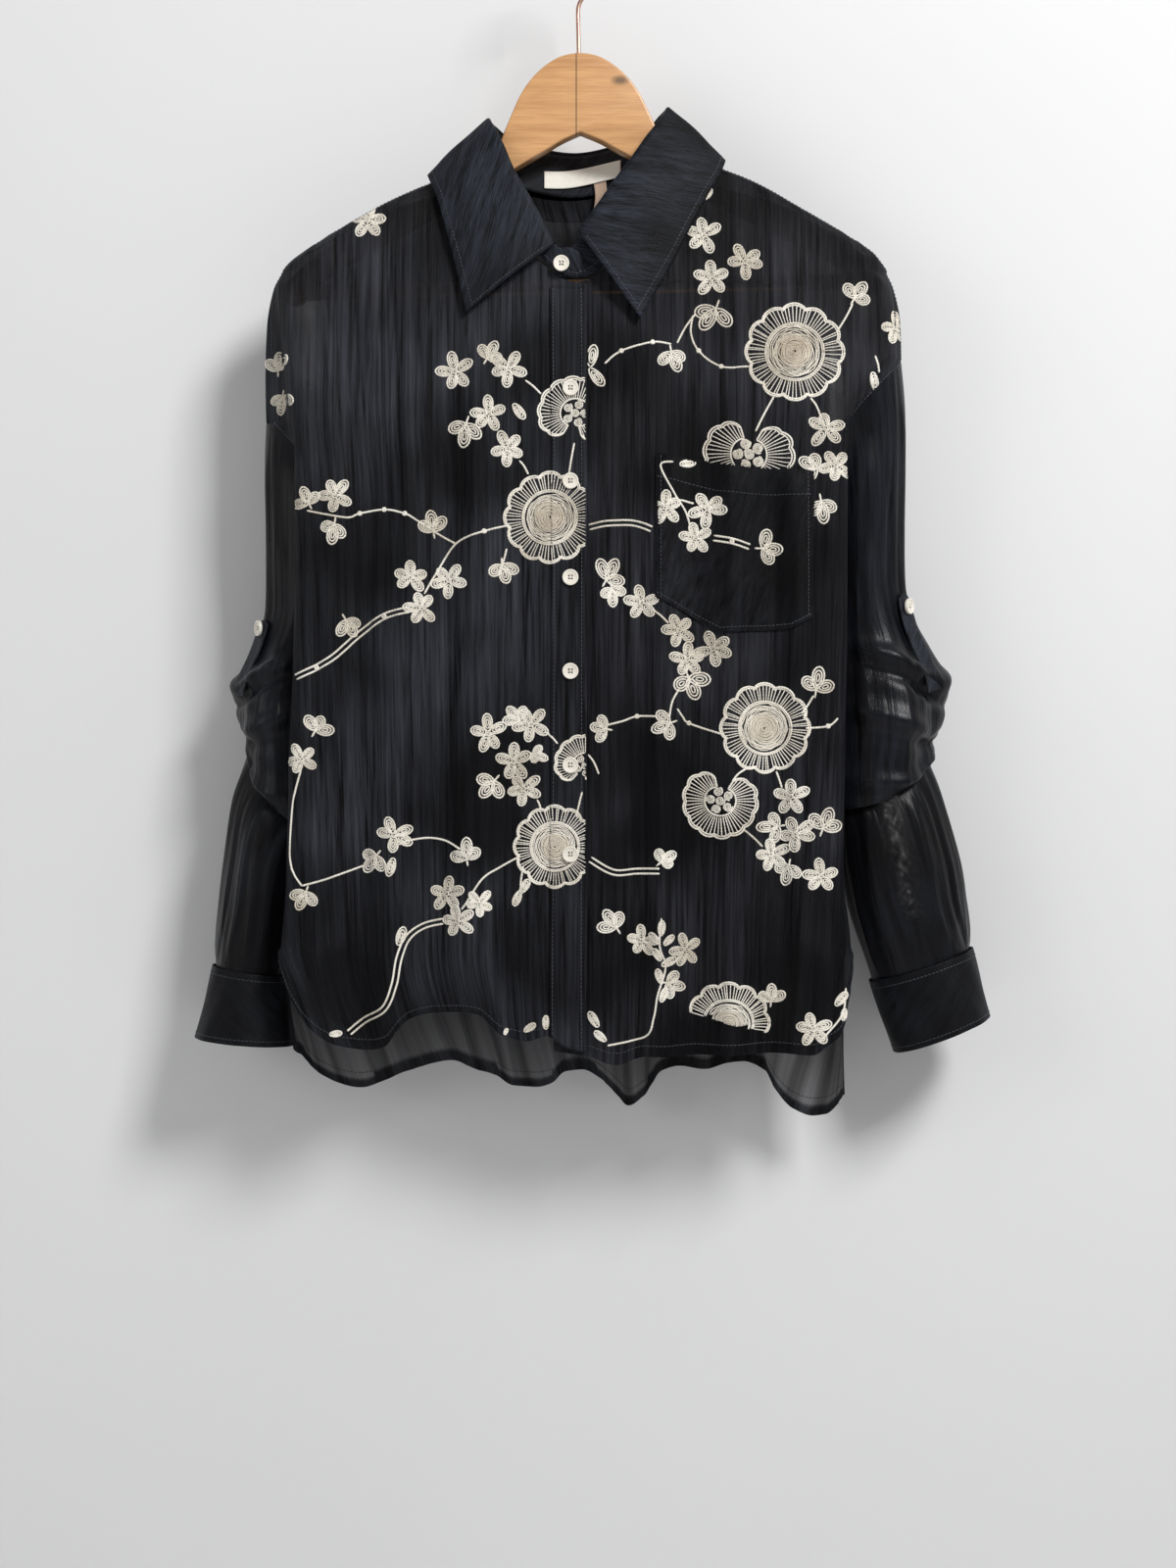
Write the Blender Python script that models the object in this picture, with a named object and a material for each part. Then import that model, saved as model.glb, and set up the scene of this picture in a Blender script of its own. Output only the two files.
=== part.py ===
"""Embroidered shirt hung on a wooden hanger, every cut piece its own thin solid.

Sizes are in millimetres. X is to the viewer's right, the shirt's front faces -Y, Z is up, and the origin
is the inside top of the hook, where it hangs. "right" and "left" are the wearer's.
"""

import math

import bmesh
import bpy

MM = 0.001
WALL = 1.2
DOUBLE_WALL = 1.6
BAND_WALL = 1.0
SEAM_PULL = 0.55
ARMHOLE_PULL = 1.9

# Materials: base colour, roughness
CLOTH_BLACK = ("cloth_black", (0.022, 0.024, 0.032), 0.85)
BUTTON_CREAM = ("button_cream", (0.78, 0.74, 0.66), 0.35)
LABEL_CREAM = ("label_cream", (0.85, 0.82, 0.74), 0.7)
WOOD_TAN = ("wood_tan", (0.62, 0.36, 0.17), 0.45)
WIRE_COPPER = ("wire_copper", (0.60, 0.38, 0.28), 0.3)

# Hanger
HANGER_TURN = math.radians(1.2)
WOOD_THICK = 13.0
WOOD_BEVEL = 3.6
WIRE_RADIUS = 1.6
HOOK_INNER = 19.0
WOOD_TOP = -88.0
# half outline: out, z_top, z_low
WOOD_ROWS = (
    (0.0, -88.0, -146.5),
    (14.0, -90.5, -152.5),
    (26.0, -97.5, -159.5),
    (36.0, -107.0, -165.0),
    (44.0, -118.5, -169.5),
    (50.0, -131.0, -173.0),
    (56.0, -144.5, -176.5),
    (62.0, -158.5, -179.5),
    (72.0, -173.5, -185.0),
    (86.0, -181.5, -192.5),
    (106.0, -190.5, -204.0),
    (135.0, -199.0, -219.0),
    (164.0, -213.0, -234.0),
    (185.0, -225.5, -246.0),
    (198.0, -234.5, -257.0),
    (208.0, -242.5, -266.5),
    (216.0, -250.0, -268.5),
    (221.0, -256.0, -264.5),
)
BAR_RADIUS = 5.7
BAR_SIDES = 14
BAR_Z = -259.5
BAR_ENDS = ((-253.8, 193.5), (-265.2, 205.6))

# Depth of the fronts and of the back away from the hanger's plane: z, front, back
DEPTHS = (
    (-160.0, 8.2, 8.2),
    (-180.0, 10.5, 10.0),
    (-200.0, 13.5, 12.5),
    (-230.0, 18.5, 17.0),
    (-262.0, 23.0, 20.0),
    (-314.0, 29.0, 24.0),
    (-385.0, 36.0, 28.0),
    (-450.0, 40.0, 30.0),
    (-600.0, 43.0, 32.0),
    (-760.0, 45.0, 34.0),
    (-880.0, 46.0, 36.0),
)
FRONT_ROUND = 0.16
ROUND_OUT = 220.0
EDGE_Y = 0.4
UPPER_DEPTH = 0.95
# Where the front and the back start to bend towards their turns, as a share of the way there
FRONT_HELD = 0.78
BACK_HELD = 0.7

# Neck edge of the fronts: z, out. Its outer end is the neck point
NECK_OUT = 75.0
NECK_LEFT = (
    (-160.0, 75.0), (-175.0, 70.0), (-195.0, 62.0), (-215.0, 51.0),
    (-235.0, 36.0), (-251.0, 20.0), (-259.0, 8.0),
    (-262.0, -16.0),
)
NECK_RIGHT = (
    (-170.0, 75.0), (-182.0, 70.0), (-198.0, 62.0), (-216.0, 51.0),
    (-235.0, 36.0), (-251.0, 20.0), (-259.0, 8.0),
    (-262.0, -8.0),
)
BACK_NECK_DROP = 26.0
BACK_NECK_OUT = 8.0
OVERLAP = 8.0
UNDERLAP = 16.0
# The under front steps back behind the band: how far, where that starts and how wide the step is
UNDER_STEP = 2.4
UNDER_FROM = 34.0
UNDER_WIDE = 26.0
NECK_FOOT = -261.5
BACK_NECK_FADE = 75.0

# Shoulder seam, seen as the outline: z, out
SHOULDER_LEFT = (
    (-160.0, 75.0), (-171.6, 105.8), (-181.6, 131.0), (-201.8, 167.0), (-223.4, 203.0), (-236.4, 221.0),
    (-255.8, 233.3), (-288.2, 239.0), (-314.0, 239.8),
)
SHOULDER_RIGHT = (
    (-170.0, 75.0), (-182.4, 106.6), (-194.6, 135.0), (-210.4, 164.0), (-228.4, 193.0), (-245.0, 214.6),
    (-259.4, 223.0), (-281.0, 228.0), (-310.0, 229.7), (-338.6, 229.7), (-360.0, 229.0),
)
# How far the cloth reaches in before it clears the hanger, for one millimetre of drop: z, reach
REACH = ((-160.0, 2.4), (-223.0, 2.0), (-240.0, 1.4), (-262.0, 1.0), (-400.0, 1.0))
REACH_FADE = 30.0
REACH_LEAST = 0.12

# Levels of the fronts and the back above the tails
LEVELS_LEFT = (
    -160.5, -167.0, -176.0, -187.0, -200.0, -213.0, -225.0,
    -238.0, -250.0, -258.0, -262.0, -288.0, -314.0, -328.0,
    -340.0, -350.6, -368.0, -377.0, -383.0, -386.0, -398.0, -436.0, -490.0, -550.0, -620.0, -690.0, -745.0,
)
LEVELS_RIGHT = (
    -170.5, -176.0, -184.0, -193.0, -203.0, -215.0, -228.0,
    -240.0, -250.0, -258.0, -262.0, -290.0, -325.0, -360.0,
    -372.0, -385.0, -398.0, -404.0, -408.0, -410.0, -423.0, -460.0, -510.0, -570.0, -630.0, -690.0, -745.0,
)
TAIL_STEPS = (0.3, 0.62, 0.86, 1.0)
# How much further down the tables the tails' last rows are read
FRONT_TAIL_DROP = 60.0
BACK_TAIL_DROP = 110.0

# Front's turn at the side, from the flat front to the seam:
# z, knuckle out and y, fold out and y, return out and y, seam out and y
TURN_LEFT = (
    (-248.0, 209.0, -18.0, 220.0, -11.0, 226.0, -5.0, 228.4, -0.4),
    (-262.0, 222.0, -20.0, 230.0, -12.0, 233.2, -5.5, 234.4, -0.4),
    (-288.0, 226.0, -25.0, 234.5, -15.0, 238.0, -7.0, 239.0, -0.4),
    (-314.0, 226.0, -27.0, 235.0, -17.0, 238.8, -7.5, 239.8, -0.6),
    (-328.0, 209.0, -29.0, 219.0, -26.0, 225.0, -21.5, 228.0, -17.0),
    (-340.0, 202.0, -31.0, 209.0, -28.0, 213.5, -25.0, 216.9, -21.0),
    (-350.6, 194.0, -32.5, 201.0, -29.5, 204.5, -26.0, 207.0, -22.0),
    (-368.0, 190.0, -34.0, 197.3, -30.0, 195.0, -25.5, 190.8, -19.2),
    (-377.0, 189.5, -34.5, 197.0, -30.0, 187.0, -23.0, 182.4, -14.4),
    (-383.0, 189.5, -35.0, 196.8, -29.5, 180.0, -19.5, 176.9, -9.0),
    (-386.0, 189.5, -35.0, 196.6, -29.5, 175.5, -14.0, 174.0, 0.0),
    (-398.0, 189.5, -36.0, 196.8, -29.5, 176.5, -17.0, 171.6, -5.5),
    (-430.0, 189.5, -38.0, 197.0, -29.5, 185.0, -19.0, 173.5, -10.0),
    (-520.0, 189.0, -40.0, 196.5, -30.0, 190.5, -18.5, 178.0, -11.0),
    (-625.0, 188.0, -41.0, 195.0, -31.0, 190.0, -19.0, 180.0, -11.5),
    (-690.0, 187.5, -42.0, 194.0, -31.0, 190.5, -19.5, 184.0, -11.5),
    (-745.0, 191.0, -42.0, 199.5, -31.0, 198.0, -20.0, 192.0, -12.0),
    (-760.0, 192.0, -42.0, 201.0, -31.0, 200.0, -21.0, 195.5, -13.0),
)
TURN_RIGHT = (
    (-250.0, 198.0, -19.0, 211.0, -13.0, 216.0, -6.5, 217.6, -0.4),
    (-262.0, 207.0, -21.0, 216.0, -15.0, 220.5, -8.0, 223.8, -0.4),
    (-290.0, 206.0, -26.0, 214.0, -20.5, 218.5, -11.0, 228.6, -0.4),
    (-325.0, 203.0, -30.0, 210.5, -25.0, 214.5, -14.5, 229.7, -0.4),
    (-360.0, 200.0, -33.0, 207.0, -28.0, 211.5, -18.0, 229.0, -0.6),
    (-372.0, 199.0, -34.0, 206.0, -29.0, 209.0, -24.0, 213.6, -18.8),
    (-385.0, 197.0, -35.0, 204.2, -30.5, 202.0, -27.0, 197.0, -22.0),
    (-398.0, 196.5, -36.0, 204.0, -30.5, 192.0, -26.0, 180.4, -18.8),
    (-404.0, 196.5, -36.5, 203.8, -30.5, 180.0, -23.5, 172.7, -14.4),
    (-408.0, 196.5, -36.8, 203.7, -30.5, 171.0, -19.5, 167.6, -8.6),
    (-410.0, 196.5, -37.0, 203.6, -30.5, 166.5, -14.0, 165.0, 0.0),
    (-423.0, 196.0, -37.5, 203.2, -30.5, 168.0, -17.5, 162.8, -5.5),
    (-450.0, 195.5, -38.5, 202.8, -30.5, 185.0, -19.0, 166.0, -10.0),
    (-520.0, 196.0, -40.0, 203.5, -31.0, 197.0, -18.5, 180.0, -11.0),
    (-625.0, 200.5, -41.0, 208.5, -31.0, 201.0, -20.0, 184.0, -12.5),
    (-690.0, 202.0, -42.0, 210.0, -31.0, 203.0, -20.0, 190.0, -12.5),
    (-745.0, 206.0, -42.0, 214.5, -31.0, 212.5, -21.0, 206.0, -13.0),
    (-760.0, 207.0, -42.0, 216.0, -31.0, 215.0, -21.0, 211.0, -13.5),
)
# Back's turn at the side, the same columns
BACK_TURN_LEFT = (
    (-248.0, 209.0, 16.0, 220.0, 11.0, 226.0, 5.0, 228.4, 0.4),
    (-262.0, 222.0, 17.5, 230.0, 11.5, 233.2, 5.5, 234.4, 0.4),
    (-288.0, 226.0, 20.0, 234.5, 13.0, 238.0, 6.5, 239.0, 0.4),
    (-314.0, 226.0, 22.0, 235.0, 15.0, 238.8, 7.0, 239.8, 0.6),
    (-328.0, 209.0, 26.0, 219.0, 24.0, 225.0, 20.5, 228.0, 17.0),
    (-340.0, 199.0, 28.0, 209.0, 26.5, 213.5, 24.0, 216.9, 21.0),
    (-350.6, 188.0, 29.0, 198.0, 28.0, 203.5, 25.5, 207.0, 22.0),
    (-368.0, 170.0, 28.5, 180.0, 26.5, 186.0, 24.0, 190.8, 19.2),
    (-386.0, 154.0, 27.0, 164.0, 20.0, 169.5, 10.0, 174.0, 0.0),
    (-398.0, 152.0, 27.0, 163.0, 19.0, 168.5, 7.0, 171.2, -4.5),
    (-430.0, 150.0, 26.0, 161.0, 18.0, 169.0, 4.0, 173.5, -9.0),
    (-520.0, 150.0, 26.0, 161.0, 17.0, 171.0, 2.0, 178.0, -10.0),
    (-625.0, 151.0, 27.0, 163.0, 18.0, 173.0, 2.0, 180.0, -10.5),
    (-690.0, 158.0, 28.0, 170.0, 18.0, 179.0, 3.0, 184.0, -10.5),
    (-745.0, 170.0, 30.0, 182.0, 20.0, 190.0, 6.0, 193.0, -11.0),
    (-760.0, 173.0, 31.0, 186.0, 21.0, 194.0, 6.0, 196.5, -12.0),
    (-816.0, 178.0, 33.0, 190.0, 24.0, 196.0, 10.0, 197.0, -4.0),
    (-880.0, 180.0, 34.0, 192.0, 26.0, 199.0, 14.0, 199.6, 3.0),
)
BACK_TURN_RIGHT = (
    (-250.0, 200.0, 16.0, 209.0, 11.5, 214.6, 5.5, 217.6, 0.4),
    (-262.0, 209.0, 18.0, 217.0, 13.0, 221.5, 7.0, 223.8, 0.4),
    (-290.0, 214.0, 20.0, 223.0, 13.0, 227.4, 6.5, 228.6, 0.4),
    (-325.0, 214.0, 22.0, 224.0, 14.0, 228.7, 6.5, 229.7, 0.4),
    (-360.0, 213.0, 24.0, 223.0, 16.0, 227.8, 7.0, 229.0, 0.6),
    (-372.0, 195.0, 26.0, 205.0, 24.5, 210.5, 22.0, 213.6, 18.8),
    (-385.0, 176.0, 28.0, 187.0, 27.0, 193.0, 25.0, 197.0, 22.0),
    (-398.0, 160.0, 28.0, 170.0, 26.5, 176.0, 23.5, 180.4, 18.8),
    (-410.0, 146.0, 27.0, 155.0, 20.0, 160.5, 10.0, 165.0, 0.0),
    (-423.0, 144.0, 27.0, 154.0, 19.0, 159.5, 7.0, 162.4, -4.5),
    (-450.0, 144.0, 26.0, 155.0, 18.0, 163.0, 4.0, 166.0, -9.0),
    (-520.0, 148.0, 26.0, 160.0, 18.0, 172.0, 3.0, 180.0, -10.0),
    (-625.0, 148.0, 26.0, 160.0, 18.0, 174.0, 1.0, 184.0, -11.5),
    (-690.0, 156.0, 27.0, 169.0, 18.0, 182.0, 2.0, 190.0, -11.5),
    (-745.0, 180.0, 29.0, 194.0, 20.0, 205.0, 5.0, 207.5, -12.0),
    (-760.0, 184.0, 30.0, 199.0, 20.0, 211.0, 5.0, 214.0, -12.5),
    (-803.0, 184.0, 32.0, 199.0, 23.0, 209.0, 8.0, 212.0, -8.0),
    (-880.0, 180.0, 34.0, 193.0, 26.0, 203.0, 12.0, 207.0, -2.0),
)
UPPER_TURN = ((9.0, 1.0), (4.0, 0.72), (1.3, 0.4), (0.0, 0.0))

# Soft folds: x and z where each starts, x at the hem, half width, depth at the start, depth at the hem
FRONT_FOLDS = (
    (-172.0, -300.0, -178.0, 14.0, 2.5, 6.0),
    (-150.0, -330.0, -158.0, 12.0, -2.0, -5.0),
    (-118.0, -300.0, -136.0, 13.0, 3.0, 9.0),
    (-96.0, -330.0, -106.0, 14.0, -2.5, -9.0),
    (-66.0, -300.0, -72.0, 13.0, 2.5, 5.0),
    (-42.0, -330.0, -46.0, 11.0, -2.0, -5.0),
    (46.0, -300.0, 43.0, 11.0, -2.0, -6.0),
    (66.0, -330.0, 62.0, 12.0, 2.5, 7.0),
    (90.0, -300.0, 86.0, 13.0, -2.5, -8.0),
    (112.0, -330.0, 112.0, 13.0, 3.0, 8.0),
    (138.0, -330.0, 140.0, 13.0, -2.5, -8.0),
    (164.0, -300.0, 166.0, 13.0, 3.0, 7.0),
)
BACK_FOLDS = (
    (-140.0, -280.0, -162.0, 17.0, 3.0, 11.0),
    (-112.0, -300.0, -126.0, 15.0, -3.0, -9.0),
    (-80.0, -260.0, -92.0, 15.0, 3.0, 6.0),
    (-52.0, -300.0, -62.0, 14.0, -3.0, -7.0),
    (-24.0, -260.0, -32.0, 15.0, 3.0, 11.0),
    (4.0, -300.0, 2.0, 14.0, -3.0, -8.0),
    (30.0, -260.0, 36.0, 15.0, 3.0, 13.0),
    (60.0, -300.0, 70.0, 15.0, -3.0, -8.0),
    (90.0, -260.0, 104.0, 15.0, 3.0, 5.0),
    (120.0, -300.0, 134.0, 14.0, -3.0, -9.0),
    (144.0, -280.0, 164.0, 16.0, 3.0, 11.0),
)
FOLD_FOOT = -830.0

# Hems: x, z
HEM_FRONT_RIGHT = (
    (-215.0, -756.2), (-205.0, -782.8), (-195.0, -799.4),
    (-183.6, -809.5), (-170.0, -815.5), (-153.4, -818.5),
    (-137.0, -815.0), (-128.0, -803.0), (-119.5, -795.6), (-97.9, -791.5), (-81.4, -790.5), (-71.0, -792.0),
    (-52.6, -808.0), (-36.0, -812.0), (-20.9, -808.0), (-8.0, -816.0), (8.0, -820.5),
)
HEM_FRONT_LEFT = (
    (-16.0, -819.0), (8.0, -823.0), (28.8, -829.0), (51.0, -823.0), (98.6, -822.0), (152.0, -821.0),
    (171.0, -822.0), (180.7, -816.0), (192.0, -806.0), (196.6, -786.4), (201.0, -760.0),
)
HEM_BACK = (
    (-213.0, -796.0), (-210.0, -812.0), (-206.0, -823.0),
    (-195.0, -841.9), (-178.6, -852.0), (-162.0, -855.6),
    (-144.7, -850.0), (-128.0, -842.0), (-94.3, -835.5), (-77.8, -841.0), (-61.2, -845.0), (-48.2, -854.0),
    (-30.0, -856.5), (-18.7, -852.7), (-8.6, -843.0), (4.3, -841.0), (16.6, -847.6), (30.2, -862.0),
    (39.0, -871.0), (51.0, -862.0), (64.0, -842.0), (76.3, -838.3), (97.2, -842.0), (115.2, -836.8),
    (126.7, -835.0), (141.8, -842.0), (150.0, -857.0), (162.7, -871.0), (178.0, -876.5), (188.0, -874.5),
    (194.0, -868.0), (200.0, -857.0),
)
HEM_SIDE_FRONT = (-757.0, -754.0)
HEM_SIDE_BACK = (-822.0, -856.0)

FRONT_COLUMNS = (0.0, 0.061, 0.126)
FRONT_CELLS = 13
BACK_CELLS = 20

# Sleeve stations down the cloth from the armhole: z, lift outward, lift backward, out, y, half out, half y
SLEEVE_LEFT = (
    (-350.6, 35.5, 0.0, 207.0, 0.0, 33.0, 22.0),
    (-372.0, 24.0, 0.0, 210.5, 8.5, 33.5, 25.0),
    (-400.0, 10.0, 0.0, 212.5, 13.0, 32.0, 28.0),
    (-440.0, 0.0, 0.0, 213.5, 17.0, 31.0, 29.0),
    (-482.0, 0.0, 0.0, 214.0, 18.0, 32.0, 30.0),
    (-510.0, 5.0, 0.0, 216.5, 18.0, 36.5, 32.0),
    (-532.0, 8.0, 0.0, 221.0, 17.0, 42.0, 34.0),
    (-554.0, 8.0, 2.0, 226.0, 16.0, 48.0, 36.0),
    (-576.0, 9.0, 6.0, 228.0, 15.0, 48.0, 37.0),
    (-598.0, 13.0, 12.0, 227.0, 14.5, 43.5, 35.0),
    (-615.0, 16.0, 17.0, 226.0, 14.5, 40.0, 31.5),
    (-620.5, 16.5, 18.0, 226.0, 14.8, 38.3, 29.6),
    (-614.0, 16.0, 17.0, 226.0, 15.0, 36.6, 28.0),
    (-585.0, 10.0, 10.0, 222.0, 16.0, 31.0, 24.0),
    (-556.0, 4.0, 4.0, 217.0, 17.5, 24.5, 20.5),
    (-552.0, 4.0, 4.0, 217.0, 17.5, 20.5, 17.0),
    (-560.0, 4.0, 4.0, 217.5, 17.5, 18.5, 15.5),
    (-587.0, 10.0, 10.0, 222.0, 16.5, 25.5, 19.5),
    (-616.0, 15.0, 16.0, 226.5, 15.5, 33.0, 24.5),
    (-642.0, 7.0, 9.0, 232.5, 16.0, 39.0, 30.0),
    (-683.0, 0.0, 2.0, 240.0, 17.0, 45.0, 34.5),
    (-716.0, 3.0, 0.0, 246.0, 17.0, 43.5, 35.0),
    (-740.0, 8.0, 0.0, 252.0, 17.0, 40.0, 35.0),
    (-761.5, 12.4, 0.0, 257.2, 17.0, 36.0, 33.5),
)
SLEEVE_RIGHT = (
    (-385.0, 25.0, 0.0, 197.0, 0.0, 32.0, 22.0),
    (-404.0, 15.0, 0.0, 199.8, 9.0, 31.5, 25.0),
    (-432.0, 5.0, 0.0, 200.8, 14.0, 30.0, 28.0),
    (-466.0, 0.0, 0.0, 201.5, 17.0, 29.5, 29.0),
    (-500.0, 0.0, 0.0, 202.5, 18.0, 29.8, 30.0),
    (-520.0, 4.0, 0.0, 206.0, 18.0, 32.0, 31.5),
    (-538.0, 6.0, 0.0, 211.0, 17.5, 34.0, 33.0),
    (-556.0, 5.0, 2.0, 216.0, 17.0, 38.0, 34.5),
    (-574.0, 6.0, 8.0, 218.0, 17.5, 38.0, 34.0),
    (-594.0, 14.0, 20.0, 216.0, 17.5, 35.0, 33.0),
    (-613.0, 22.0, 30.0, 214.5, 17.5, 32.0, 30.5),
    (-619.0, 23.5, 32.0, 214.5, 17.5, 30.2, 28.6),
    (-612.0, 22.0, 30.0, 214.5, 17.5, 28.4, 27.0),
    (-584.0, 12.0, 14.0, 212.0, 17.5, 25.5, 23.5),
    (-556.0, 4.0, 4.0, 207.0, 17.5, 22.0, 20.0),
    (-552.0, 4.0, 4.0, 207.0, 17.5, 18.0, 16.5),
    (-560.0, 4.0, 4.0, 208.0, 17.5, 16.0, 15.0),
    (-586.0, 12.0, 14.0, 212.5, 17.5, 20.0, 18.5),
    (-614.0, 21.0, 28.0, 216.0, 17.5, 24.8, 23.4),
    (-645.0, 12.0, 14.0, 225.0, 17.5, 29.5, 29.0),
    (-683.0, 2.0, 4.0, 232.5, 18.0, 29.0, 32.5),
    (-716.0, 0.0, 0.0, 237.0, 18.0, 28.5, 33.5),
    (-744.0, 2.0, 0.0, 241.0, 18.0, 27.0, 34.0),
    (-765.5, 3.8, 0.0, 243.6, 18.0, 25.2, 33.5),
)
SLEEVE_AROUND = 20
# Folds round the pouf: turn in degrees, half width, share of the radius, first and last station
POUF_FOLDS_LEFT = (
    (-38.0, 20.0, -0.13, 5, 12),
    (-75.0, 22.0, 0.05, 6, 12),
    (12.0, 20.0, 0.04, 6, 12),
    (70.0, 24.0, -0.08, 6, 12),
)
POUF_FOLDS_RIGHT = (
    (-30.0, 20.0, -0.10, 5, 12),
    (-72.0, 22.0, 0.05, 6, 12),
    (20.0, 20.0, 0.04, 6, 12),
    (80.0, 24.0, -0.08, 6, 12),
)

# Cuff rings: z, lift outward, out, y, half out, half y
CUFF_LEFT = (
    (-760.6, 12.5, 257.0, 17.0, 38.0, 35.5),
    (-790.0, 13.2, 265.5, 16.5, 36.6, 36.5),
    (-812.5, 13.7, 272.4, 16.0, 35.2, 37.0),
)
CUFF_RIGHT = (
    (-764.8, 3.9, 243.5, 18.0, 27.0, 35.5),
    (-794.0, 3.6, 245.5, 18.0, 32.0, 37.0),
    (-818.0, 3.2, 247.0, 18.0, 37.0, 38.0),
)
CUFF_AROUND = 26
CUFF_START = math.radians(75.0)
CUFF_LAP = math.radians(28.0)
CUFF_STEP = 2.6

# Collar leaf, from its right front end round the back to the left: fold x, y, z, edge x, y, z
LEAF_ROWS = (
    (-17.0, -28.4, -235.0, -79.9, -31.5, -284.6),
    (-31.0, -26.4, -205.4, -85.5, -27.5, -259.4),
    (-45.4, -23.0, -180.2, -93.6, -23.0, -227.0),
    (-55.5, -17.0, -157.0, -101.5, -18.0, -199.0),
    (-62.5, -9.5, -143.0, -106.5, -13.0, -186.5),
    (-65.5, -1.5, -136.0, -109.0, -3.5, -178.0),
    (-61.0, 14.0, -138.0, -100.0, 18.5, -186.0),
    (-44.0, 26.0, -146.5, -68.0, 27.5, -196.0),
    (0.0, 31.0, -153.5, 0.0, 32.0, -204.0),
    (45.0, 26.0, -143.0, 70.0, 27.0, -192.0),
    (63.0, 14.0, -130.0, 101.0, 18.0, -177.0),
    (68.4, -1.5, -127.6, 109.5, -3.5, -167.0),
    (65.0, -10.0, -135.5, 106.0, -13.5, -178.5),
    (57.0, -17.0, -147.0, 98.0, -19.5, -193.0),
    (44.6, -23.0, -164.5, 84.0, -24.0, -219.8),
    (23.5, -27.6, -194.6, 69.8, -28.5, -248.6),
    (1.4, -30.0, -225.6, 46.8, -32.5, -289.0),
)
LEAF_BULGE = 3.4
LEAF_CENTRE_Y = -6.0
LEAF_ACROSS = 5
# Stand, from its upper front end round the back to the lower one: top x, y, z, bottom x, y, z
STAND_ROWS = (
    (4.2, -26.8, -246.5, 3.8, -25.4, -253.0),
    (1.5, -27.2, -239.5, 1.0, -25.0, -258.2),
    (-6.0, -27.0, -236.0, -7.0, -24.8, -256.0),
    (-15.0, -25.9, -234.0, -18.5, -22.8, -248.2),
    (-29.5, -23.4, -207.5, -35.0, -19.2, -232.4),
    (-43.8, -19.8, -182.5, -50.0, -15.8, -213.0),
    (-53.3, -14.0, -159.5, -60.8, -11.8, -195.4),
    (-60.0, -8.0, -145.5, -68.4, -8.7, -179.6),
    (-62.8, -1.0, -139.0, -72.4, -1.0, -168.2),
    (-59.4, 13.0, -139.6, -67.0, 9.0, -172.2),
    (-42.6, 24.5, -148.2, -48.0, 13.2, -181.2),
    (0.0, 29.2, -154.8, 0.0, 16.8, -189.2),
    (43.6, 24.5, -144.6, 48.0, 13.2, -175.4),
    (61.4, 13.0, -131.6, 67.0, 9.0, -163.0),
    (65.6, -1.0, -130.8, 72.4, -1.0, -158.2),
    (62.0, -8.8, -139.5, 69.2, -9.4, -171.5),
    (54.4, -14.0, -150.5, 60.6, -12.0, -195.0),
    (43.0, -19.6, -167.5, 49.6, -15.6, -213.4),
    (22.5, -24.4, -197.5, 34.4, -18.4, -232.8),
    (4.5, -25.0, -226.5, 18.0, -20.0, -249.4),
    (-8.0, -22.6, -238.0, 4.0, -19.6, -256.8),
    (-18.0, -21.6, -242.0, -14.0, -19.2, -258.6),
)
STAND_ACROSS = 2

# Pocket, on the left front: corners as x, z
POCKET_TOP = ((57.6, -387.6), (171.4, -400.5))
POCKET_FOOT = ((57.6, -491.0), (104.0, -517.5), (155.0, -514.5), (171.4, -506.0))
POCKET_LIFT = 2.0
POCKET_LEVEL = -436.0
POCKET_EDGE = 4.0
POCKET_DOWN = 7

# Front band and the buttons on it
BAND_LIFT = 1.55
BAND_TOP = -264.0
BUTTON_RADIUS = 5.75
BUTTON_RINGS = ((0.0, 0.55), (0.62, 0.55), (0.78, 1.1), (1.0, 0.8), (1.0, -0.6), (0.86, -1.1), (0.0, -1.1))
BUTTON_SIDES = 14
BUTTON_LIFT = 1.2
BUTTON_GAP = 0.5
BUTTON_X = -4.0
BUTTON_HEIGHTS = (-339.5, -407.7, -477.6, -545.2, -612.9, -677.0)
STAND_BUTTON = (-10.8, -28.3, -248.0)

# Roll-up tabs, on the sleeve: station, half width; where round the sleeve; and their buttons' station
TAB_LEFT = ((4.12, 3.0), (4.3, 8.0), (4.9, 9.0), (5.6, 9.0), (6.3, 9.0), (6.9, 9.0), (7.4, 9.0))
TAB_RIGHT = ((4.25, 3.0), (4.45, 8.0), (5.0, 9.0), (5.7, 9.0), (6.4, 9.0), (7.0, 9.0), (7.4, 9.0))
TAB_COLUMNS = (-1.0, -0.33, 0.33, 1.0)
TAB_TURNS = (-36.0, -30.0)
TAB_LIFT = 2.2
TAB_BUTTONS = (4.5, 4.65)
CUFF_BUTTON_Z = (-788.5, -790.5)

# Neck label, its top edge: x, y, z; then the tail below it: x, y, z
LABEL_ROWS = ((-24.0, 20.4, -168.5), (-8.0, 22.2, -168.0), (8.0, 22.2, -165.5), (33.0, 18.6, -160.5))
LABEL_TALL = 14.0
LABEL_LEAN = 5.2
LABEL_WALL = 0.6
TAIL_X = 17.5
TAIL_GAP = 0.45
TAIL_ROWS = ((18.5, 12.0, -190.0), (17.0, 10.4, -202.0))
TAIL_WIDE = 9.0


def between(rows, at):
    """The row's other values at this first value, read off straight lines; the ends are held."""
    ordered = sorted(rows)
    if at <= ordered[0][0]:
        return ordered[0][1:]
    for low, high in zip(ordered, ordered[1:]):
        if at <= high[0]:
            share = (at - low[0]) / (high[0] - low[0])
            return tuple(a + (b - a) * share for a, b in zip(low[1:], high[1:]))
    return ordered[-1][1:]


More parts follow.
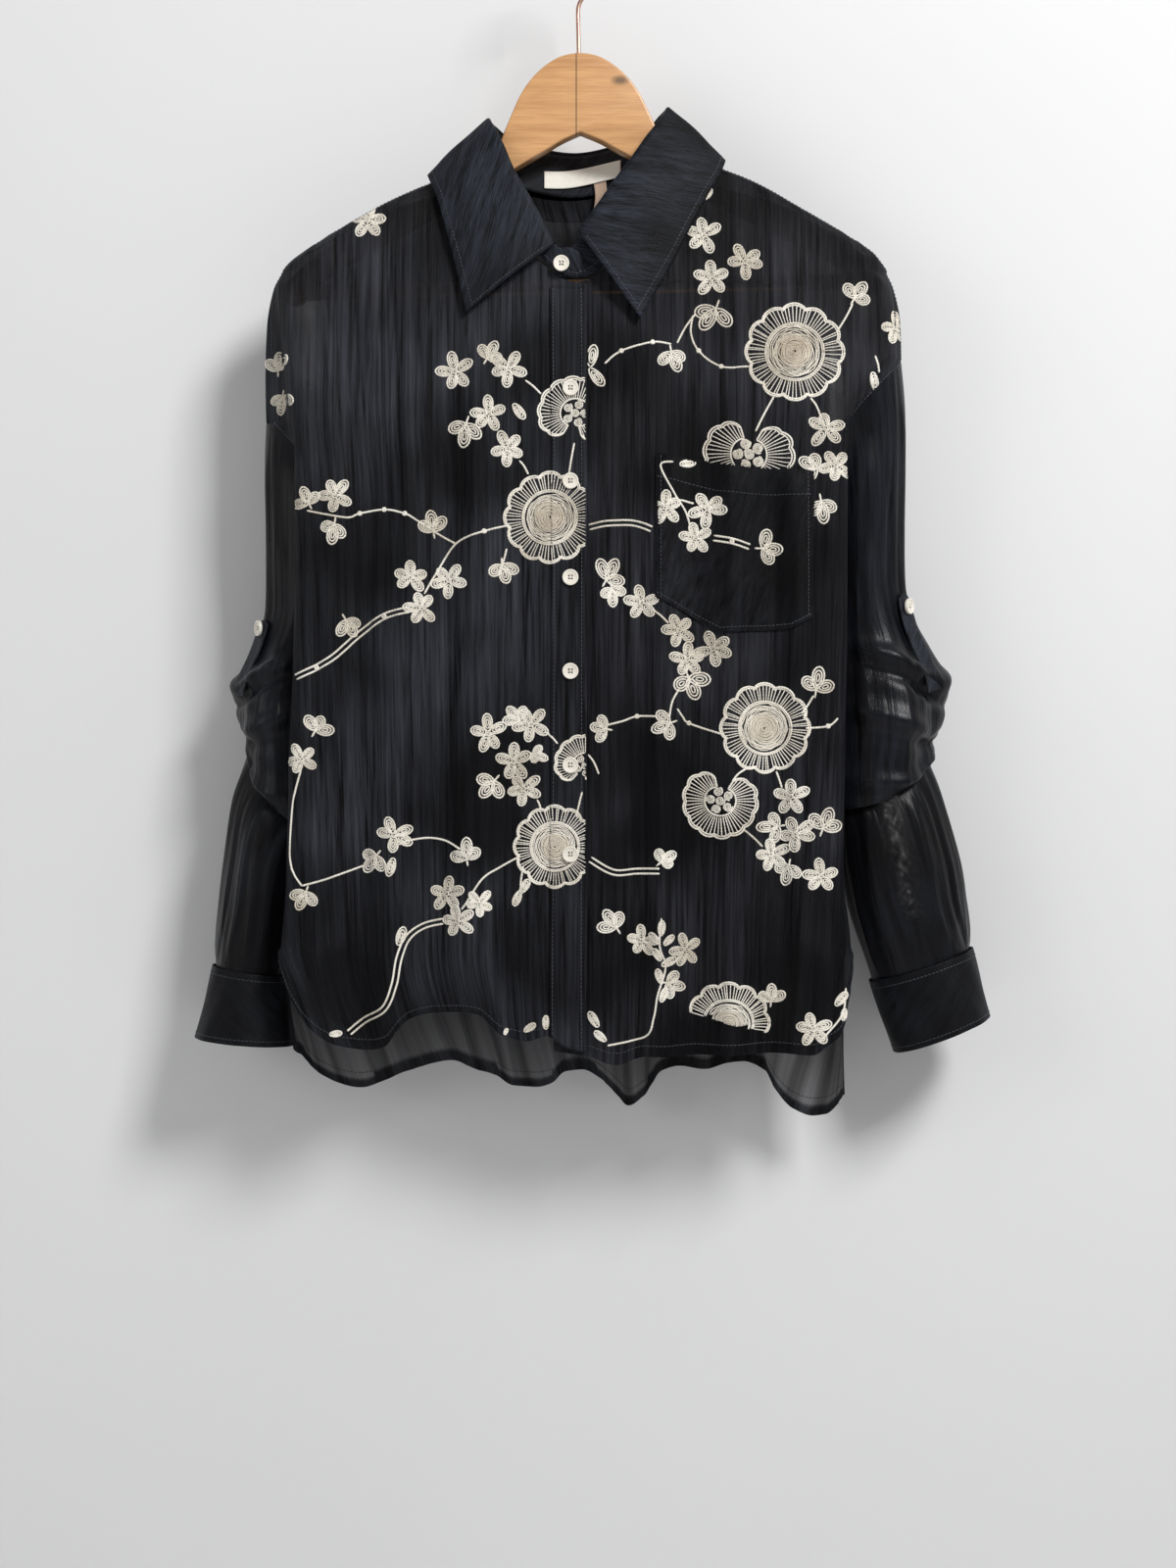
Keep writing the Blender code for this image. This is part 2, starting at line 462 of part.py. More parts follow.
def smooth(value):
    """An eased step from 0 to 1."""
    held = min(1.0, max(0.0, value))
    return held * held * (3.0 - 2.0 * held)


def material(finish):
    """The finish's material, made once."""
    name, colour, roughness = finish
    found = bpy.data.materials.get(name)
    if found:
        return found
    made = bpy.data.materials.new(name)
    made.use_nodes = True
    shader = made.node_tree.nodes["Principled BSDF"]
    shader.inputs["Base Color"].default_value = (*colour, 1.0)
    shader.inputs["Roughness"].default_value = roughness
    made.diffuse_color = (*colour, 1.0)
    return made


def object_of(name, mesh, finish):
    """A smooth-shaded object of this mesh, in the scene."""
    mesh.materials.append(material(finish))
    for face in mesh.polygons:
        face.use_smooth = True
    obj = bpy.data.objects.new(name, mesh)
    bpy.context.scene.collection.objects.link(obj)
    return obj


def sheet(name, rows, finish, wall=WALL, around=False):
    """A cloth piece: rows of points in millimetres joined into a surface and given the wall's thickness."""
    shape = bmesh.new()
    points = [[shape.verts.new([value * MM for value in point]) for point in row] for row in rows]
    for upper, lower in zip(points, points[1:]):
        pairs = list(zip(upper, upper[1:], lower, lower[1:]))
        if around:
            pairs.append((upper[-1], upper[0], lower[-1], lower[0]))
        for a, b, c, d in pairs:
            shape.faces.new((a, c, d, b))
    mesh = bpy.data.meshes.new(name)
    shape.to_mesh(mesh)
    shape.free()
    obj = object_of(name, mesh, finish)
    thick = obj.modifiers.new("wall", "SOLIDIFY")
    thick.thickness = wall * MM
    thick.offset = 0.0
    return obj


def pulled(point, towards, distance):
    """The point moved this far towards another."""
    length = math.dist(point, towards)
    return tuple(a + (b - a) * distance / length for a, b in zip(point, towards))


def rounded(rows, steps):
    """Rows of numbers with smooth ones put between them."""
    made = []
    for i in range(len(rows) - 1):
        before, low, high, after = rows[max(i - 1, 0)], rows[i], rows[i + 1], rows[min(i + 2, len(rows) - 1)]
        for step in range(steps):
            t = step / steps
            made.append(
                tuple(
                    b + 0.5 * t * (c - a + t * (2 * a - 5 * b + 4 * c - d + t * (3 * (b - c) + d - a)))
                    for a, b, c, d in zip(before, low, high, after)
                )
            )
    made.append(rows[-1])
    return made


def folds_at(folds, x, z):
    """How far the soft folds stand out here."""
    total = 0.0
    for start_x, start_z, foot_x, half, start, foot in folds:
        share = (start_z - z) / (start_z - FOLD_FOOT)
        if share > 0.0:
            centre = start_x + (foot_x - start_x) * share
            depth = (start + (foot - start) * min(1.0, share)) * smooth(share * 5.0)
            total += depth * math.exp(-(((x - centre) / half) ** 2))
    return total


class Side:
    """One side of the body: its shoulder, neck, turns and armhole, and the sign of its x."""

    def __init__(self, sign, shoulder, neck, turn, back_turn, levels, hem, hem_side, inner, armhole):
        self.sign = sign
        self.shoulder = shoulder
        self.neck = neck
        self.turns = {-1: turn, 1: back_turn}
        self.levels = levels
        self.hem = hem
        self.hem_side = hem_side
        self.inner = inner
        self.armhole = armhole

    def turn_at(self, z, facing):
        """Knuckle, fold, return and seam as (out, y) at this level, on the front (-1) or the back (1)."""
        table = self.turns[facing]
        if z <= table[0][0] + 0.01:
            values = between(table, z)
            turn = [values[i : i + 2] for i in (0, 2, 4, 6)]
            centre_z, lift, _, out, y, half_out, half_y = self.armhole
            cosine = (z - centre_z) / lift
            if abs(cosine) <= 1.0:
                turn[3] = (out + half_out * cosine, y + facing * half_y * math.sqrt(1.0 - cosine * cosine))
            return turn
        out = between(self.shoulder, z)[0]
        reach = between(REACH, z)[0] * min(1.0, (out - self.neck_at(z)) / REACH_FADE + REACH_LEAST)
        depth = between(DEPTHS, z)[0 if facing < 0 else 1] * UPPER_DEPTH
        deeper = depth - EDGE_Y
        return [(out - drop * reach, facing * (EDGE_Y + deeper * share)) for drop, share in UPPER_TURN]

    def neck_at(self, z):
        """How far out the neck edge is at this level."""
        return between(self.neck, z)[0]


LEFT = Side(
    sign=1,
    shoulder=SHOULDER_LEFT,
    neck=NECK_LEFT,
    turn=TURN_LEFT,
    back_turn=BACK_TURN_LEFT,
    levels=LEVELS_LEFT,
    hem=HEM_FRONT_LEFT,
    hem_side=HEM_SIDE_FRONT[0],
    inner=-UNDERLAP,
    armhole=SLEEVE_LEFT[0],
)
RIGHT = Side(
    sign=-1,
    shoulder=SHOULDER_RIGHT,
    neck=NECK_RIGHT,
    turn=TURN_RIGHT,
    back_turn=BACK_TURN_RIGHT,
    levels=LEVELS_RIGHT,
    hem=HEM_FRONT_RIGHT,
    hem_side=HEM_SIDE_FRONT[1],
    inner=-OVERLAP,
    armhole=SLEEVE_RIGHT[0],
)


def front_row(side, z):
    """One level of a front, from the neck or the closing to the side seam."""
    turn = side.turn_at(z, -1)
    knuckle_out, knuckle_y = turn[0]
    inner = max(side.neck_at(z), side.inner) if z > NECK_FOOT else side.inner
    cell = (1.0 - FRONT_COLUMNS[-1]) / FRONT_CELLS
    spread = [FRONT_COLUMNS[-1] + cell * i for i in range(1, FRONT_CELLS + 1)]
    depth = between(DEPTHS, z)[0]
    row = []
    for share in (*FRONT_COLUMNS, *spread):
        out = inner + (knuckle_out - inner) * share
        x = side.sign * out
        y = -depth * (1.0 - FRONT_ROUND * (out / ROUND_OUT) ** 2) - folds_at(FRONT_FOLDS, x, z)
        if side is LEFT:
            y += UNDER_STEP * smooth((UNDER_FROM - out) / UNDER_WIDE)
        held = smooth((share - FRONT_HELD) / (1.0 - FRONT_HELD))
        row.append((x, y * (1.0 - held) + knuckle_y * held, z))
    row += [(side.sign * out, y, z) for out, y in turn[1:]]
    row[-1] = pulled(row[-1], row[-2], SEAM_PULL)
    return row


def front_rows(side):
    """All of a front's points."""
    rows = [front_row(side, z) for z in side.levels]
    lowest = side.levels[-1]
    for step in TAIL_STEPS:
        flat = front_row(side, lowest - FRONT_TAIL_DROP * step)
        row = []
        for i, (x, y, _) in enumerate(flat):
            hem = side.hem_side if i == len(flat) - 1 else between(side.hem, x)[0]
            row.append((x, y, lowest + (hem - lowest) * step))
        rows.append(row)
    return rows


def back_row(levels, tail=0.0):
    """One level of the back, from the right side seam to the left one, at the two sides' own levels."""
    right, left = levels
    drop = BACK_TAIL_DROP * tail
    start = [(-out, y) for out, y in reversed(RIGHT.turn_at(right - drop, 1))]
    end = LEFT.turn_at(left - drop, 1)
    first, last = start[-1], end[0]
    row = [(x, y, right) for x, y in start]
    for i in range(1, BACK_CELLS):
        share = i / BACK_CELLS
        x = first[0] + (last[0] - first[0]) * share
        level = right + (left - right) * share
        low = level - drop
        y = between(DEPTHS, low)[1] * (1.0 - FRONT_ROUND * (x / ROUND_OUT) ** 2)
        y += folds_at(BACK_FOLDS, x, low)
        held = smooth((abs(2.0 * share - 1.0) - BACK_HELD) / (1.0 - BACK_HELD))
        y = y * (1.0 - held) + (first[1] if share < 0.5 else last[1]) * held
        row.append((x, y, level))
    return row + [(x, y, left) for x, y in end]


def back_rows():
    """All of the back's points."""
    rows = []
    pairs = list(zip(RIGHT.levels, LEFT.levels))
    for pair in pairs:
        row = back_row(pair)
        near = 1.0 - smooth((pairs[0][1] - pair[1]) / BACK_NECK_FADE)
        made = []
        for x, y, z in row:
            middle = near * max(0.0, 1.0 - (x / NECK_OUT) ** 2)
            made.append((x, y + BACK_NECK_OUT * middle, z - BACK_NECK_DROP * middle))
        rows.append(made)
    for step in TAIL_STEPS:
        row = back_row(pairs[-1], step)
        count = len(row)
        made = []
        for i, (x, y, z) in enumerate(row):
            if i == 0:
                hem = HEM_SIDE_BACK[0]
            elif i == count - 1:
                hem = HEM_SIDE_BACK[1]
            else:
                hem = between(HEM_BACK, x)[0]
            made.append((x, y, z + (hem - z) * step))
        rows.append(made)
    for row in rows:
        row[0] = pulled(row[0], row[1], SEAM_PULL)
        row[-1] = pulled(row[-1], row[-2], SEAM_PULL)
    return rows


def on_rows(rows, x, z):
    """The y of a panel's own surface at this place, read along its rows and then between them."""
    heights = []
    for row in rows:
        for a, b in zip(row, row[1:]):
            if min(a[0], b[0]) <= x <= max(a[0], b[0]) and a[0] != b[0]:
                share = (x - a[0]) / (b[0] - a[0])
                heights.append((a[2] + (b[2] - a[2]) * share, a[1] + (b[1] - a[1]) * share))
                break
    return between(heights, z)[0]


def band_rows(front):
    """The front band: the front's first columns, moved out."""
    columns = len(FRONT_COLUMNS)
    rows = [[(x, y - BAND_LIFT, z) for x, y, z in row[:columns]] for row in front if row[0][2] < BAND_TOP]
    head = [(x, y, BAND_TOP) for x, y, _ in rows[0]]
    return [head, *rows]


def pocket_rows(front):
    """The pocket, on the front's own columns, moved out."""
    left, right = POCKET_TOP
    level = next(row for row in front if row[0][2] <= POCKET_LEVEL)
    inside = [x for x, _, _ in level if left[0] + POCKET_EDGE < x < right[0] - POCKET_EDGE]
    rows = []
    for step in range(POCKET_DOWN + 1):
        row = []
        for x in (left[0], *inside, right[0]):
            top = left[1] + (right[1] - left[1]) * (x - left[0]) / (right[0] - left[0])
            foot = between(POCKET_FOOT, x)[0]
            z = top + (foot - top) * step / POCKET_DOWN
            row.append((x, on_rows(front, x, z) - POCKET_LIFT, z))
        rows.append(row)
    return rows


def sleeve_point(sign, stations, folds, index, degrees, lift=0.0):
    """A place on a sleeve: its station along the cloth, and where round it, lifted off it if need be."""
    z, lift_out, lift_back, out, y, half_out, half_y = between(list(enumerate_rows(stations)), index)
    turn = math.radians(degrees)
    size = 1.0
    for centre, half, share, first, last in folds:
        away = (degrees - centre + 180.0) % 360.0 - 180.0
        strength = smooth((index - first + 1.0) / 2.0) * smooth((last + 1.0 - index) / 2.0)
        size += share * strength * math.exp(-((away / half) ** 2))
    across = out + (half_out * size + lift) * math.cos(turn)
    depth = y + (half_y * size + lift) * math.sin(turn)
    return sign * across, depth, z + lift_out * math.cos(turn) + lift_back * math.sin(turn)


def enumerate_rows(stations):
    """The stations with their own number put first."""
    return ((float(number), *row) for number, row in enumerate(stations))


def sleeve_rows(sign, stations, folds):
    """A sleeve's rings, down over the pouf, up inside it and down to the cuff."""
    around = [360.0 * i / SLEEVE_AROUND for i in range(SLEEVE_AROUND)]
    rows = []
    for index in range(len(stations)):
        rows.append([sleeve_point(sign, stations, folds, float(index), turn) for turn in around])
    rows[0] = [pulled(point, below, ARMHOLE_PULL) for point, below in zip(rows[0], rows[1])]
    return rows


def cuff_rows(sign, rings):
    """A cuff: one strip wound round the wrist, its end lapped over its start at the back."""
    rows = []
    sweep = 2.0 * math.pi + CUFF_LAP
    for z, lift, out, y, half_out, half_y in rings:
        row = []
        for i in range(CUFF_AROUND + 1):
            share = i / CUFF_AROUND
            turn = CUFF_START + sweep * share
            wide = CUFF_STEP * smooth((share - 0.72) / 0.2)
            row.append(
                (
                    sign * (out + (half_out + wide) * math.cos(turn)),
                    y + (half_y + wide) * math.sin(turn),
                    z + lift * math.cos(turn),
                )
            )
        rows.append(row)
    return rows


def leaf_rows():
    """The collar leaf, falling from its fold."""
    rows = []
    lines = rounded(LEAF_ROWS, 2)
    for index, (fold_x, fold_y, fold_z, edge_x, edge_y, edge_z) in enumerate(lines):
        away = math.hypot(fold_x, fold_y - LEAF_CENTRE_Y) or 1.0
        row = []
        for step in range(LEAF_ACROSS + 1):
            share = step / LEAF_ACROSS
            bulge = LEAF_BULGE * math.sin(math.pi * share) * (1.0 - 0.4 * share)
            row.append(
                (
                    fold_x + (edge_x - fold_x) * share + bulge * fold_x / away * 0.6,
                    fold_y + (edge_y - fold_y) * share + bulge * (fold_y - LEAF_CENTRE_Y) / away,
                    fold_z + (edge_z - fold_z) * share,
                )
            )
        rows.append(row)
    return rows


def stand_rows():
    """The collar stand, from its upper front end round the neck to its lower one."""
    rows = []
    for top_x, top_y, top_z, low_x, low_y, low_z in rounded(STAND_ROWS, 2):
        rows.append(
            [
                (
                    top_x + (low_x - top_x) * step / STAND_ACROSS,
                    top_y + (low_y - top_y) * step / STAND_ACROSS,
                    top_z + (low_z - top_z) * step / STAND_ACROSS,
                )
                for step in range(STAND_ACROSS + 1)
            ]
        )
    return rows


def tab_rows(sign, stations, folds, rows, centre):
    """A roll-up tab on its sleeve's own surface, lifted off it."""
    made = []
    for index, half in rows:
        radius = between(list(enumerate_rows(stations)), index)[5]
        spread = math.degrees(half / radius)
        turns = [centre + spread * side for side in TAB_COLUMNS]
        made.append([sleeve_point(sign, stations, folds, index, turn, TAB_LIFT) for turn in turns])
    return made


def button(name, place, turn_z=0.0):
    """A round button with a dished face, facing -Y before its turn about Z."""
    shape = bmesh.new()
    rings = []
    for share, height in BUTTON_RINGS:
        if share == 0.0:
            rings.append([shape.verts.new((0.0, -height * MM, 0.0))])
            continue
        radius = BUTTON_RADIUS * share
        rings.append(
            [
                shape.verts.new(
                    (
                        radius * math.cos(2 * math.pi * i / BUTTON_SIDES) * MM,
                        -height * MM,
                        radius * math.sin(2 * math.pi * i / BUTTON_SIDES) * MM,
                    )
                )
                for i in range(BUTTON_SIDES)
            ]
        )
    for upper, lower in zip(rings, rings[1:]):
        for i in range(BUTTON_SIDES):
            following = (i + 1) % BUTTON_SIDES
            if len(upper) == 1:
                shape.faces.new((upper[0], lower[i], lower[following]))
            elif len(lower) == 1:
                shape.faces.new((upper[i], lower[0], upper[following]))
            else:
                shape.faces.new((upper[i], lower[i], lower[following], upper[following]))
    bmesh.ops.recalc_face_normals(shape, faces=shape.faces)
    mesh = bpy.data.meshes.new(name)
    shape.to_mesh(mesh)
    shape.free()
    obj = object_of(name, mesh, BUTTON_CREAM)
    obj.location = [value * MM for value in place]
    obj.rotation_euler = (0.0, 0.0, turn_z)
    return obj


def turned(x, z):
    """A place on the hanger, turned with it about the hook's inside top."""
    cos, sin = math.cos(HANGER_TURN), math.sin(HANGER_TURN)
    return x * cos - z * sin, x * sin + z * cos


def hanger_wood():
    """The wooden arms: one outline, thick, with rounded edges."""
    right = [(out, top) for out, top, _ in WOOD_ROWS]
    under = [(out, low) for out, _, low in reversed(WOOD_ROWS)]
    half = right + under
    outline = half + [(-x, z) for x, z in reversed(half) if x > 0.0]
    shape = bmesh.new()
    places = [turned(x, z) for x, z in outline]
    verts = [shape.verts.new((x * MM, -WOOD_THICK / 2 * MM, z * MM)) for x, z in places]
    face = shape.faces.new(verts)
    grown = bmesh.ops.extrude_face_region(shape, geom=[face])
    moved = [item for item in grown["geom"] if isinstance(item, bmesh.types.BMVert)]
    bmesh.ops.translate(shape, verts=moved, vec=(0.0, WOOD_THICK * MM, 0.0))
    bmesh.ops.recalc_face_normals(shape, faces=shape.faces)
    mesh = bpy.data.meshes.new("hanger_wood")
    shape.to_mesh(mesh)
    shape.free()
    obj = object_of("hanger_wood", mesh, WOOD_TAN)
    bevel = obj.modifiers.new("edges", "BEVEL")
    bevel.width = WOOD_BEVEL * MM
    bevel.segments = 2
    bevel.limit_method = "ANGLE"
    bevel.angle_limit = math.radians(60.0)
    return obj


def hanger_bar():
    """The round bar between the arms, its ends cut to their slope."""
    shape = bmesh.new()
    ends = []
    for sign in (-1, 1):
        ring = []
        for i in range(BAR_SIDES):
            angle = 2 * math.pi * i / BAR_SIDES
            z = BAR_Z + BAR_RADIUS * math.sin(angle)
            x, z = turned(sign * between(BAR_ENDS, z)[0], z)
            ring.append(shape.verts.new((x * MM, BAR_RADIUS * math.cos(angle) * MM, z * MM)))
        ends.append(ring)
    for i in range(BAR_SIDES):
        following = (i + 1) % BAR_SIDES
        shape.faces.new((ends[0][i], ends[1][i], ends[1][following], ends[0][following]))
    shape.faces.new(ends[0])
    shape.faces.new(list(reversed(ends[1])))
    bmesh.ops.recalc_face_normals(shape, faces=shape.faces)
    mesh = bpy.data.meshes.new("hanger_bar")
    shape.to_mesh(mesh)
    shape.free()
    return object_of("hanger_bar", mesh, WOOD_TAN)


def hanger_hook():
    """The wire hook: a straight shank, a bend out and a loop round the origin's rail."""
    centre = HOOK_INNER + WIRE_RADIUS
    path = [(0.0, WOOD_TOP + 0.35), (0.0, -72.0), (0.0, -58.0), (0.6, -52.0), (3.2, -46.5), (7.8, -41.0)]
    for degrees in range(-52, 209, 13):
        angle = math.radians(degrees)
        path.append((centre * math.cos(angle), -HOOK_INNER + centre * math.sin(angle)))
    curve = bpy.data.curves.new("hanger_hook", "CURVE")
    curve.dimensions = "3D"
    curve.bevel_depth = WIRE_RADIUS * MM
    curve.bevel_resolution = 2
    curve.use_fill_caps = True
    line = curve.splines.new("POLY")
    line.points.add(len(path) - 1)
    for point, (x, z) in zip(line.points, path):
        if z < -45.0:
            x, z = turned(x, z)
        point.co = (x * MM, 0.0, z * MM, 1.0)
    curve.materials.append(material(WIRE_COPPER))
    obj = bpy.data.objects.new("hanger_hook", curve)
    bpy.context.scene.collection.objects.link(obj)
    return obj


def label():
    """The blank neck label and its narrow blank tail, standing off the inside of the stand."""
    rows = []
    for x, y, z in LABEL_ROWS:
        rows.append([(x, y - LABEL_LEAN * drop, z - LABEL_TALL * drop) for drop in (0.0, 0.5, 1.0)])
    sheet("neck_label", rows, LABEL_CREAM, LABEL_WALL)
    half = TAIL_WIDE / 2
    edge = [(x, *between(LABEL_ROWS, x)) for x in (TAIL_X - half, TAIL_X + half)]
    tail = [[(x, y - LABEL_LEAN, z - LABEL_TALL - LABEL_WALL / 2 - TAIL_GAP) for x, y, z in edge]]
    tail += [[(x - half, y, z), (x + half, y, z)] for x, y, z in TAIL_ROWS]
    sheet("label_tail", tail, LABEL_CREAM, LABEL_WALL)


def buttons(front):
    """Every button, on what it is sewn to."""
    button("button_stand", STAND_BUTTON)
    for number, z in enumerate(BUTTON_HEIGHTS, 1):
        y = on_rows(front, BUTTON_X, z) - BAND_LIFT - BAND_WALL / 2 - BUTTON_LIFT - BUTTON_GAP
        button(f"button_front_{number}", (BUTTON_X, y, z))
    sleeves = ((1, SLEEVE_LEFT, POUF_FOLDS_LEFT), (-1, SLEEVE_RIGHT, POUF_FOLDS_RIGHT))
    for name, sleeve, turn, index in zip(("left", "right"), sleeves, TAB_TURNS, TAB_BUTTONS):
        place = sleeve_point(*sleeve, index, turn, TAB_LIFT + WALL / 2 + BUTTON_LIFT + 2.0 * BUTTON_GAP)
        button(f"button_tab_{name}", place, sleeve[0] * math.radians(90.0 + turn))
    cuffs = (("left", 1, CUFF_LEFT, CUFF_BUTTON_Z[0]), ("right", -1, CUFF_RIGHT, CUFF_BUTTON_Z[1]))
    for name, sign, rings, z in cuffs:
        _, _, out, y, half_out, half_y = rings[1]
        turn = CUFF_START + CUFF_LAP * 0.5
        reach = CUFF_STEP + DOUBLE_WALL / 2 + BUTTON_LIFT + BUTTON_GAP
        place = (sign * (out + (half_out + reach) * math.cos(turn)), y + (half_y + reach) * math.sin(turn), z)
        button(f"button_cuff_{name}", place, math.pi - sign * (math.pi / 2 - turn))


def build():
    """Every piece of the shirt and its hanger."""
    for obj in list(bpy.data.objects):
        bpy.data.objects.remove(obj, do_unlink=True)
    hanger_wood()
    hanger_bar()
    hanger_hook()
    right = front_rows(RIGHT)
    left = front_rows(LEFT)
    sheet("front_right", right, CLOTH_BLACK)
    sheet("front_left", left, CLOTH_BLACK)
    sheet("back", back_rows(), CLOTH_BLACK)
    sheet("placket", band_rows(right), CLOTH_BLACK, BAND_WALL)
    sheet("pocket", pocket_rows(left), CLOTH_BLACK)
    sheet("collar_leaf", leaf_rows(), CLOTH_BLACK, DOUBLE_WALL)
    sheet("collar_stand", stand_rows(), CLOTH_BLACK, DOUBLE_WALL)
    sheet("sleeve_left", sleeve_rows(1, SLEEVE_LEFT, POUF_FOLDS_LEFT), CLOTH_BLACK, around=True)
    sheet("sleeve_right", sleeve_rows(-1, SLEEVE_RIGHT, POUF_FOLDS_RIGHT), CLOTH_BLACK, around=True)
    sheet("cuff_left", cuff_rows(1, CUFF_LEFT), CLOTH_BLACK, DOUBLE_WALL)
    sheet("cuff_right", cuff_rows(-1, CUFF_RIGHT), CLOTH_BLACK, DOUBLE_WALL)
    sheet("tab_left", tab_rows(1, SLEEVE_LEFT, POUF_FOLDS_LEFT, TAB_LEFT, TAB_TURNS[0]), CLOTH_BLACK)
    sheet("tab_right", tab_rows(-1, SLEEVE_RIGHT, POUF_FOLDS_RIGHT, TAB_RIGHT, TAB_TURNS[1]), CLOTH_BLACK)
    label()
    buttons(right)


build()
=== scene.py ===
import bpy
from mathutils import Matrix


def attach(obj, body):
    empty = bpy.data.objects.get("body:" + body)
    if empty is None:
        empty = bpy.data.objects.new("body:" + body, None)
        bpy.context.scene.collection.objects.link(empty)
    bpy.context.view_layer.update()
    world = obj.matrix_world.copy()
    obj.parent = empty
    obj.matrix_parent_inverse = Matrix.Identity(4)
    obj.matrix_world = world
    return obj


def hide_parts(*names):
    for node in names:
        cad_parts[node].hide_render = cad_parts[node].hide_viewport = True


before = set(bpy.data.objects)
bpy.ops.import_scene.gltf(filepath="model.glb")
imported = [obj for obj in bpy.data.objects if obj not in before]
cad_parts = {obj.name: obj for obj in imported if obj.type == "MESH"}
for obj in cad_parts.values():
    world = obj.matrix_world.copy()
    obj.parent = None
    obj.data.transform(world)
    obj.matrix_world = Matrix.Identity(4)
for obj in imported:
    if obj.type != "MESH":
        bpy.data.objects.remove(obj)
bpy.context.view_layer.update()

"""A sheer black shirt with cream embroidery, hung on its wooden hanger against a pale wall.

Tables are in millimetres, meshes in metres. X is to the viewer's right, the front faces -Y, Z is up, and the origin
is the inside top of the hook. "right" and "left" are the wearer's.
"""

import logging
import math
from collections.abc import Callable, Iterable, Sequence
from dataclasses import dataclass, field, replace
from enum import Enum

import bpy
import numpy as np
from mathutils import Matrix, Vector
from mathutils.bvhtree import BVHTree

log = logging.getLogger("shirt")
Object, Material, Node, Socket = bpy.types.Object, bpy.types.Material, bpy.types.Node, bpy.types.NodeSocket
Colour = tuple[float, float, float]
Inputs = dict[str | int, object]

MM = 0.001
BODY = "root"
LAYERS, TAN = "layers", "tan"  # the points' own values that the finishes read
SUNK = 0.0001  # how deep thread sits in the cloth, in metres
AHEAD = 0.3  # how far in front of the origin a look at the cloth starts, in metres

# How high machine stitches lie: on a single sheet, on the band, on the stand and on the other doubled sheets, in metres
ON_SINGLE, ON_BAND, ON_STAND, ON_DOUBLE = 0.0001, 0.0003, 0.00055, 0.0006
# How far embroidery stays from the band's edge, under it, round the pocket and within it, in metres
BAND_MARGIN, UNDER_MARGIN, ROUND_MARGIN, POCKET_MARGIN = 0.0009, 0.0004, 0.0004, 0.0012

# Picture: the scale of a pixel at the plane of the shirt's sides, and the eye that sees it
PIXEL = 0.72 * MM
PICTURE = (1200, 1600)
PLANE_Y = -0.010
EYE = Vector((0.00864, -1.70, -0.6266))
SENSOR = 36.0

# Depth of the fronts and the back away from the hanger's plane: z, front, back
DEPTHS = (
    (-160, 8.2, 8.2), (-180, 10.5, 10), (-200, 13.5, 12.5), (-230, 18.5, 17), (-262, 23, 20), (-314, 29, 24),
    (-385, 36, 28), (-450, 40, 30), (-600, 43, 32), (-760, 45, 34), (-880, 46, 36),
)
FRONT_ROUND = 0.16
ROUND_OUT = 220.0
EDGE_Y = 0.4
UPPER_DEPTH = 0.95
FRONT_HELD = 0.78
BACK_HELD = 0.7
NECK_OUT = 75.0
BACK_NECK_DROP = 26.0
BACK_NECK_OUT = 8.0
BACK_NECK_FADE = 75.0
NECK_FOOT = -261.5
OVERLAP = 8.0
UNDERLAP = 16.0
UNDER_STEP = 2.4
UNDER_FROM = 34.0
EDGE_TURNING = 26.0
EDGE_QUIET = 24.0
EDGE_FADE = 12.0
UNDER_WIDE = 26.0
REACH_FADE = 30.0
REACH_LEAST = 0.12
UPPER_TURN = ((9, 1), (4, 0.72), (1.3, 0.4), (0, 0))
UPPER_BLEND = 14.0
FRONT_TAIL_DROP = 60.0
BACK_TAIL_DROP = 110.0
FOLD_FOOT = -830.0

# Neck edge of the fronts: z, out
NECK_LEFT = (
    (-160, 75), (-175, 70), (-195, 62), (-215, 51), (-235, 36), (-251, 20), (-259, 8), (-262, -16),
)
NECK_RIGHT = (
    (-170, 75), (-182, 70), (-198, 62), (-216, 51), (-235, 36), (-251, 20), (-259, 8), (-262, -8),
)
# Shoulder seam, seen as the outline: z, out
SHOULDER_LEFT = (
    (-160, 75), (-171.6, 105.8), (-181.6, 131), (-201.8, 167), (-223.4, 203), (-236.4, 221), (-255.8, 233.3),
    (-288.2, 239), (-314, 239.8),
)
SHOULDER_RIGHT = (
    (-170, 75), (-182.4, 106.6), (-194.6, 135), (-210.4, 164), (-228.4, 193), (-245, 214.6), (-259.4, 223), (-281, 228),
    (-310, 229.7), (-338.6, 229.7), (-360, 229),
)
REACH = ((-400, 1), (-262, 1), (-240, 1.4), (-223, 2), (-160, 2.4))

# Levels that the two sides share, from the neck down to where the tails start
LEVELS_LEFT = (
    -160.5, -167, -176, -187, -200, -213, -225, -238, -250, -258, -262, -288, -314, -328, -340, -350.6, -368, -377,
    -383, -386, -398, -436, -490, -550, -620, -690, -745,
)
LEVELS_RIGHT = (
    -170.5, -176, -184, -193, -203, -215, -228, -240, -250, -258, -262, -290, -325, -360, -372, -385, -398, -404, -408,
    -410, -423, -460, -510, -570, -630, -690, -745,
)

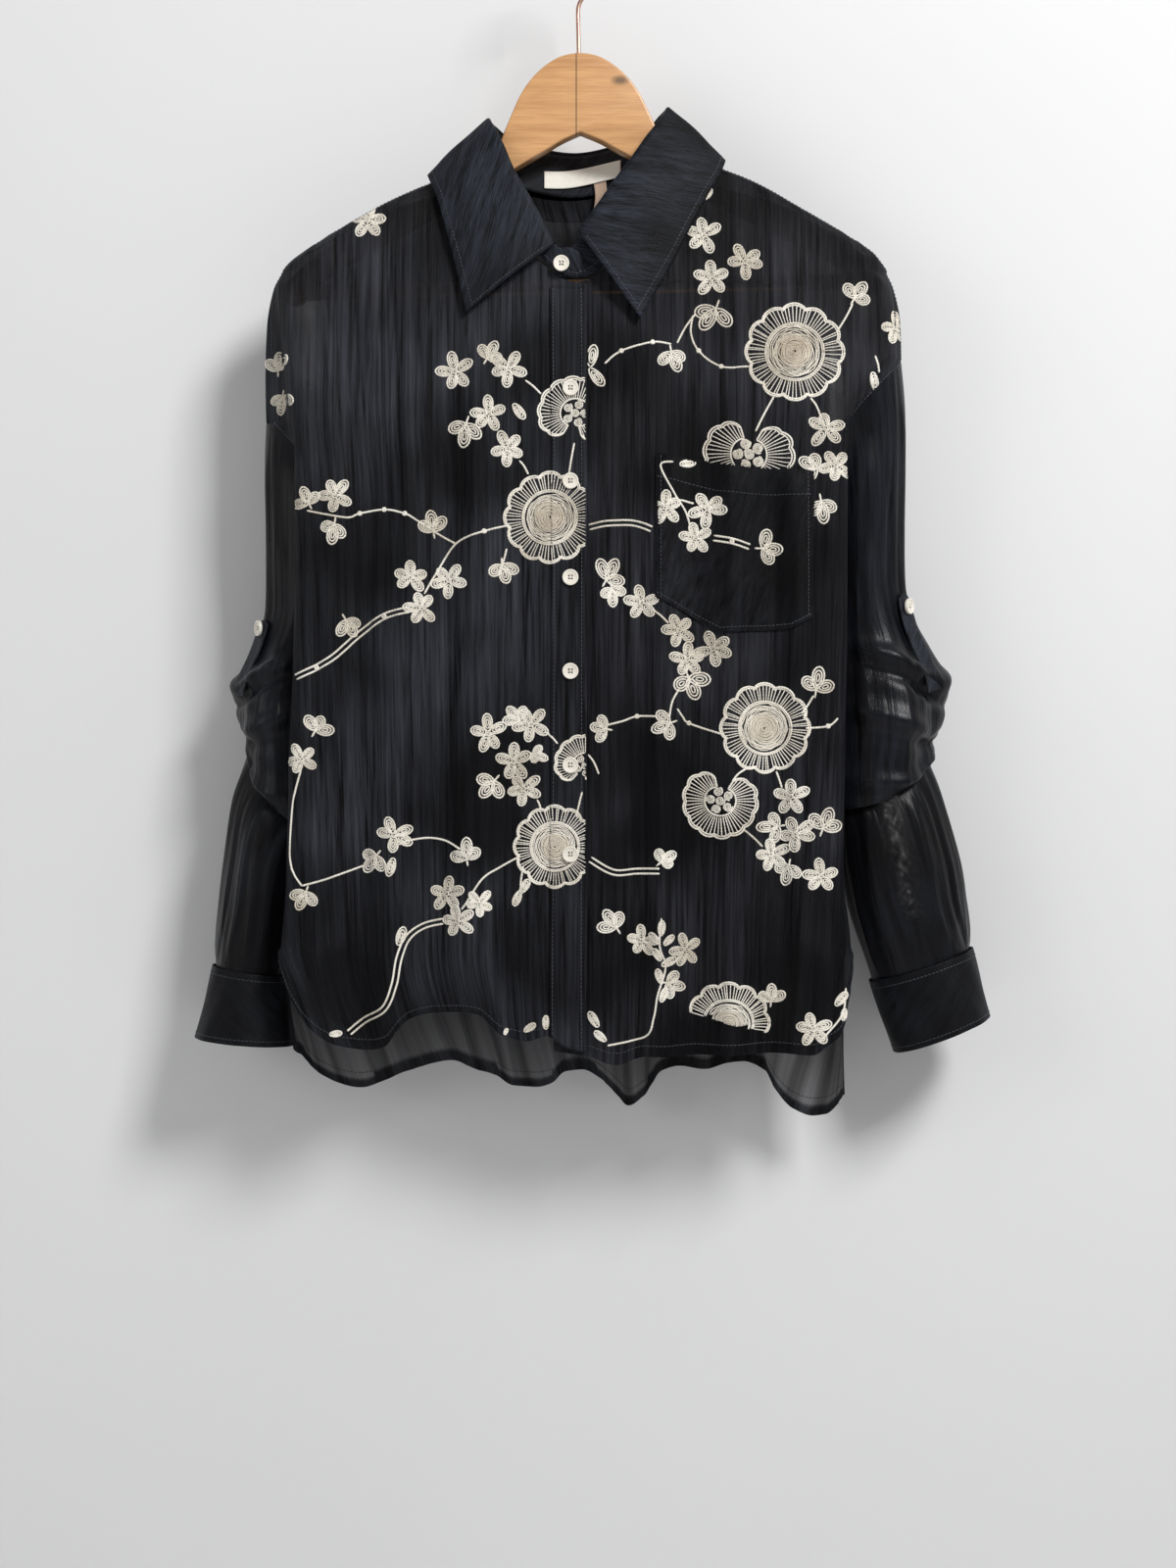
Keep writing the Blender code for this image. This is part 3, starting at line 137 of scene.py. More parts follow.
# The front's turn at the side: z, knuckle out and y, fold out and y, return out and y, seam out and y
TURN_LEFT = (
    (-248, 209, -18, 220, -11, 226, -5, 228.4, -0.4), (-262, 222, -20, 230, -12, 233.2, -5.5, 234.4, -0.4),
    (-288, 226, -25, 234.5, -15, 238, -7, 239, -0.4), (-314, 226, -27, 235, -17, 238.8, -7.5, 239.8, -0.6),
    (-328, 209, -29, 219, -26, 225, -21.5, 228, -17), (-340, 202, -31, 209, -28, 213.5, -25, 216.9, -21),
    (-350.6, 194, -32.5, 201, -29.5, 204.5, -26, 207, -22), (-368, 190, -34, 197.3, -30, 195, -25.5, 190.8, -19.2),
    (-377, 189.5, -34.5, 197, -30, 187, -23, 182.4, -14.4), (-383, 189.5, -35, 196.8, -29.5, 180, -19.5, 176.9, -9),
    (-386, 189.5, -35, 196.6, -29.5, 175.5, -14, 174, 0), (-398, 189.5, -36, 196.8, -29.5, 176.5, -17, 171.6, -5.5),
    (-430, 189.5, -38, 197, -29.5, 185, -19, 173.5, -10), (-520, 189, -40, 196.5, -30, 190.5, -18.5, 178, -11),
    (-625, 188, -41, 195, -31, 190, -19, 180, -11.5), (-690, 187.5, -42, 194, -31, 190.5, -19.5, 184, -11.5),
    (-745, 191, -42, 199.5, -31, 198, -20, 192, -12), (-760, 192, -42, 201, -31, 200, -21, 195.5, -13),
)
TURN_RIGHT = (
    (-250, 198, -19, 211, -13, 216, -6.5, 217.6, -0.4), (-262, 207, -21, 216, -15, 220.5, -8, 223.8, -0.4),
    (-290, 206, -26, 214, -20.5, 218.5, -11, 228.6, -0.4), (-325, 203, -30, 210.5, -25, 214.5, -14.5, 229.7, -0.4),
    (-360, 200, -33, 207, -28, 211.5, -18, 229, -0.6), (-372, 199, -34, 206, -29, 209, -24, 213.6, -18.8),
    (-385, 197, -35, 204.2, -30.5, 202, -27, 197, -22), (-398, 196.5, -36, 204, -30.5, 192, -26, 180.4, -18.8),
    (-404, 196.5, -36.5, 203.8, -30.5, 180, -23.5, 172.7, -14.4),
    (-408, 196.5, -36.8, 203.7, -30.5, 171, -19.5, 167.6, -8.6), (-410, 196.5, -37, 203.6, -30.5, 166.5, -14, 165, 0),
    (-423, 196, -37.5, 203.2, -30.5, 168, -17.5, 162.8, -5.5), (-450, 195.5, -38.5, 202.8, -30.5, 185, -19, 166, -10),
    (-520, 196, -40, 203.5, -31, 197, -18.5, 180, -11), (-625, 200.5, -41, 208.5, -31, 201, -20, 184, -12.5),
    (-690, 202, -42, 210, -31, 203, -20, 190, -12.5), (-745, 206, -42, 214.5, -31, 212.5, -21, 206, -13),
    (-760, 207, -42, 216, -31, 215, -21, 211, -13.5),
)
# The back's turn at the side, the same columns
BACK_TURN_LEFT = (
    (-248, 209, 16, 220, 11, 226, 5, 228.4, 0.4), (-262, 222, 17.5, 230, 11.5, 233.2, 5.5, 234.4, 0.4),
    (-288, 226, 20, 234.5, 13, 238, 6.5, 239, 0.4), (-314, 226, 22, 235, 15, 238.8, 7, 239.8, 0.6),
    (-328, 209, 26, 219, 24, 225, 20.5, 228, 17), (-340, 199, 28, 209, 26.5, 213.5, 24, 216.9, 21),
    (-350.6, 188, 29, 198, 28, 203.5, 25.5, 207, 22), (-368, 170, 28.5, 180, 26.5, 186, 24, 190.8, 19.2),
    (-386, 154, 27, 164, 20, 169.5, 10, 174, 0), (-398, 152, 27, 163, 19, 168.5, 7, 171.2, -4.5),
    (-430, 150, 26, 161, 18, 169, 4, 173.5, -9), (-520, 150, 26, 161, 17, 171, 2, 178, -10),
    (-625, 151, 27, 163, 18, 173, 2, 180, -10.5), (-690, 158, 28, 170, 18, 179, 3, 184, -10.5),
    (-745, 170, 30, 182, 20, 190, 6, 193, -11), (-760, 173, 31, 186, 21, 194, 6, 196.5, -12),
    (-816, 178, 33, 190, 24, 196, 10, 197, -4), (-880, 180, 34, 192, 26, 199, 14, 199.6, 3),
)
BACK_TURN_RIGHT = (
    (-250, 200, 16, 209, 11.5, 214.6, 5.5, 217.6, 0.4), (-262, 209, 18, 217, 13, 221.5, 7, 223.8, 0.4),
    (-290, 214, 20, 223, 13, 227.4, 6.5, 228.6, 0.4), (-325, 214, 22, 224, 14, 228.7, 6.5, 229.7, 0.4),
    (-360, 213, 24, 223, 16, 227.8, 7, 229, 0.6), (-372, 195, 26, 205, 24.5, 210.5, 22, 213.6, 18.8),
    (-385, 176, 28, 187, 27, 193, 25, 197, 22), (-398, 160, 28, 170, 26.5, 176, 23.5, 180.4, 18.8),
    (-410, 146, 27, 155, 20, 160.5, 10, 165, 0), (-423, 144, 27, 154, 19, 159.5, 7, 162.4, -4.5),
    (-450, 144, 26, 155, 18, 163, 4, 166, -9), (-520, 148, 26, 160, 18, 172, 3, 180, -10),
    (-625, 148, 26, 160, 18, 174, 1, 184, -11.5), (-690, 156, 27, 169, 18, 182, 2, 190, -11.5),
    (-745, 180, 29, 194, 20, 205, 5, 207.5, -12), (-760, 184, 30, 199, 20, 211, 5, 214, -12.5),
    (-803, 184, 32, 199, 23, 209, 8, 212, -8), (-880, 180, 34, 193, 26, 203, 12, 207, -2),
)

# Large folds: x and z where each starts, x at the hem, half width, depth at the start, depth at the hem
FRONT_FOLDS = (
    (-172, -300, -178, 14, 2.5, 6), (-150, -330, -158, 12, -2, -5), (-118, -300, -136, 13, 3, 9),
    (-96, -330, -106, 14, -2.5, -9), (-66, -300, -72, 13, 2.5, 5), (-42, -330, -46, 11, -2, -5),
    (46, -300, 43, 11, -2, -6), (66, -330, 62, 12, 2.5, 7), (90, -300, 86, 13, -2.5, -8), (112, -330, 112, 13, 3, 8),
    (138, -330, 140, 13, -2.5, -8), (164, -300, 166, 13, 3, 7),
)
BACK_FOLDS = (
    (-140, -280, -162, 17, 3, 11), (-112, -300, -126, 15, -3, -9), (-80, -260, -92, 15, 3, 6),
    (-52, -300, -62, 14, -3, -7), (-24, -260, -32, 15, 3, 11), (4, -300, 2, 14, -3, -8), (30, -260, 36, 15, 3, 13),
    (60, -300, 70, 15, -3, -8), (90, -260, 104, 15, 3, 5), (120, -300, 134, 14, -3, -9), (144, -280, 164, 16, 3, 11),
)
# Creases laid over the folds: x at the top, z there, x at the foot, z there, half width, depth
FRONT_CREASES = (
    (-200, -250, -205, -760, 5, 1.1), (-188, -290, -190, -720, 4, -1), (-176, -215, -181, -560, 4.5, 1.2),
    (-163, -330, -169, -800, 4, -1.2), (-150, -200, -152, -480, 5, 1), (-141, -420, -149, -820, 4.5, 1.3),
    (-132, -230, -128, -610, 4, -1.1), (-121, -520, -124, -800, 5, -1.3), (-113, -200, -109, -400, 4, 1.2),
    (-104, -300, -101, -780, 4.5, 1.2), (-92, -260, -95, -660, 4, -1.2), (-84, -440, -85, -800, 4.5, 1),
    (-74, -280, -70, -560, 5, 1.3), (-63, -330, -62, -810, 4, -1.2), (-53, -290, -50, -500, 4.5, 1.1),
    (-41, -420, -42, -815, 4.5, 1.2), (-31, -300, -32, -700, 4, -0.9), (-22, -310, -20, -560, 3.5, 0.8),
    (21, -330, 20, -790, 4, 0.9), (31, -280, 33, -620, 4.5, -1.1), (42, -300, 40, -820, 4.5, 1.2),
    (54, -260, 53, -470, 4, 1.1), (63, -520, 66, -825, 4.5, -1.3), (75, -240, 76, -380, 4.5, 1.3),
    (84, -530, 82, -820, 5, 1.2), (95, -220, 96, -390, 4, -1.2), (104, -540, 101, -815, 4, -1.1),
    (116, -210, 118, -390, 5, 1.2), (127, -520, 124, -820, 4.5, 1.3), (137, -220, 140, -400, 4, -1.2),
    (148, -530, 149, -820, 4.5, -1.2), (158, -230, 160, -800, 4.5, 1.1), (171, -250, 172, -560, 4, -1),
    (182, -260, 181, -800, 4.5, 1.2), (193, -240, 190, -330, 4, 1), (208, -230, 212, -320, 4.5, -1.1),
)
BACK_CREASES = (
    (-196, -250, -199, -790, 5, 1.2), (-178, -230, -186, -700, 4.5, -1.2), (-166, -300, -176, -840, 5, 1.3),
    (-150, -220, -148, -560, 4.5, -1.1), (-137, -330, -146, -850, 4.5, 1.3), (-122, -240, -118, -620, 5, 1.1),
    (-108, -360, -110, -845, 4.5, -1.3), (-92, -230, -95, -540, 4.5, 1.2), (-77, -300, -80, -845, 4.5, -1.1),
    (-60, -240, -56, -600, 5, 1.3), (-45, -330, -47, -855, 4.5, 1.2), (-28, -230, -24, -500, 4.5, -1.2),
    (-12, -300, -14, -850, 5, 1.3), (6, -230, 9, -640, 4.5, 1.1), (20, -320, 21, -850, 4.5, -1.3),
    (37, -240, 33, -560, 5, 1.2), (52, -330, 56, -860, 4.5, 1.3), (68, -230, 64, -620, 4.5, -1.2),
    (83, -310, 88, -840, 5, 1.2), (98, -240, 100, -520, 4.5, 1.1), (114, -340, 118, -840, 4.5, -1.3),
    (130, -230, 126, -640, 5, 1.2), (146, -320, 154, -860, 4.5, 1.2), (160, -230, 168, -700, 4.5, -1.1),
    (178, -300, 184, -860, 5, 1.3), (196, -250, 194, -640, 4.5, 1.1),
)
# Crinkle between the creases: wave length, height, drift of the wave down the cloth, start
CRINKLE = (
    (8.3, 0.26, 0.021, 0.3), (6.1, 0.20, -0.034, 1.9), (11.7, 0.30, 0.013, 4.1), (15.9, 0.34, -0.009, 2.6),
    (5.1, 0.14, 0.047, 5.2),
)

# Hems: x, z
HEM_FRONT_RIGHT = (
    (-215, -756.2), (-205, -782.8), (-195, -799.4), (-183.6, -809.5), (-170, -815.5), (-153.4, -818.5), (-137, -815),
    (-128, -803), (-119.5, -795.6), (-97.9, -791.5), (-81.4, -790.5), (-71, -792), (-52.6, -808), (-36, -812),
    (-20.9, -808), (-8, -816), (8, -820.5),
)
HEM_FRONT_LEFT = (
    (-16, -819), (8, -823), (28.8, -829), (51, -823), (98.6, -822), (152, -821), (171, -822), (180.7, -816),
    (192, -806), (196.6, -786.4), (201, -760),
)
HEM_BACK = (
    (-213, -796), (-210, -812), (-206, -823), (-195, -841.9), (-178.6, -852), (-162, -855.6), (-144.7, -850),
    (-128, -842), (-94.3, -835.5), (-77.8, -841), (-61.2, -845), (-48.2, -854), (-30, -856.5), (-18.7, -852.7),
    (-8.6, -843), (4.3, -841), (16.6, -847.6), (30.2, -862), (39, -871), (51, -862), (64, -842), (76.3, -838.3),
    (97.2, -842), (115.2, -836.8), (126.7, -835), (141.8, -842), (150, -857), (162.7, -871), (178, -876.5),
    (188, -874.5), (194, -868), (200, -857),
)
HEM_SIDE_FRONT = (-757, -754)
HEM_SIDE_BACK = (-822, -856)

# Sleeve stations down the cloth from the armhole: z, lift outward, lift backward, out, y, half out, half y
SLEEVE_LEFT = (
    (-350.6, 35.5, 0, 207, 0, 33, 22), (-372, 24, 0, 210.5, 8.5, 33.5, 25), (-400, 10, 0, 212.5, 13, 32, 28),
    (-440, 0, 0, 213.5, 17, 31, 29), (-482, 0, 0, 214, 18, 32, 30), (-510, 5, 0, 216.5, 18, 36.5, 32),
    (-532, 8, 0, 221, 17, 42, 34), (-554, 8, 2, 226, 16, 48, 36), (-576, 9, 6, 228, 15, 48, 37),
    (-598, 13, 12, 227, 14.5, 43.5, 35), (-615, 16, 17, 226, 14.5, 40, 31.5), (-620.5, 16.5, 18, 226, 14.8, 38.3, 29.6),
    (-614, 16, 17, 226, 15, 36.6, 28), (-585, 10, 10, 222, 16, 31, 24), (-556, 4, 4, 217, 17.5, 24.5, 20.5),
    (-552, 4, 4, 217, 17.5, 20.5, 17), (-560, 4, 4, 217.5, 17.5, 18.5, 15.5), (-587, 10, 10, 222, 16.5, 25.5, 19.5),
    (-616, 15, 16, 226.5, 15.5, 33, 24.5), (-642, 7, 9, 232.5, 16, 39, 30), (-683, 0, 2, 240, 17, 45, 34.5),
    (-716, 3, 0, 246, 17, 43.5, 35), (-740, 8, 0, 252, 17, 40, 35), (-761.5, 12.4, 0, 257.2, 17, 36, 33.5),
)
SLEEVE_RIGHT = (
    (-385, 25, 0, 197, 0, 32, 22), (-404, 15, 0, 199.8, 9, 31.5, 25), (-432, 5, 0, 200.8, 14, 30, 28),
    (-466, 0, 0, 201.5, 17, 29.5, 29), (-500, 0, 0, 202.5, 18, 29.8, 30), (-520, 4, 0, 206, 18, 32, 31.5),
    (-538, 6, 0, 211, 17.5, 34, 33), (-556, 5, 2, 216, 17, 38, 34.5), (-574, 6, 8, 218, 17.5, 38, 34),
    (-594, 14, 20, 216, 17.5, 35, 33), (-613, 22, 30, 214.5, 17.5, 32, 30.5), (-619, 23.5, 32, 214.5, 17.5, 30.2, 28.6),
    (-612, 22, 30, 214.5, 17.5, 28.4, 27), (-584, 12, 14, 212, 17.5, 25.5, 23.5), (-556, 4, 4, 207, 17.5, 22, 20),
    (-552, 4, 4, 207, 17.5, 18, 16.5), (-560, 4, 4, 208, 17.5, 16, 15), (-586, 12, 14, 212.5, 17.5, 20, 18.5),
    (-614, 21, 28, 216, 17.5, 24.8, 23.4), (-645, 12, 14, 225, 17.5, 29.5, 29), (-683, 2, 4, 232.5, 18, 29, 32.5),
    (-716, 0, 0, 237, 18, 28.5, 33.5), (-744, 2, 0, 241, 18, 27, 34), (-765.5, 3.8, 0, 243.6, 18, 25.2, 33.5),
)
# Folds round the pouf: turn in degrees, half width, share of the radius, first and last station
POUF_LEFT = (
    (-38, 20, -0.13, 5, 12), (-75, 22, 0.05, 6, 12), (12, 20, 0.04, 6, 12), (70, 24, -0.08, 6, 12),
)
POUF_RIGHT = (
    (-30, 20, -0.10, 5, 12), (-72, 22, 0.05, 6, 12), (20, 20, 0.04, 6, 12), (80, 24, -0.08, 6, 12),
)
# Creases of the sleeves: turn at the first station, first station, turn at the last, last station, half width, depth
SLEEVE_CREASES = (
    (-150, 0.5, -140, 8, 9, 1.6), (-112, 0.5, -118, 7, 8, -1.5), (-84, 1, -70, 9, 8, 1.4), (-52, 2, -60, 8, 7, -1.4),
    (-20, 0.5, -28, 5.5, 8, 1.5), (8, 1, 20, 9, 8, -1.6), (44, 0.5, 38, 8, 9, 1.5), (80, 1, 92, 9, 8, -1.5),
    (120, 0.5, 112, 8, 9, 1.6), (158, 1.5, 166, 9, 8, -1.4), (-140, 18, -150, 23, 8, 1.6), (-104, 18, -96, 23, 7, -1.7),
    (-72, 18, -60, 22.8, 6, 1.8), (-46, 18, -34, 23, 5, -2.2), (-14, 18, -6, 23, 8, 1.6), (22, 18, 16, 23, 7, -1.6),
    (60, 18, 70, 23, 8, 1.7), (98, 18, 92, 23, 6, -1.8), (134, 18, 140, 23, 8, 1.6), (168, 18, 172, 23, 7, -1.5),
)
# Rolls across the pouf: station, half of its height in stations, turn of its middle, half width, depth, slope
POUF_ROLLS = (
    (6.3, 0.34, -70, 62, 4.4, 0.9), (7.2, 0.28, -50, 66, -4.8, 1), (8.1, 0.36, -78, 60, 5, 0.8),
    (9, 0.28, -44, 62, -4.6, 0.9), (9.8, 0.34, -80, 62, 4.4, 0.6), (10.6, 0.26, -30, 50, 2.8, 0.4),
    (6.9, 0.30, 10, 40, 3.2, -0.8), (8.7, 0.30, 18, 44, -3.4, -0.7), (7.2, 0.36, 110, 60, 3.4, 0.6),
    (8.4, 0.34, 140, 58, -3.4, 0.8), (9.6, 0.36, 100, 60, 3, -0.6),
)
# Where light comes through a front: x, top z, foot z, half width, share of its layer that is left
SHEER_STRIPS = ((189, -285, -425, 6, 0.35), (-197, -262, -345, 10, 0.45), (180, -640, -770, 7, 0.6))
# The pulled strip of the left sleeve's lower part: turn, half width, first station, last one
SLEEVE_STRIP = (-88, 15, 12, 22)
SLEEVE_SEAM = 168.0

# Cuff rings: z, lift outward, out, y, half out, half y
CUFF_LEFT = (
    (-760.6, 12.5, 257, 17, 38, 35.5), (-790, 13.2, 265.5, 16.5, 36.6, 36.5), (-812.5, 13.7, 272.4, 16, 35.2, 37),
)
CUFF_RIGHT = (
    (-764.8, 3.9, 243.5, 18, 27, 35.5), (-794, 3.6, 245.5, 18, 32, 37), (-818, 3.2, 247, 18, 37, 38),
)
CUFF_START = math.radians(75)
CUFF_LAP = math.radians(28)
CUFF_STEP = 2.6

# Collar leaf, from its right front end round the back to the left: fold x, y, z, edge x, y, z
LEAF_ROWS = (
    (-17, -28.4, -235, -79.9, -31.5, -284.6), (-31, -26.4, -205.4, -85.5, -27.5, -259.4),
    (-45.4, -23, -180.2, -93.6, -23, -227), (-55.5, -17, -157, -101.5, -18, -199),
    (-62.5, -9.5, -143, -106.5, -13, -186.5), (-65.5, -1.5, -136, -109, -3.5, -178), (-61, 14, -138, -100, 18.5, -186),
    (-44, 26, -146.5, -68, 27.5, -196), (0, 31, -153.5, 0, 32, -204), (45, 26, -143, 70, 27, -192),
    (63, 14, -130, 101, 18, -177), (68.4, -1.5, -127.6, 109.5, -3.5, -167), (65, -10, -135.5, 106, -13.5, -178.5),
    (57, -17, -147, 98, -19.5, -193), (44.6, -23, -164.5, 84, -24, -219.8), (23.5, -27.6, -194.6, 69.8, -28.5, -248.6),
    (1.4, -30, -225.6, 46.8, -32.5, -289),
)
LEAF_BULGE = 3.4
LEAF_CENTRE_Y = -6.0
# Stand, from its upper front end round the back to the lower one: top x, y, z, bottom x, y, z
STAND_ROWS = (
    (4.2, -26.8, -246.5, 3.8, -25.4, -253), (1.5, -27.2, -239.5, 1, -25, -258.2), (-6, -27, -236, -7, -24.8, -256),
    (-15, -25.9, -234, -18.5, -22.8, -248.2), (-29.5, -23.4, -207.5, -35, -19.2, -232.4),
    (-43.8, -19.8, -182.5, -50, -15.8, -213), (-53.3, -14, -159.5, -60.8, -11.8, -195.4),
    (-60, -8, -145.5, -68.4, -8.7, -179.6), (-62.8, -1, -139, -72.4, -1, -168.2), (-59.4, 13, -139.6, -67, 9, -172.2),
    (-42.6, 24.5, -148.2, -48, 13.2, -181.2), (0, 29.2, -154.8, 0, 16.8, -189.2),
    (43.6, 24.5, -144.6, 48, 13.2, -175.4), (61.4, 13, -131.6, 67, 9, -163), (65.6, -1, -130.8, 72.4, -1, -158.2),
    (62, -8.8, -139.5, 69.2, -9.4, -171.5), (54.4, -14, -150.5, 60.6, -12, -195),
    (43, -19.6, -167.5, 49.6, -15.6, -213.4), (22.5, -24.4, -197.5, 34.4, -18.4, -232.8),
    (4.5, -25, -226.5, 18, -20, -249.4), (-8, -22.6, -238, 4, -19.6, -256.8), (-18, -21.6, -242, -14, -19.2, -258.6),
)

# Pocket on the left front: corners as x, z
POCKET_TOP = ((57.6, -387.6), (171.4, -400.5))
POCKET_FOOT = ((57.6, -491), (104, -517.5), (155, -514.5), (171.4, -506))
POCKET_SAG = 3.0
POCKET_TURNING = 18.72
POCKET_LIFT = 1.6
BAND_SHARE = 0.126
BAND_TOP = -264.0
BAND_LIFT = 1.3

# Buttons: x, z of the front ones; the stand's place; roll-up tabs' stations, turns and half widths
BUTTON_X = -4.0
BUTTON_LIFT = 0.0015  # from the band to a button's middle, in metres
BUTTON_HEIGHTS = (-339.5, -407.7, -477.6, -545.2, -612.9, -677)
STAND_BUTTON = (-10.8, -28.3, -248)
TAB_LEFT = ((4.12, 3), (4.3, 8), (4.9, 9), (5.6, 9), (6.3, 9), (6.9, 9), (7.4, 9))
TAB_RIGHT = ((4.25, 3), (4.45, 8), (5, 9), (5.7, 9), (6.4, 9), (7, 9), (7.4, 9))
TAB_TURNS = (-36, -30)
TAB_LIFT = 2.2
TAB_BUTTONS = (4.5, 4.65)
CUFF_BUTTON_Z = (-788.5, -790.5)

# Neck label's top edge, and its tail: x, y, z
LABEL_ROWS = ((-24, 20.4, -168.5), (-8, 22.2, -168), (8, 22.2, -165.5), (33, 18.6, -160.5))
LABEL_TALL = 14.0
LABEL_LEAN = 5.2
TAIL_X = 17.5
TAIL_GAP = 0.7
TAIL_ROWS = ((18.5, 12, -190), (17, 10.4, -202))
TAIL_WIDE = 9.0

# Hanger's half outline: out, z of the top, z of the underside
WOOD_ROWS = (
    (0, -88, -146.5), (14, -90.5, -152.5), (26, -97.5, -159.5), (36, -107, -165), (44, -118.5, -169.5),
    (50, -131, -173), (56, -144.5, -176.5), (62, -158.5, -179.5), (72, -173.5, -185), (86, -181.5, -192.5),
    (106, -190.5, -204), (135, -199, -219), (164, -213, -234), (185, -225.5, -246), (198, -234.5, -257),
    (208, -242.5, -266.5), (216, -250, -268.5), (221, -256, -264.5),
)
WOOD_THICK = 13.0
WOOD_BEVEL = 3.4
HANGER_TURN = math.radians(1.2)
BAR_RADIUS = 5.7
BAR_Z = -259.5
BAR_ENDS = (193.5, 205.6)
BAR_SLOPE_Z = (-253.8, -265.2)
WIRE_RADIUS = 1.6
HOOK_INNER = 19.0
WOOD_TOP = -88.0


def monotone(knots: np.ndarray, values: np.ndarray, at: np.ndarray) -> np.ndarray:
    """Smooth curve through rows of values that never swings past them.

    Args:
        knots: Rising places of the rows.
        values: One row of values at each place.
        at: Places to read.

    Returns:
        The values there, one row for each place.
    """
    step = np.diff(knots)
    slope = np.diff(values, axis=0) / step[:, None]
    bend = np.zeros_like(values)
    bend[0], bend[-1] = slope[0], slope[-1]
    if len(knots) > 2:
        one, two = slope[:-1], slope[1:]
        low, high = step[:-1, None] + 2.0 * step[1:, None], 2.0 * step[:-1, None] + step[1:, None]
        same = one * two > 0.0
        safe_one, safe_two = np.where(same, one, 1.0), np.where(same, two, 1.0)
        bend[1:-1] = np.where(same, (low + high) / (low / safe_one + high / safe_two), 0.0)
    held = np.clip(at, knots[0], knots[-1])
    index = np.clip(np.searchsorted(knots, held, side="right") - 1, 0, len(knots) - 2)
    width = step[index][..., None]
    t = (held - knots[index])[..., None] / width
    start, end = values[index], values[index + 1]
    return (
        start * (1 + 2 * t) * (1 - t) ** 2
        + bend[index] * width * t * (1 - t) ** 2
        + end * t * t * (3 - 2 * t)
        + bend[index + 1] * width * t * t * (t - 1)
    )


def rounded(rows: np.ndarray, count: int) -> np.ndarray:
    """An evenly numbered smooth curve through rows of values.

    Args:
        rows: The rows, any shape after the first axis.
        count: How many rows are wanted.

    Returns:
        The new rows.
    """
    at = np.linspace(0.0, len(rows) - 1.0, count)
    index = np.minimum(at.astype(int), len(rows) - 2)
    return curve_at(rows, index, (at - index).reshape(-1, *([1] * (rows.ndim - 1))))


def eased(value: np.ndarray | float) -> np.ndarray:
    """A smooth step from 0 to 1."""
    held = np.clip(value, 0.0, 1.0)
    return held * held * (3.0 - 2.0 * held)


def divided(levels: Sequence[float], step: float) -> np.ndarray:
    """Levels with even ones put between them, no further apart than step."""
    made = [np.linspace(a, b, max(1, round(abs(b - a) / step)) + 1)[:-1] for a, b in zip(levels, levels[1:])]
    return np.concatenate([*made, [levels[-1]]])


class Table:
    """Rows of sizes read smoothly by their first column."""

    def __init__(self, rows: Iterable[Sequence[float]]) -> None:
        """Sorts the rows by their first column."""
        ordered = np.array(sorted(rows), float)
        self.knots, self.values = ordered[:, 0], ordered[:, 1:]

    def __call__(self, at: np.ndarray | float) -> np.ndarray:
        """The other columns at these places."""
        return monotone(self.knots, self.values, np.asarray(at, float))


def folds_at(folds: Sequence[Sequence[float]], x: np.ndarray, z: np.ndarray) -> np.ndarray:
    """How far the large folds stand out at these places."""
    total = np.zeros_like(x)
    for start_x, start_z, foot_x, half, start, foot in folds:
        share = (start_z - z) / (start_z - FOLD_FOOT)
        centre = start_x + (foot_x - start_x) * share
        depth = (start + (foot - start) * np.minimum(1.0, share)) * eased(share * 5.0)
        total += np.where(share > 0.0, depth * bell(x - centre, half), 0.0)
    return total


def creases_at(creases: Sequence[Sequence[float]], u: np.ndarray, v: np.ndarray) -> np.ndarray:
    """How far the creases and the crinkle between them stand out, across u and down v."""
    total = np.zeros_like(u)
    for number, (top_u, top_v, foot_u, foot_v, half, depth) in enumerate(creases):
        share = (v - top_v) / (foot_v - top_v)
        wander = 1.6 * np.sin(share * 9.0 + number * 1.7) * (foot_u != top_u)
        centre = top_u + (foot_u - top_u) * share + wander
        uneven = 1.0 + 0.35 * np.sin(share * 14.0 + number)
        total += depth * uneven * fade(share, 6.0) * bell(u - centre, half)
    return total


def crinkle_at(u: np.ndarray, v: np.ndarray) -> np.ndarray:
    """The small uneven waves of the crinkled cloth, across u and down v."""
    total = np.zeros_like(u)
    for length, height, drift, start in CRINKLE:
        phase = 2.0 * math.pi * u / length + v * drift + start
        slow = 0.5 + 0.5 * np.sin(v / 47.0 + u / 23.0 + start)
        total += height * slow * np.sin(phase + 0.9 * np.sin(v / 31.0 + start))
    return total


def across(grid: np.ndarray) -> np.ndarray:
    """Length along each row of a grid of points, from its first column."""
    steps = np.linalg.norm(np.diff(grid, axis=1), axis=2)
    return np.concatenate([np.zeros((len(grid), 1)), np.cumsum(steps, axis=1)], axis=1)


def down(grid: np.ndarray) -> np.ndarray:
    """Mean length down a grid of points to each row."""
    steps = np.linalg.norm(np.diff(grid, axis=0), axis=2).mean(axis=1)
    return np.concatenate([[0.0], np.cumsum(steps)])


def unit(vectors: np.ndarray) -> np.ndarray:
    """Vectors along the last axis, brought to length 1."""
    return vectors / np.maximum(np.linalg.norm(vectors, axis=-1, keepdims=True), 1e-9)


def fade(value: np.ndarray, share: float) -> np.ndarray:
    """A window over 0 to 1 that rises and falls smoothly within these parts of it."""
    return eased(value * share) * eased((1.0 - value) * share)


def bell(away: np.ndarray, half: float) -> np.ndarray:
    """A smooth hump of this half width."""
    return np.exp(-((away / half) ** 2))


def turned_away(degrees: np.ndarray, middle: float) -> np.ndarray:
    """Turns counted from a middle one, from -180 to 180."""
    return (degrees - middle + 180.0) % 360.0 - 180.0


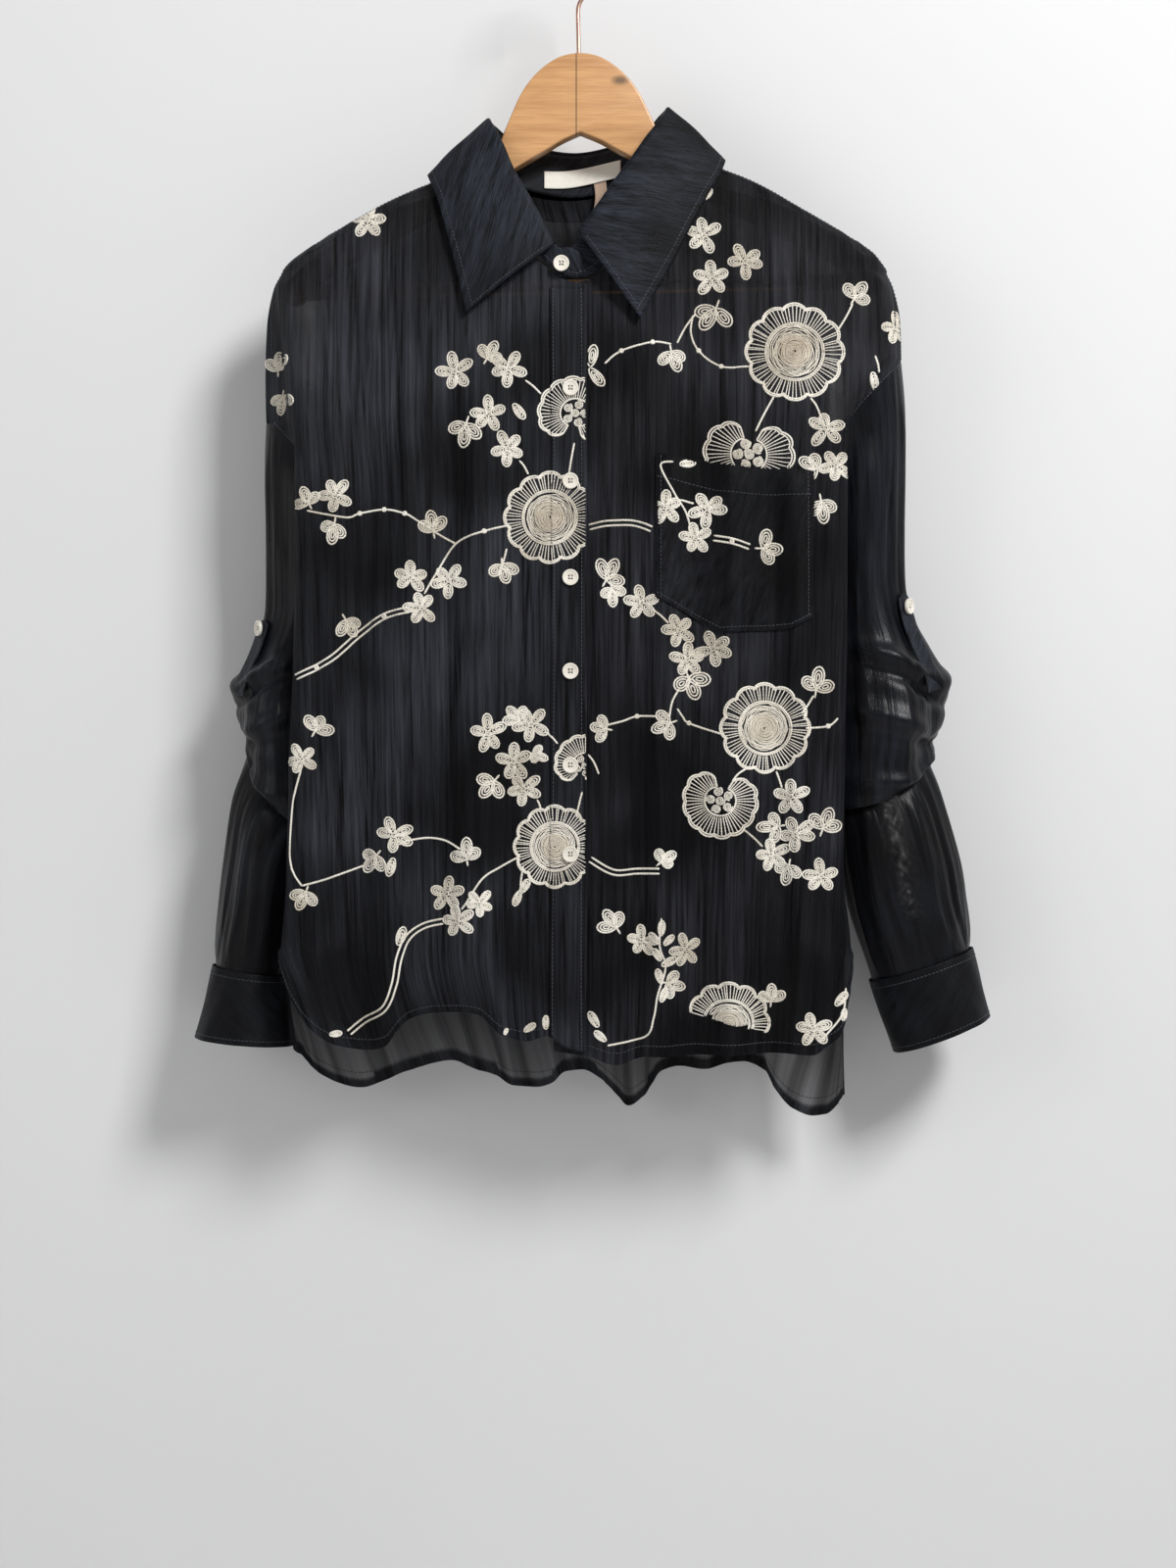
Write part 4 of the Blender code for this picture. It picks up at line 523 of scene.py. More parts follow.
def curve_at(rows: np.ndarray, index: np.ndarray, t: np.ndarray) -> np.ndarray:
    """A smooth curve through rows, at shares t past the rows of these numbers."""
    a, b, c, d = (rows[np.clip(index + shift, 0, len(rows) - 1)] for shift in (-1, 0, 1, 2))
    return b + 0.5 * t * (c - a + t * (2 * a - 5 * b + 4 * c - d + t * (3 * (b - c) + d - a)))


def normals_of(grid: np.ndarray) -> np.ndarray:
    """Unit normals of a grid of points, columns times rows."""
    return unit(np.cross(np.gradient(grid, axis=1), np.gradient(grid, axis=0)))


@dataclass(frozen=True)
class Side:
    """One side of the body: the sign of its x, and its outlines, turns and armhole."""

    sign: int
    inner: float
    hem_side: float
    levels: Sequence[float]
    armhole: Sequence[float]
    shoulder: Table
    neck: Table
    front: Table
    back: Table
    hem: Table

    def turn(self, z: np.ndarray, facing: int) -> np.ndarray:
        """Knuckle, fold, return and seam at these levels.

        Args:
            z: The levels.
            facing: -1 for the front and 1 for the back.

        Returns:
            One row of four (out, y) pairs for each level.
        """
        table = self.front if facing < 0 else self.back
        made = table(z).reshape(-1, 4, 2)
        centre_z, lift, _, out, y, half_out, half_y = self.armhole
        cosine = (z - centre_z) / lift
        on = np.abs(cosine) <= 1.0
        made[on, 3, 0] = out + half_out * cosine[on]
        made[on, 3, 1] = y + facing * half_y * np.sqrt(1.0 - cosine[on] ** 2)
        edge = self.shoulder(z)[:, 0]
        made[:, :, 0] += np.where(z > table.knots[-1], edge - made[:, 3, 0], 0.0)[:, None]
        reach = REACH_TABLE(z)[:, 0] * np.minimum(1.0, (edge - self.neck(z)[:, 0]) / REACH_FADE + REACH_LEAST)
        depth = DEPTH_TABLE(z)[:, 0 if facing < 0 else 1] * UPPER_DEPTH
        upper = np.empty_like(made)
        for i, (drop, share) in enumerate(UPPER_TURN):
            upper[:, i, 0] = edge - drop * reach
            upper[:, i, 1] = facing * (EDGE_Y + (depth - EDGE_Y) * share)
        blend = eased((z - table.knots[-1]) / UPPER_BLEND)[:, None, None]
        return made * (1.0 - blend) + upper * blend


REACH_TABLE = Table(REACH)
DEPTH_TABLE = Table(DEPTHS)
LEFT = Side(
    1, -UNDERLAP, HEM_SIDE_FRONT[0], LEVELS_LEFT, SLEEVE_LEFT[0],
    *map(Table, (SHOULDER_LEFT, NECK_LEFT, TURN_LEFT, BACK_TURN_LEFT, HEM_FRONT_LEFT)),
)
RIGHT = Side(
    -1, -OVERLAP, HEM_SIDE_FRONT[1], LEVELS_RIGHT, SLEEVE_RIGHT[0],
    *map(Table, (SHOULDER_RIGHT, NECK_RIGHT, TURN_RIGHT, BACK_TURN_RIGHT, HEM_FRONT_RIGHT)),
)


class Coords(Enum):
    """Where a finish reads its pattern's place."""

    CLOTH = "UVMap"
    OBJECT = "Object"


class Nodes:
    """A node tree, with short ways to add to it. An input that is a socket is linked, and any other is set."""

    def __init__(self, tree: bpy.types.NodeTree) -> None:
        """Takes the tree to build in."""
        self.tree = tree

    def fill(self, made: Node, inputs: Inputs) -> Node:
        """Links or sets a node's inputs."""
        for key, value in inputs.items():
            if isinstance(value, Socket):
                self.tree.links.new(value, made.inputs[key])
            else:
                made.inputs[key].default_value = value
        return made

    def add(self, kind: str, inputs: Inputs, output: str | int = 0, **settings: object) -> Socket:
        """A new shader node.

        Args:
            kind: Its type, without the "ShaderNode" in front.
            inputs: What its inputs are given, by name or number.
            output: The output that is wanted.
            **settings: The node's own settings.

        Returns:
            That output.
        """
        made = self.tree.nodes.new("ShaderNode" + kind)
        for name, value in settings.items():
            setattr(made, name, value)
        return self.fill(made, inputs).outputs[output]

    def place(self, coords: Coords) -> Socket:
        """The coordinates that a pattern is read from."""
        if coords is Coords.CLOTH:
            return self.add("UVMap", {}, "UV", uv_map=coords.value)
        return self.add("TexCoord", {}, coords.value)

    def noise(self, place: Socket, scale: float, detail: float = 2.0, **others: float) -> Socket:
        """An uneven pattern from 0 to 1."""
        return self.add("TexNoise", {"Vector": place, "Scale": scale, "Detail": detail, **others}, "Fac")

    def ranged(self, value: Socket, low: float, high: float, start: float = 0.0, end: float = 1.0) -> Socket:
        """A value brought from one range to another and held there."""
        return self.add("MapRange", {"Value": value, "From Min": low, "From Max": high, "To Min": start, "To Max": end})

    def math(self, operation: str, *values: Socket | float) -> Socket:
        """The result of a sum with values."""
        return self.add("Math", dict(enumerate(values)), operation=operation)

    def vector(self, operation: str, *values: Socket | Sequence[float], output: int = 0) -> Socket:
        """The result of a sum with vectors."""
        return self.add("VectorMath", dict(enumerate(values)), output, operation=operation)

    def mixed(self, one: Socket, two: Socket, share: float) -> Socket:
        """A mean of two values, share of it from the second."""
        return self.add("Mix", {"Factor": share, "A": one, "B": two}, "Result")

    def blended(self, share: Socket, low: Socket | Colour, high: Colour) -> Socket:
        """A colour between two, by a share that changes over the surface."""
        first = low if isinstance(low, Socket) else (*low, 1.0)
        return self.add("Mix", {"Factor": share, "A": first, "B": (*high, 1.0)}, "Result", data_type="RGBA")

    def bump(self, height: Socket, depth: float) -> Socket:
        """The normal of a surface with this height on it."""
        return self.add("Bump", {"Height": height, "Distance": depth, "Strength": 1.0}, "Normal")


def voile() -> bpy.types.NodeTree:
    """The shared group of crinkled voile: long uneven crinkles down the cloth with a fine weave between them, and a
    mask of painted highlights on the crinkles' ridges, broken up by painted catch-light patches.
    """
    found = bpy.data.node_groups.get("crinkled_voile")
    if found:
        return found
    tree = bpy.data.node_groups.new("crinkled_voile", "ShaderNodeTree")
    for name, way, kind, value in (
        ("Vector", "INPUT", "Vector", None), ("Across", "INPUT", "Float", 420.0), ("Along", "INPUT", "Float", 30.0),
        ("Turn", "INPUT", "Float", 0.0), ("Height", "OUTPUT", "Float", None), ("Painted Highlight", "OUTPUT", "Float", None),
        ("Thin", "OUTPUT", "Float", None),
    ):
        socket = tree.interface.new_socket(name=name, in_out=way, socket_type="NodeSocket" + kind)
        if value is not None:
            socket.default_value = value
    nodes = Nodes(tree)
    given = tree.nodes.new("NodeGroupInput").outputs
    turn = nodes.add("VectorRotate", {"Vector": given["Vector"], "Angle": given["Turn"]}, rotation_type="Z_AXIS")
    scale = nodes.add("CombineXYZ", {0: given["Across"], 1: given["Along"], 2: 1.0})
    stretched = nodes.vector("MULTIPLY", turn, scale)
    fine = nodes.noise(stretched, 1.0, 4.0, Roughness=0.62, Distortion=0.5)
    broad = nodes.noise(stretched, 0.22, 3.0)
    crinkle = nodes.mixed(fine, broad, 0.42)
    # Painted catch light: slow patches that fade the painted highlights in and out
    painted_catch_light = nodes.ranged(nodes.noise(given["Vector"], 8.0), 0.36, 0.62, 0.12)
    nodes.fill(
        tree.nodes.new("NodeGroupOutput"),
        {
            "Height": nodes.math("MULTIPLY_ADD", nodes.noise(given["Vector"], 1500.0, 1.0), 0.12, crinkle),
            # The painted highlight mask: the crinkles' ridges, times the painted catch-light patches
            "Painted Highlight": nodes.math("MULTIPLY", nodes.ranged(crinkle, 0.38, 0.74), painted_catch_light),
            "Thin": nodes.ranged(broad, 0.35, 0.72),
        },
    )
    return tree


@dataclass(frozen=True)
class Finish:
    """A surface's look, as a material made from its own values."""

    name: str

    def made(self) -> Material:
        """The finish as a material."""
        material = bpy.data.materials.new(self.name)
        material.use_nodes = True
        nodes = Nodes(material.node_tree)
        nodes.fill(material.node_tree.nodes["Principled BSDF"], self.look(nodes))
        return material

    def look(self, nodes: Nodes) -> Inputs:
        """What the shader's inputs are given."""
        raise NotImplementedError


@dataclass(frozen=True)
class ClothFinish(Finish):
    """Sheer crinkled black voile, in one or two layers, its colour streaked with painted highlights."""

    dark: Colour = (0.0016, 0.0016, 0.0020)
    # light is the colour of the painted highlights on the crinkles, blended over the cloth's own dark colour
    light: Colour = (0.036, 0.038, 0.050)
    cover: float = 0.86
    thin: float = 0.76
    across: float = 400.0
    along: float = 13.0
    turn: float = 0.0
    depth: float = 0.0016
    spec: float = 0.14
    rough: float = 0.52

    def look(self, nodes: Nodes) -> Inputs:
        """Cloth streaked with painted highlights, and sheer where its cover is below 1."""
        group = nodes.tree.nodes.new("ShaderNodeGroup")
        group.node_tree = voile()
        place = nodes.place(Coords.CLOTH)
        nodes.fill(group, {"Across": self.across, "Along": self.along, "Turn": self.turn, "Vector": place})
        look: Inputs = {
            # Base colour with painted highlights: the dark cloth, lightened along the crinkles' ridges
            "Base Color": nodes.blended(group.outputs["Painted Highlight"], self.dark, self.light),
            "Roughness": self.rough, "Specular IOR Level": self.spec, "Sheen Weight": 0.015, "Sheen Roughness": 0.45,
            "Sheen Tint": (0.72, 0.80, 1.0, 1.0), "Normal": nodes.bump(group.outputs["Height"], self.depth),
        }
        if self.cover < 1.0:
            look["Alpha"] = self.sheer(nodes, group.outputs["Thin"])
        return look

    def sheer(self, nodes: Nodes, thin: Socket) -> Socket:
        """How solid the cloth is: light comes through one layer, and less where hems and seams double it."""
        layers = nodes.add("Attribute", {}, "Fac", attribute_name=LAYERS)
        seen = nodes.ranged(thin, 0.0, 1.0, 1.0 - self.cover, 1.0 - self.thin)
        return nodes.math("SUBTRACT", 1.0, nodes.math("POWER", seen, layers))


@dataclass(frozen=True)
class ThreadFinish(Finish):
    """Matt cotton thread, its colour uneven along its length."""

    dark: Colour = (0.48, 0.42, 0.33)
    light: Colour = (0.90, 0.86, 0.77)
    tan: Colour = (0.46, 0.36, 0.25)

    def look(self, nodes: Nodes) -> Inputs:
        """Fine grain and broad patches, browner where the thread's own tan value says so."""
        place = nodes.place(Coords.OBJECT)
        grain, patch = nodes.noise(place, 900.0, 3.0), nodes.noise(place, 22.0)
        colour = nodes.blended(nodes.ranged(nodes.mixed(grain, patch, 0.5), 0.34, 0.58), self.dark, self.light)
        worn = nodes.add("Attribute", {}, "Fac", attribute_name=TAN)
        return {
            "Base Color": nodes.blended(worn, colour, self.tan), "Roughness": 0.7, "Sheen Weight": 0.15,
            "Normal": nodes.bump(grain, 0.0003),
        }


@dataclass(frozen=True)
class PlasticFinish(Finish):
    """Cream shell-like plastic with faint clouds."""

    low: Colour = (0.66, 0.60, 0.50)
    high: Colour = (0.90, 0.87, 0.79)

    def look(self, nodes: Nodes) -> Inputs:
        """Clouded and softly polished."""
        cloud = nodes.noise(nodes.place(Coords.OBJECT), 160.0, 3.0)
        return {
            "Base Color": nodes.blended(cloud, self.low, self.high), "Roughness": 0.28, "Coat Weight": 0.3,
            "Normal": nodes.bump(cloud, 0.00006),
        }


@dataclass(frozen=True)
class WoodFinish(Finish):
    """Clear-varnished pale wood, its grain along the arms, with a glue seam and one knot."""

    dark: Colour = (0.47, 0.235, 0.095)
    light: Colour = (0.66, 0.36, 0.155)
    seam: bool = True
    knot: tuple[float, float, float] = (0.0325, -0.006, -0.1085)
    lean: tuple[float, float, float] = (0.0, -0.42, 0.0)

    def look(self, nodes: Nodes) -> Inputs:
        """Grain and pores that mirror at the middle, under varnish."""
        place = nodes.place(Coords.OBJECT)
        parts = nodes.tree.nodes.new("ShaderNodeSeparateXYZ")
        nodes.fill(parts, {0: place})
        side = nodes.math("ABSOLUTE", parts.outputs["X"])
        folded = nodes.add("CombineXYZ", {0: side, 1: parts.outputs["Y"], 2: parts.outputs["Z"]})
        along, pores = (
            nodes.add("Mapping", {"Vector": folded, "Rotation": self.lean, "Scale": scale})
            for scale in ((10.0, 90.0, 150.0), (60.0, 700.0, 1100.0))
        )
        grain, fine = nodes.noise(along, 1.0, 5.0, Distortion=0.6), nodes.noise(pores, 1.0)
        colour = nodes.blended(nodes.ranged(nodes.mixed(grain, fine, 0.35), 0.34, 0.62), self.dark, self.light)
        if self.seam:
            away = nodes.vector("MULTIPLY", nodes.vector("SUBTRACT", place, self.knot), (0.6, 0.35, 1.15))
            colour = self.darkened(nodes, colour, side, 0.0003, 0.0007, 0.35)
            colour = self.darkened(nodes, colour, nodes.vector("LENGTH", away, output=1), 0.0016, 0.0052, 0.28)
        return {
            "Base Color": colour, "Roughness": 0.36, "Coat Weight": 0.35, "Coat Roughness": 0.22,
            "Normal": nodes.bump(fine, 0.00012),
        }

    @staticmethod
    def darkened(nodes: Nodes, colour: Socket, away: Socket, inner: float, outer: float, keep: float) -> Socket:
        """The colour, darker where a distance is small."""
        near = nodes.ranged(away, inner, outer, keep)
        inputs = {"Factor": 1.0, "A": colour, "B": near}
        return nodes.add("Mix", inputs, "Result", data_type="RGBA", blend_type="MULTIPLY")


@dataclass(frozen=True)
class WireFinish(Finish):
    """Copper-coloured plated wire, faintly drawn along its length."""

    low: Colour = (0.48, 0.28, 0.20)
    high: Colour = (0.72, 0.48, 0.38)

    def look(self, nodes: Nodes) -> Inputs:
        """Metal with an uneven polish."""
        drawn = nodes.noise(nodes.place(Coords.OBJECT), 700.0)
        return {
            "Base Color": nodes.blended(drawn, self.low, self.high), "Metallic": 1.0,
            "Roughness": nodes.ranged(drawn, 0.0, 1.0, 0.22, 0.36),
        }


@dataclass(frozen=True)
class TapeFinish(Finish):
    """Woven tape of the blank neck label and its tail."""

    low: Colour
    high: Colour

    def look(self, nodes: Nodes) -> Inputs:
        """Ribs with uneven yarn."""
        place = nodes.place(Coords.CLOTH)
        ribs = nodes.add("TexWave", {"Vector": place, "Scale": 420.0, "Distortion": 0.6}, "Fac")
        share = nodes.mixed(ribs, nodes.noise(place, 240.0), 0.6)
        return {
            "Base Color": nodes.blended(share, self.low, self.high), "Roughness": 0.6, "Sheen Weight": 0.2,
            "Normal": nodes.bump(share, 0.0001),
        }


@dataclass(frozen=True)
class PaintFinish(Finish):
    """The studio's painted wall and floor, which show one side only."""

    low: Colour
    high: Colour

    def look(self, nodes: Nodes) -> Inputs:
        """Faintly uneven matt paint."""
        cloud = nodes.noise(nodes.place(Coords.OBJECT), 1.6)
        return {"Base Color": nodes.blended(cloud, self.low, self.high), "Roughness": 0.9}

    def made(self) -> Material:
        """The finish as a material that can't be seen from behind."""
        material = super().made()
        nodes = Nodes(material.node_tree)
        shader, output = (material.node_tree.nodes[name] for name in ("Principled BSDF", "Material Output"))
        behind = nodes.add("NewGeometry", {}, "Backfacing")
        clear = nodes.add("BsdfTransparent", {})
        nodes.fill(output, {"Surface": nodes.add("MixShader", {0: behind, 1: shader.outputs[0], 2: clear})})
        return material


def alone(piece: Object | None = None) -> None:
    """Leaves object mode with nothing selected, or only this piece."""
    if bpy.context.mode != "OBJECT":
        bpy.ops.object.mode_set(mode="OBJECT")
    bpy.ops.object.select_all(action="DESELECT")
    if piece:
        piece.select_set(True)
        bpy.context.view_layer.objects.active = piece


def placed(name: str, data: bpy.types.ID) -> Object:
    """A new object in the scene."""
    made = bpy.data.objects.new(name, data)
    bpy.context.scene.collection.objects.link(made)
    return made


def applied(piece: Object, kind: str, **values: object) -> None:
    """Adds a modifier with these values and applies it."""
    modifier = piece.modifiers.new(kind.lower(), kind)
    for name, value in values.items():
        setattr(modifier, name, value)
    alone(piece)
    bpy.ops.object.modifier_apply(modifier=modifier.name)


def edited(piece: Object, work: Callable[[], object]) -> None:
    """Runs an edit-mode operator on all of a piece's mesh."""
    alone(piece)
    bpy.ops.object.mode_set(mode="EDIT")
    bpy.ops.mesh.select_all(action="SELECT")
    work()
    bpy.ops.object.mode_set(mode="OBJECT")


def moved_to(mesh: bpy.types.Mesh, points: np.ndarray) -> None:
    """Puts a mesh's points in their places."""
    mesh.vertices.foreach_set("co", points.astype(np.float32).ravel())
    mesh.update()


def valued(mesh: bpy.types.Mesh, name: str, values: np.ndarray) -> None:
    """Gives each point of a mesh a value that its finish can read."""
    mesh.attributes.new(name, "FLOAT", "POINT").data.foreach_set("value", values.astype(np.float32).ravel())


def cylinder(
    vertices: int, radius: float, depth: float, turn: Sequence[float], place: Sequence[float] = (0.0, 0.0, 0.0)
) -> Object:
    """A new cylinder, its sizes and its place in millimetres."""
    alone()
    bpy.ops.mesh.primitive_cylinder_add(
        vertices=vertices, radius=radius * MM, depth=depth * MM, rotation=turn, location=[v * MM for v in place]
    )
    return bpy.context.object


def finished(piece: Object, name: str, material: Material, slot: str, *nodes: str) -> Object:
    """Names, shades and dresses a piece, puts it on its body and has it stand for its solids.

    Args:
        piece: The object.
        name: Its name.
        material: Its material.
        slot: The name of a material slot; not used.
        *nodes: The solids that it replaces.

    Returns:
        The piece.
    """
    piece.name = name
    piece.data.name = name
    piece.data.materials.clear()
    piece.data.materials.append(material)
    for face in piece.data.polygons:
        face.use_smooth = True
    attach(piece, BODY)
    if nodes:
        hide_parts(*nodes)
    log.info("%s: %d faces", name, len(piece.data.polygons))
    return piece


@dataclass
class Sheet:
    """A piece of cloth laid on a grid of points in metres, with its own cloth coordinates."""

    grid: np.ndarray
    flip: bool = False
    around: bool = False
    layers: np.ndarray | None = None
    cloth: np.ndarray | None = None
    tree: BVHTree | None = field(default=None, repr=False)

    def object(self) -> Object:
        """The sheet's mesh, from a grid primitive whose points are put in their places."""
        rows, columns = self.grid.shape[:2]
        alone()
        bpy.ops.mesh.primitive_grid_add(x_subdivisions=columns - 1, y_subdivisions=rows - 1)
        piece = bpy.context.object
        mesh = piece.data
        cloth = self.cloth if self.cloth is not None else self.plain_cloth()
        index = np.empty(len(mesh.loops), np.int32)
        mesh.loops.foreach_get("vertex_index", index)
        mesh.uv_layers[0].name = Coords.CLOTH.value
        mesh.uv_layers[0].data.foreach_set("uv", cloth.reshape(-1, 2)[index].astype(np.float32).ravel())
        valued(mesh, LAYERS, self.layers if self.layers is not None else np.ones((rows, columns)))
        moved_to(mesh, self.grid)
        if self.flip:
            edited(piece, bpy.ops.mesh.flip_normals)
        if self.around:
            edited(piece, lambda: bpy.ops.mesh.remove_doubles(threshold=0.00002))
        alone()
        return piece

    def plain_cloth(self) -> np.ndarray:
        """Cloth coordinates in metres: along the rows, and down the first column."""
        return np.stack([across(self.grid), np.broadcast_to(-down(self.grid)[:, None], self.grid.shape[:2])], axis=2)

    def area(self) -> float:
        """The sheet's own area in square metres."""
        right, below = np.diff(self.grid, axis=1)[:-1], np.diff(self.grid, axis=0)[:, :-1]
        return float(np.linalg.norm(np.cross(right, below), axis=2).sum())

    def surface(self) -> BVHTree:
        """A search tree of the sheet, made once."""
        if self.tree is None:
            rows, columns = self.grid.shape[:2]
            number = np.arange(rows * columns).reshape(rows, columns)
            corners = [number[:-1, :-1], number[:-1, 1:], number[1:, 1:], number[1:, :-1]]
            quads = np.stack(corners, axis=2).reshape(-1, 4).tolist()
            self.tree = BVHTree.FromPolygons([tuple(p) for p in self.grid.reshape(-1, 3)], quads)
        return self.tree

    def from_front(self, x: float, z: float) -> tuple[Vector | None, Vector | None]:
        """Where the sheet is met from straight in front, in metres, and its normal there."""
        return self.surface().ray_cast(Vector((x, -AHEAD, z)), Vector((0.0, 1.0, 0.0)))[:2]

    def moved(self, amount: np.ndarray) -> "Sheet":
        """The sheet with its points moved along their normals, which point out unless flip says otherwise."""
        sign = -1.0 if self.flip else 1.0
        grid = self.grid + sign * normals_of(self.grid) * amount[..., None]
        return Sheet(grid, self.flip, self.around, self.layers, self.cloth)


def pocket_ends(x: np.ndarray) -> tuple[np.ndarray, np.ndarray]:
    """The pocket's top edge and its foot at these places across it."""
    (left, high), (right, low) = POCKET_TOP
    share = (x - left) / (right - left)
    top = high + (low - high) * (x - left) / (right - left) - POCKET_SAG * np.sin(np.pi * np.clip(share, 0, 1)) ** 2
    return top, np.interp(x, *np.array(POCKET_FOOT).T)


def inside_pocket(way: np.ndarray, margin: float) -> np.ndarray:
    """Whether places lie within the pocket's outline, grown by a margin in metres."""
    x, z = way[:, 0] / MM, way[:, 1] / MM
    top, foot = pocket_ends(x)
    left, right, grow = POCKET_TOP[0][0], POCKET_TOP[1][0], margin / MM
    return (x > left - grow) & (x < right + grow) & (z < top + grow) & (z > foot - grow)


@dataclass
class Body:
    """The two fronts, the back, the front band and the pocket."""

    step: float = 2.6
    cells: int = 104
    back_cells: int = 176
    turn_steps: int = 6
    tail_rows: int = 30
    seam_fade: float = 9.0
    hem_deep: float = 7.0
    seam_deep: float = 5.0
    fronts: dict[int, Sheet] = field(default_factory=dict)

    def turned(self, flat: np.ndarray, turn: np.ndarray) -> np.ndarray:
        """Adds the smooth turn after the flat columns.

        Args:
            flat: Rows of flat points, the last column on the knuckle.
            turn: Rows of the fold, return and seam points.

        Returns:
            The flat columns with the turn's own, finely spaced.
        """
        knots = np.concatenate([flat[:, -4:], turn], axis=1)
        span = down(knots.swapaxes(0, 1))
        at = np.concatenate([np.linspace(a, b, self.turn_steps + 1)[1:] for a, b in zip(span[3:], span[4:])])
        return np.concatenate([flat, np.stack([monotone(span, row, at) for row in knots])], axis=1)

    def front_points(self, side: Side, z: np.ndarray) -> np.ndarray:
        """A front's points at these levels, before its tail and creases."""
        turn = side.turn(z, -1)
        inner = np.where(z > NECK_FOOT, np.maximum(side.neck(z)[:, 0], side.inner), side.inner)[:, None]
        share = np.linspace(0.0, 1.0, self.cells)[None, :]
        out = inner + (turn[:, 0, 0][:, None] - inner) * share
        x = side.sign * out
        level = np.broadcast_to(z[:, None], x.shape)
        depth = DEPTH_TABLE(z)[:, 0][:, None]
        y = -depth * (1.0 - FRONT_ROUND * (out / ROUND_OUT) ** 2) - folds_at(FRONT_FOLDS, x, level)
        if side is LEFT:
            y = y + UNDER_STEP * eased((UNDER_FROM - out) / UNDER_WIDE)
        held = eased((share - FRONT_HELD) / (1.0 - FRONT_HELD))
        y = y * (1.0 - held) + turn[:, 0, 1][:, None] * held
        return self.turned(np.stack([x, y, level], axis=2), self.beyond(side, turn, z))

    @staticmethod
    def beyond(side: Side, turn: np.ndarray, z: np.ndarray) -> np.ndarray:
        """The turn's points beyond its knuckle."""
        return np.stack([side.sign * turn[:, 1:, 0], turn[:, 1:, 1], np.broadcast_to(z[:, None], (len(z), 3))], axis=2)

    def front(self, side: Side) -> Sheet:
        """One front, with its tail, creases, hem and seams."""
        z = divided(side.levels, self.step)
        steps = np.linspace(0.0, 1.0, self.tail_rows + 1)[1:]
        upper = self.front_points(side, z)
        lower = self.front_points(side, z[-1] - FRONT_TAIL_DROP * steps)
        hem = side.hem(lower[..., 0])[..., 0]
        last = 2 * self.turn_steps
        hem[:, -last:] += (side.hem_side - hem[:, -1:]) * eased(np.linspace(0.0, 1.0, last))[None, :]
        lower[..., 2] = z[-1] + (hem - z[-1]) * steps[:, None]
        grid = np.concatenate([upper, lower])
        x, z, wide = grid[..., 0], grid[..., 2], across(grid)
        cloth = np.stack([wide + x[:, :1] * side.sign, z], axis=2) * MM
        seam = eased((wide[:, -1:] - wide) / self.seam_fade)
        quiet = eased((wide - EDGE_QUIET) / EDGE_FADE) * 0.8 + 0.2
        amount = creases_at(FRONT_CREASES, x, z) + crinkle_at(cloth[..., 0] / MM * side.sign, z)
        doubled = wide > wide[:, -1:] - self.seam_deep
        if side is LEFT:
            doubled |= wide < EDGE_TURNING
        layers = np.maximum(self.layered(grid, len(upper)), np.where(doubled, 2.0, 1.0))
        sheet = Sheet(grid * MM, flip=side is LEFT, layers=layers * self.sheer_at(grid), cloth=cloth)
        self.fronts[side.sign] = sheet.moved(amount * seam * quiet * MM)
        return self.fronts[side.sign]

    def layered(self, grid: np.ndarray, first: int) -> np.ndarray:
        """Layers of cloth: three in the narrow rolled hem and one above it."""
        fall = grid[first:, :, 2] - grid[-1:, :, 2]
        layers = np.ones(grid.shape[:2])
        layers[first:] = np.where(fall < self.hem_deep, 2.6, 1.0)
        return layers

    @staticmethod
    def sheer_at(grid: np.ndarray) -> np.ndarray:
        """The share of a layer that is left in the strips where light comes through."""
        share = np.ones(grid.shape[:2])
        for x, top, foot, half, rest in SHEER_STRIPS:
            window = fade((top - grid[..., 2]) / (top - foot), 6.0) * bell(grid[..., 0] - x, half)
            share *= 1.0 - (1.0 - rest) * window
        return share

    def back(self) -> Sheet:
        """The back, longer than the fronts."""
        right, left = self.paired_levels()
        steps = np.linspace(0.0, 1.0, self.tail_rows + 1)[1:]
        upper = self.back_points(right, left, np.zeros(len(right)))
        near = 1.0 - eased((LEFT.levels[0] - left) / BACK_NECK_FADE)
        middle = near[:, None] * np.maximum(0.0, 1.0 - (upper[..., 0] / NECK_OUT) ** 2)
        upper[..., 1] += BACK_NECK_OUT * middle
        upper[..., 2] -= BACK_NECK_DROP * middle
        lower = self.back_points(np.full(len(steps), right[-1]), np.full(len(steps), left[-1]), steps)
        hem = Table(HEM_BACK)(lower[..., 0])[..., 0]
        last = 2 * self.turn_steps
        ease = eased(np.linspace(0.0, 1.0, last))[None, :]
        hem[:, -last:] += (HEM_SIDE_BACK[1] - hem[:, -1:]) * ease
        hem[:, :last] += (HEM_SIDE_BACK[0] - hem[:, :1]) * ease[:, ::-1]
        lower[..., 2] += (hem - lower[..., 2]) * steps[:, None]
        grid = np.concatenate([upper, lower])
        x, z, wide = grid[..., 0], grid[..., 2], across(grid)
        cloth = np.stack([wide - wide[:, -1:] / 2.0, z], axis=2) * MM
        edge = np.minimum(wide, wide[:, -1:] - wide)
        amount = creases_at(BACK_CREASES, x, z) + crinkle_at(cloth[..., 0] / MM + 40.0, z)
        layers = np.maximum(self.layered(grid, len(upper)), np.where(edge < self.seam_deep, 2.0, 1.0))
        top = eased((z[:1] - z) / 12.0)
        sheet = Sheet(grid * MM, layers=layers * self.sheer_at(grid), cloth=cloth)
        return sheet.moved(amount * eased(edge / self.seam_fade) * top * MM)

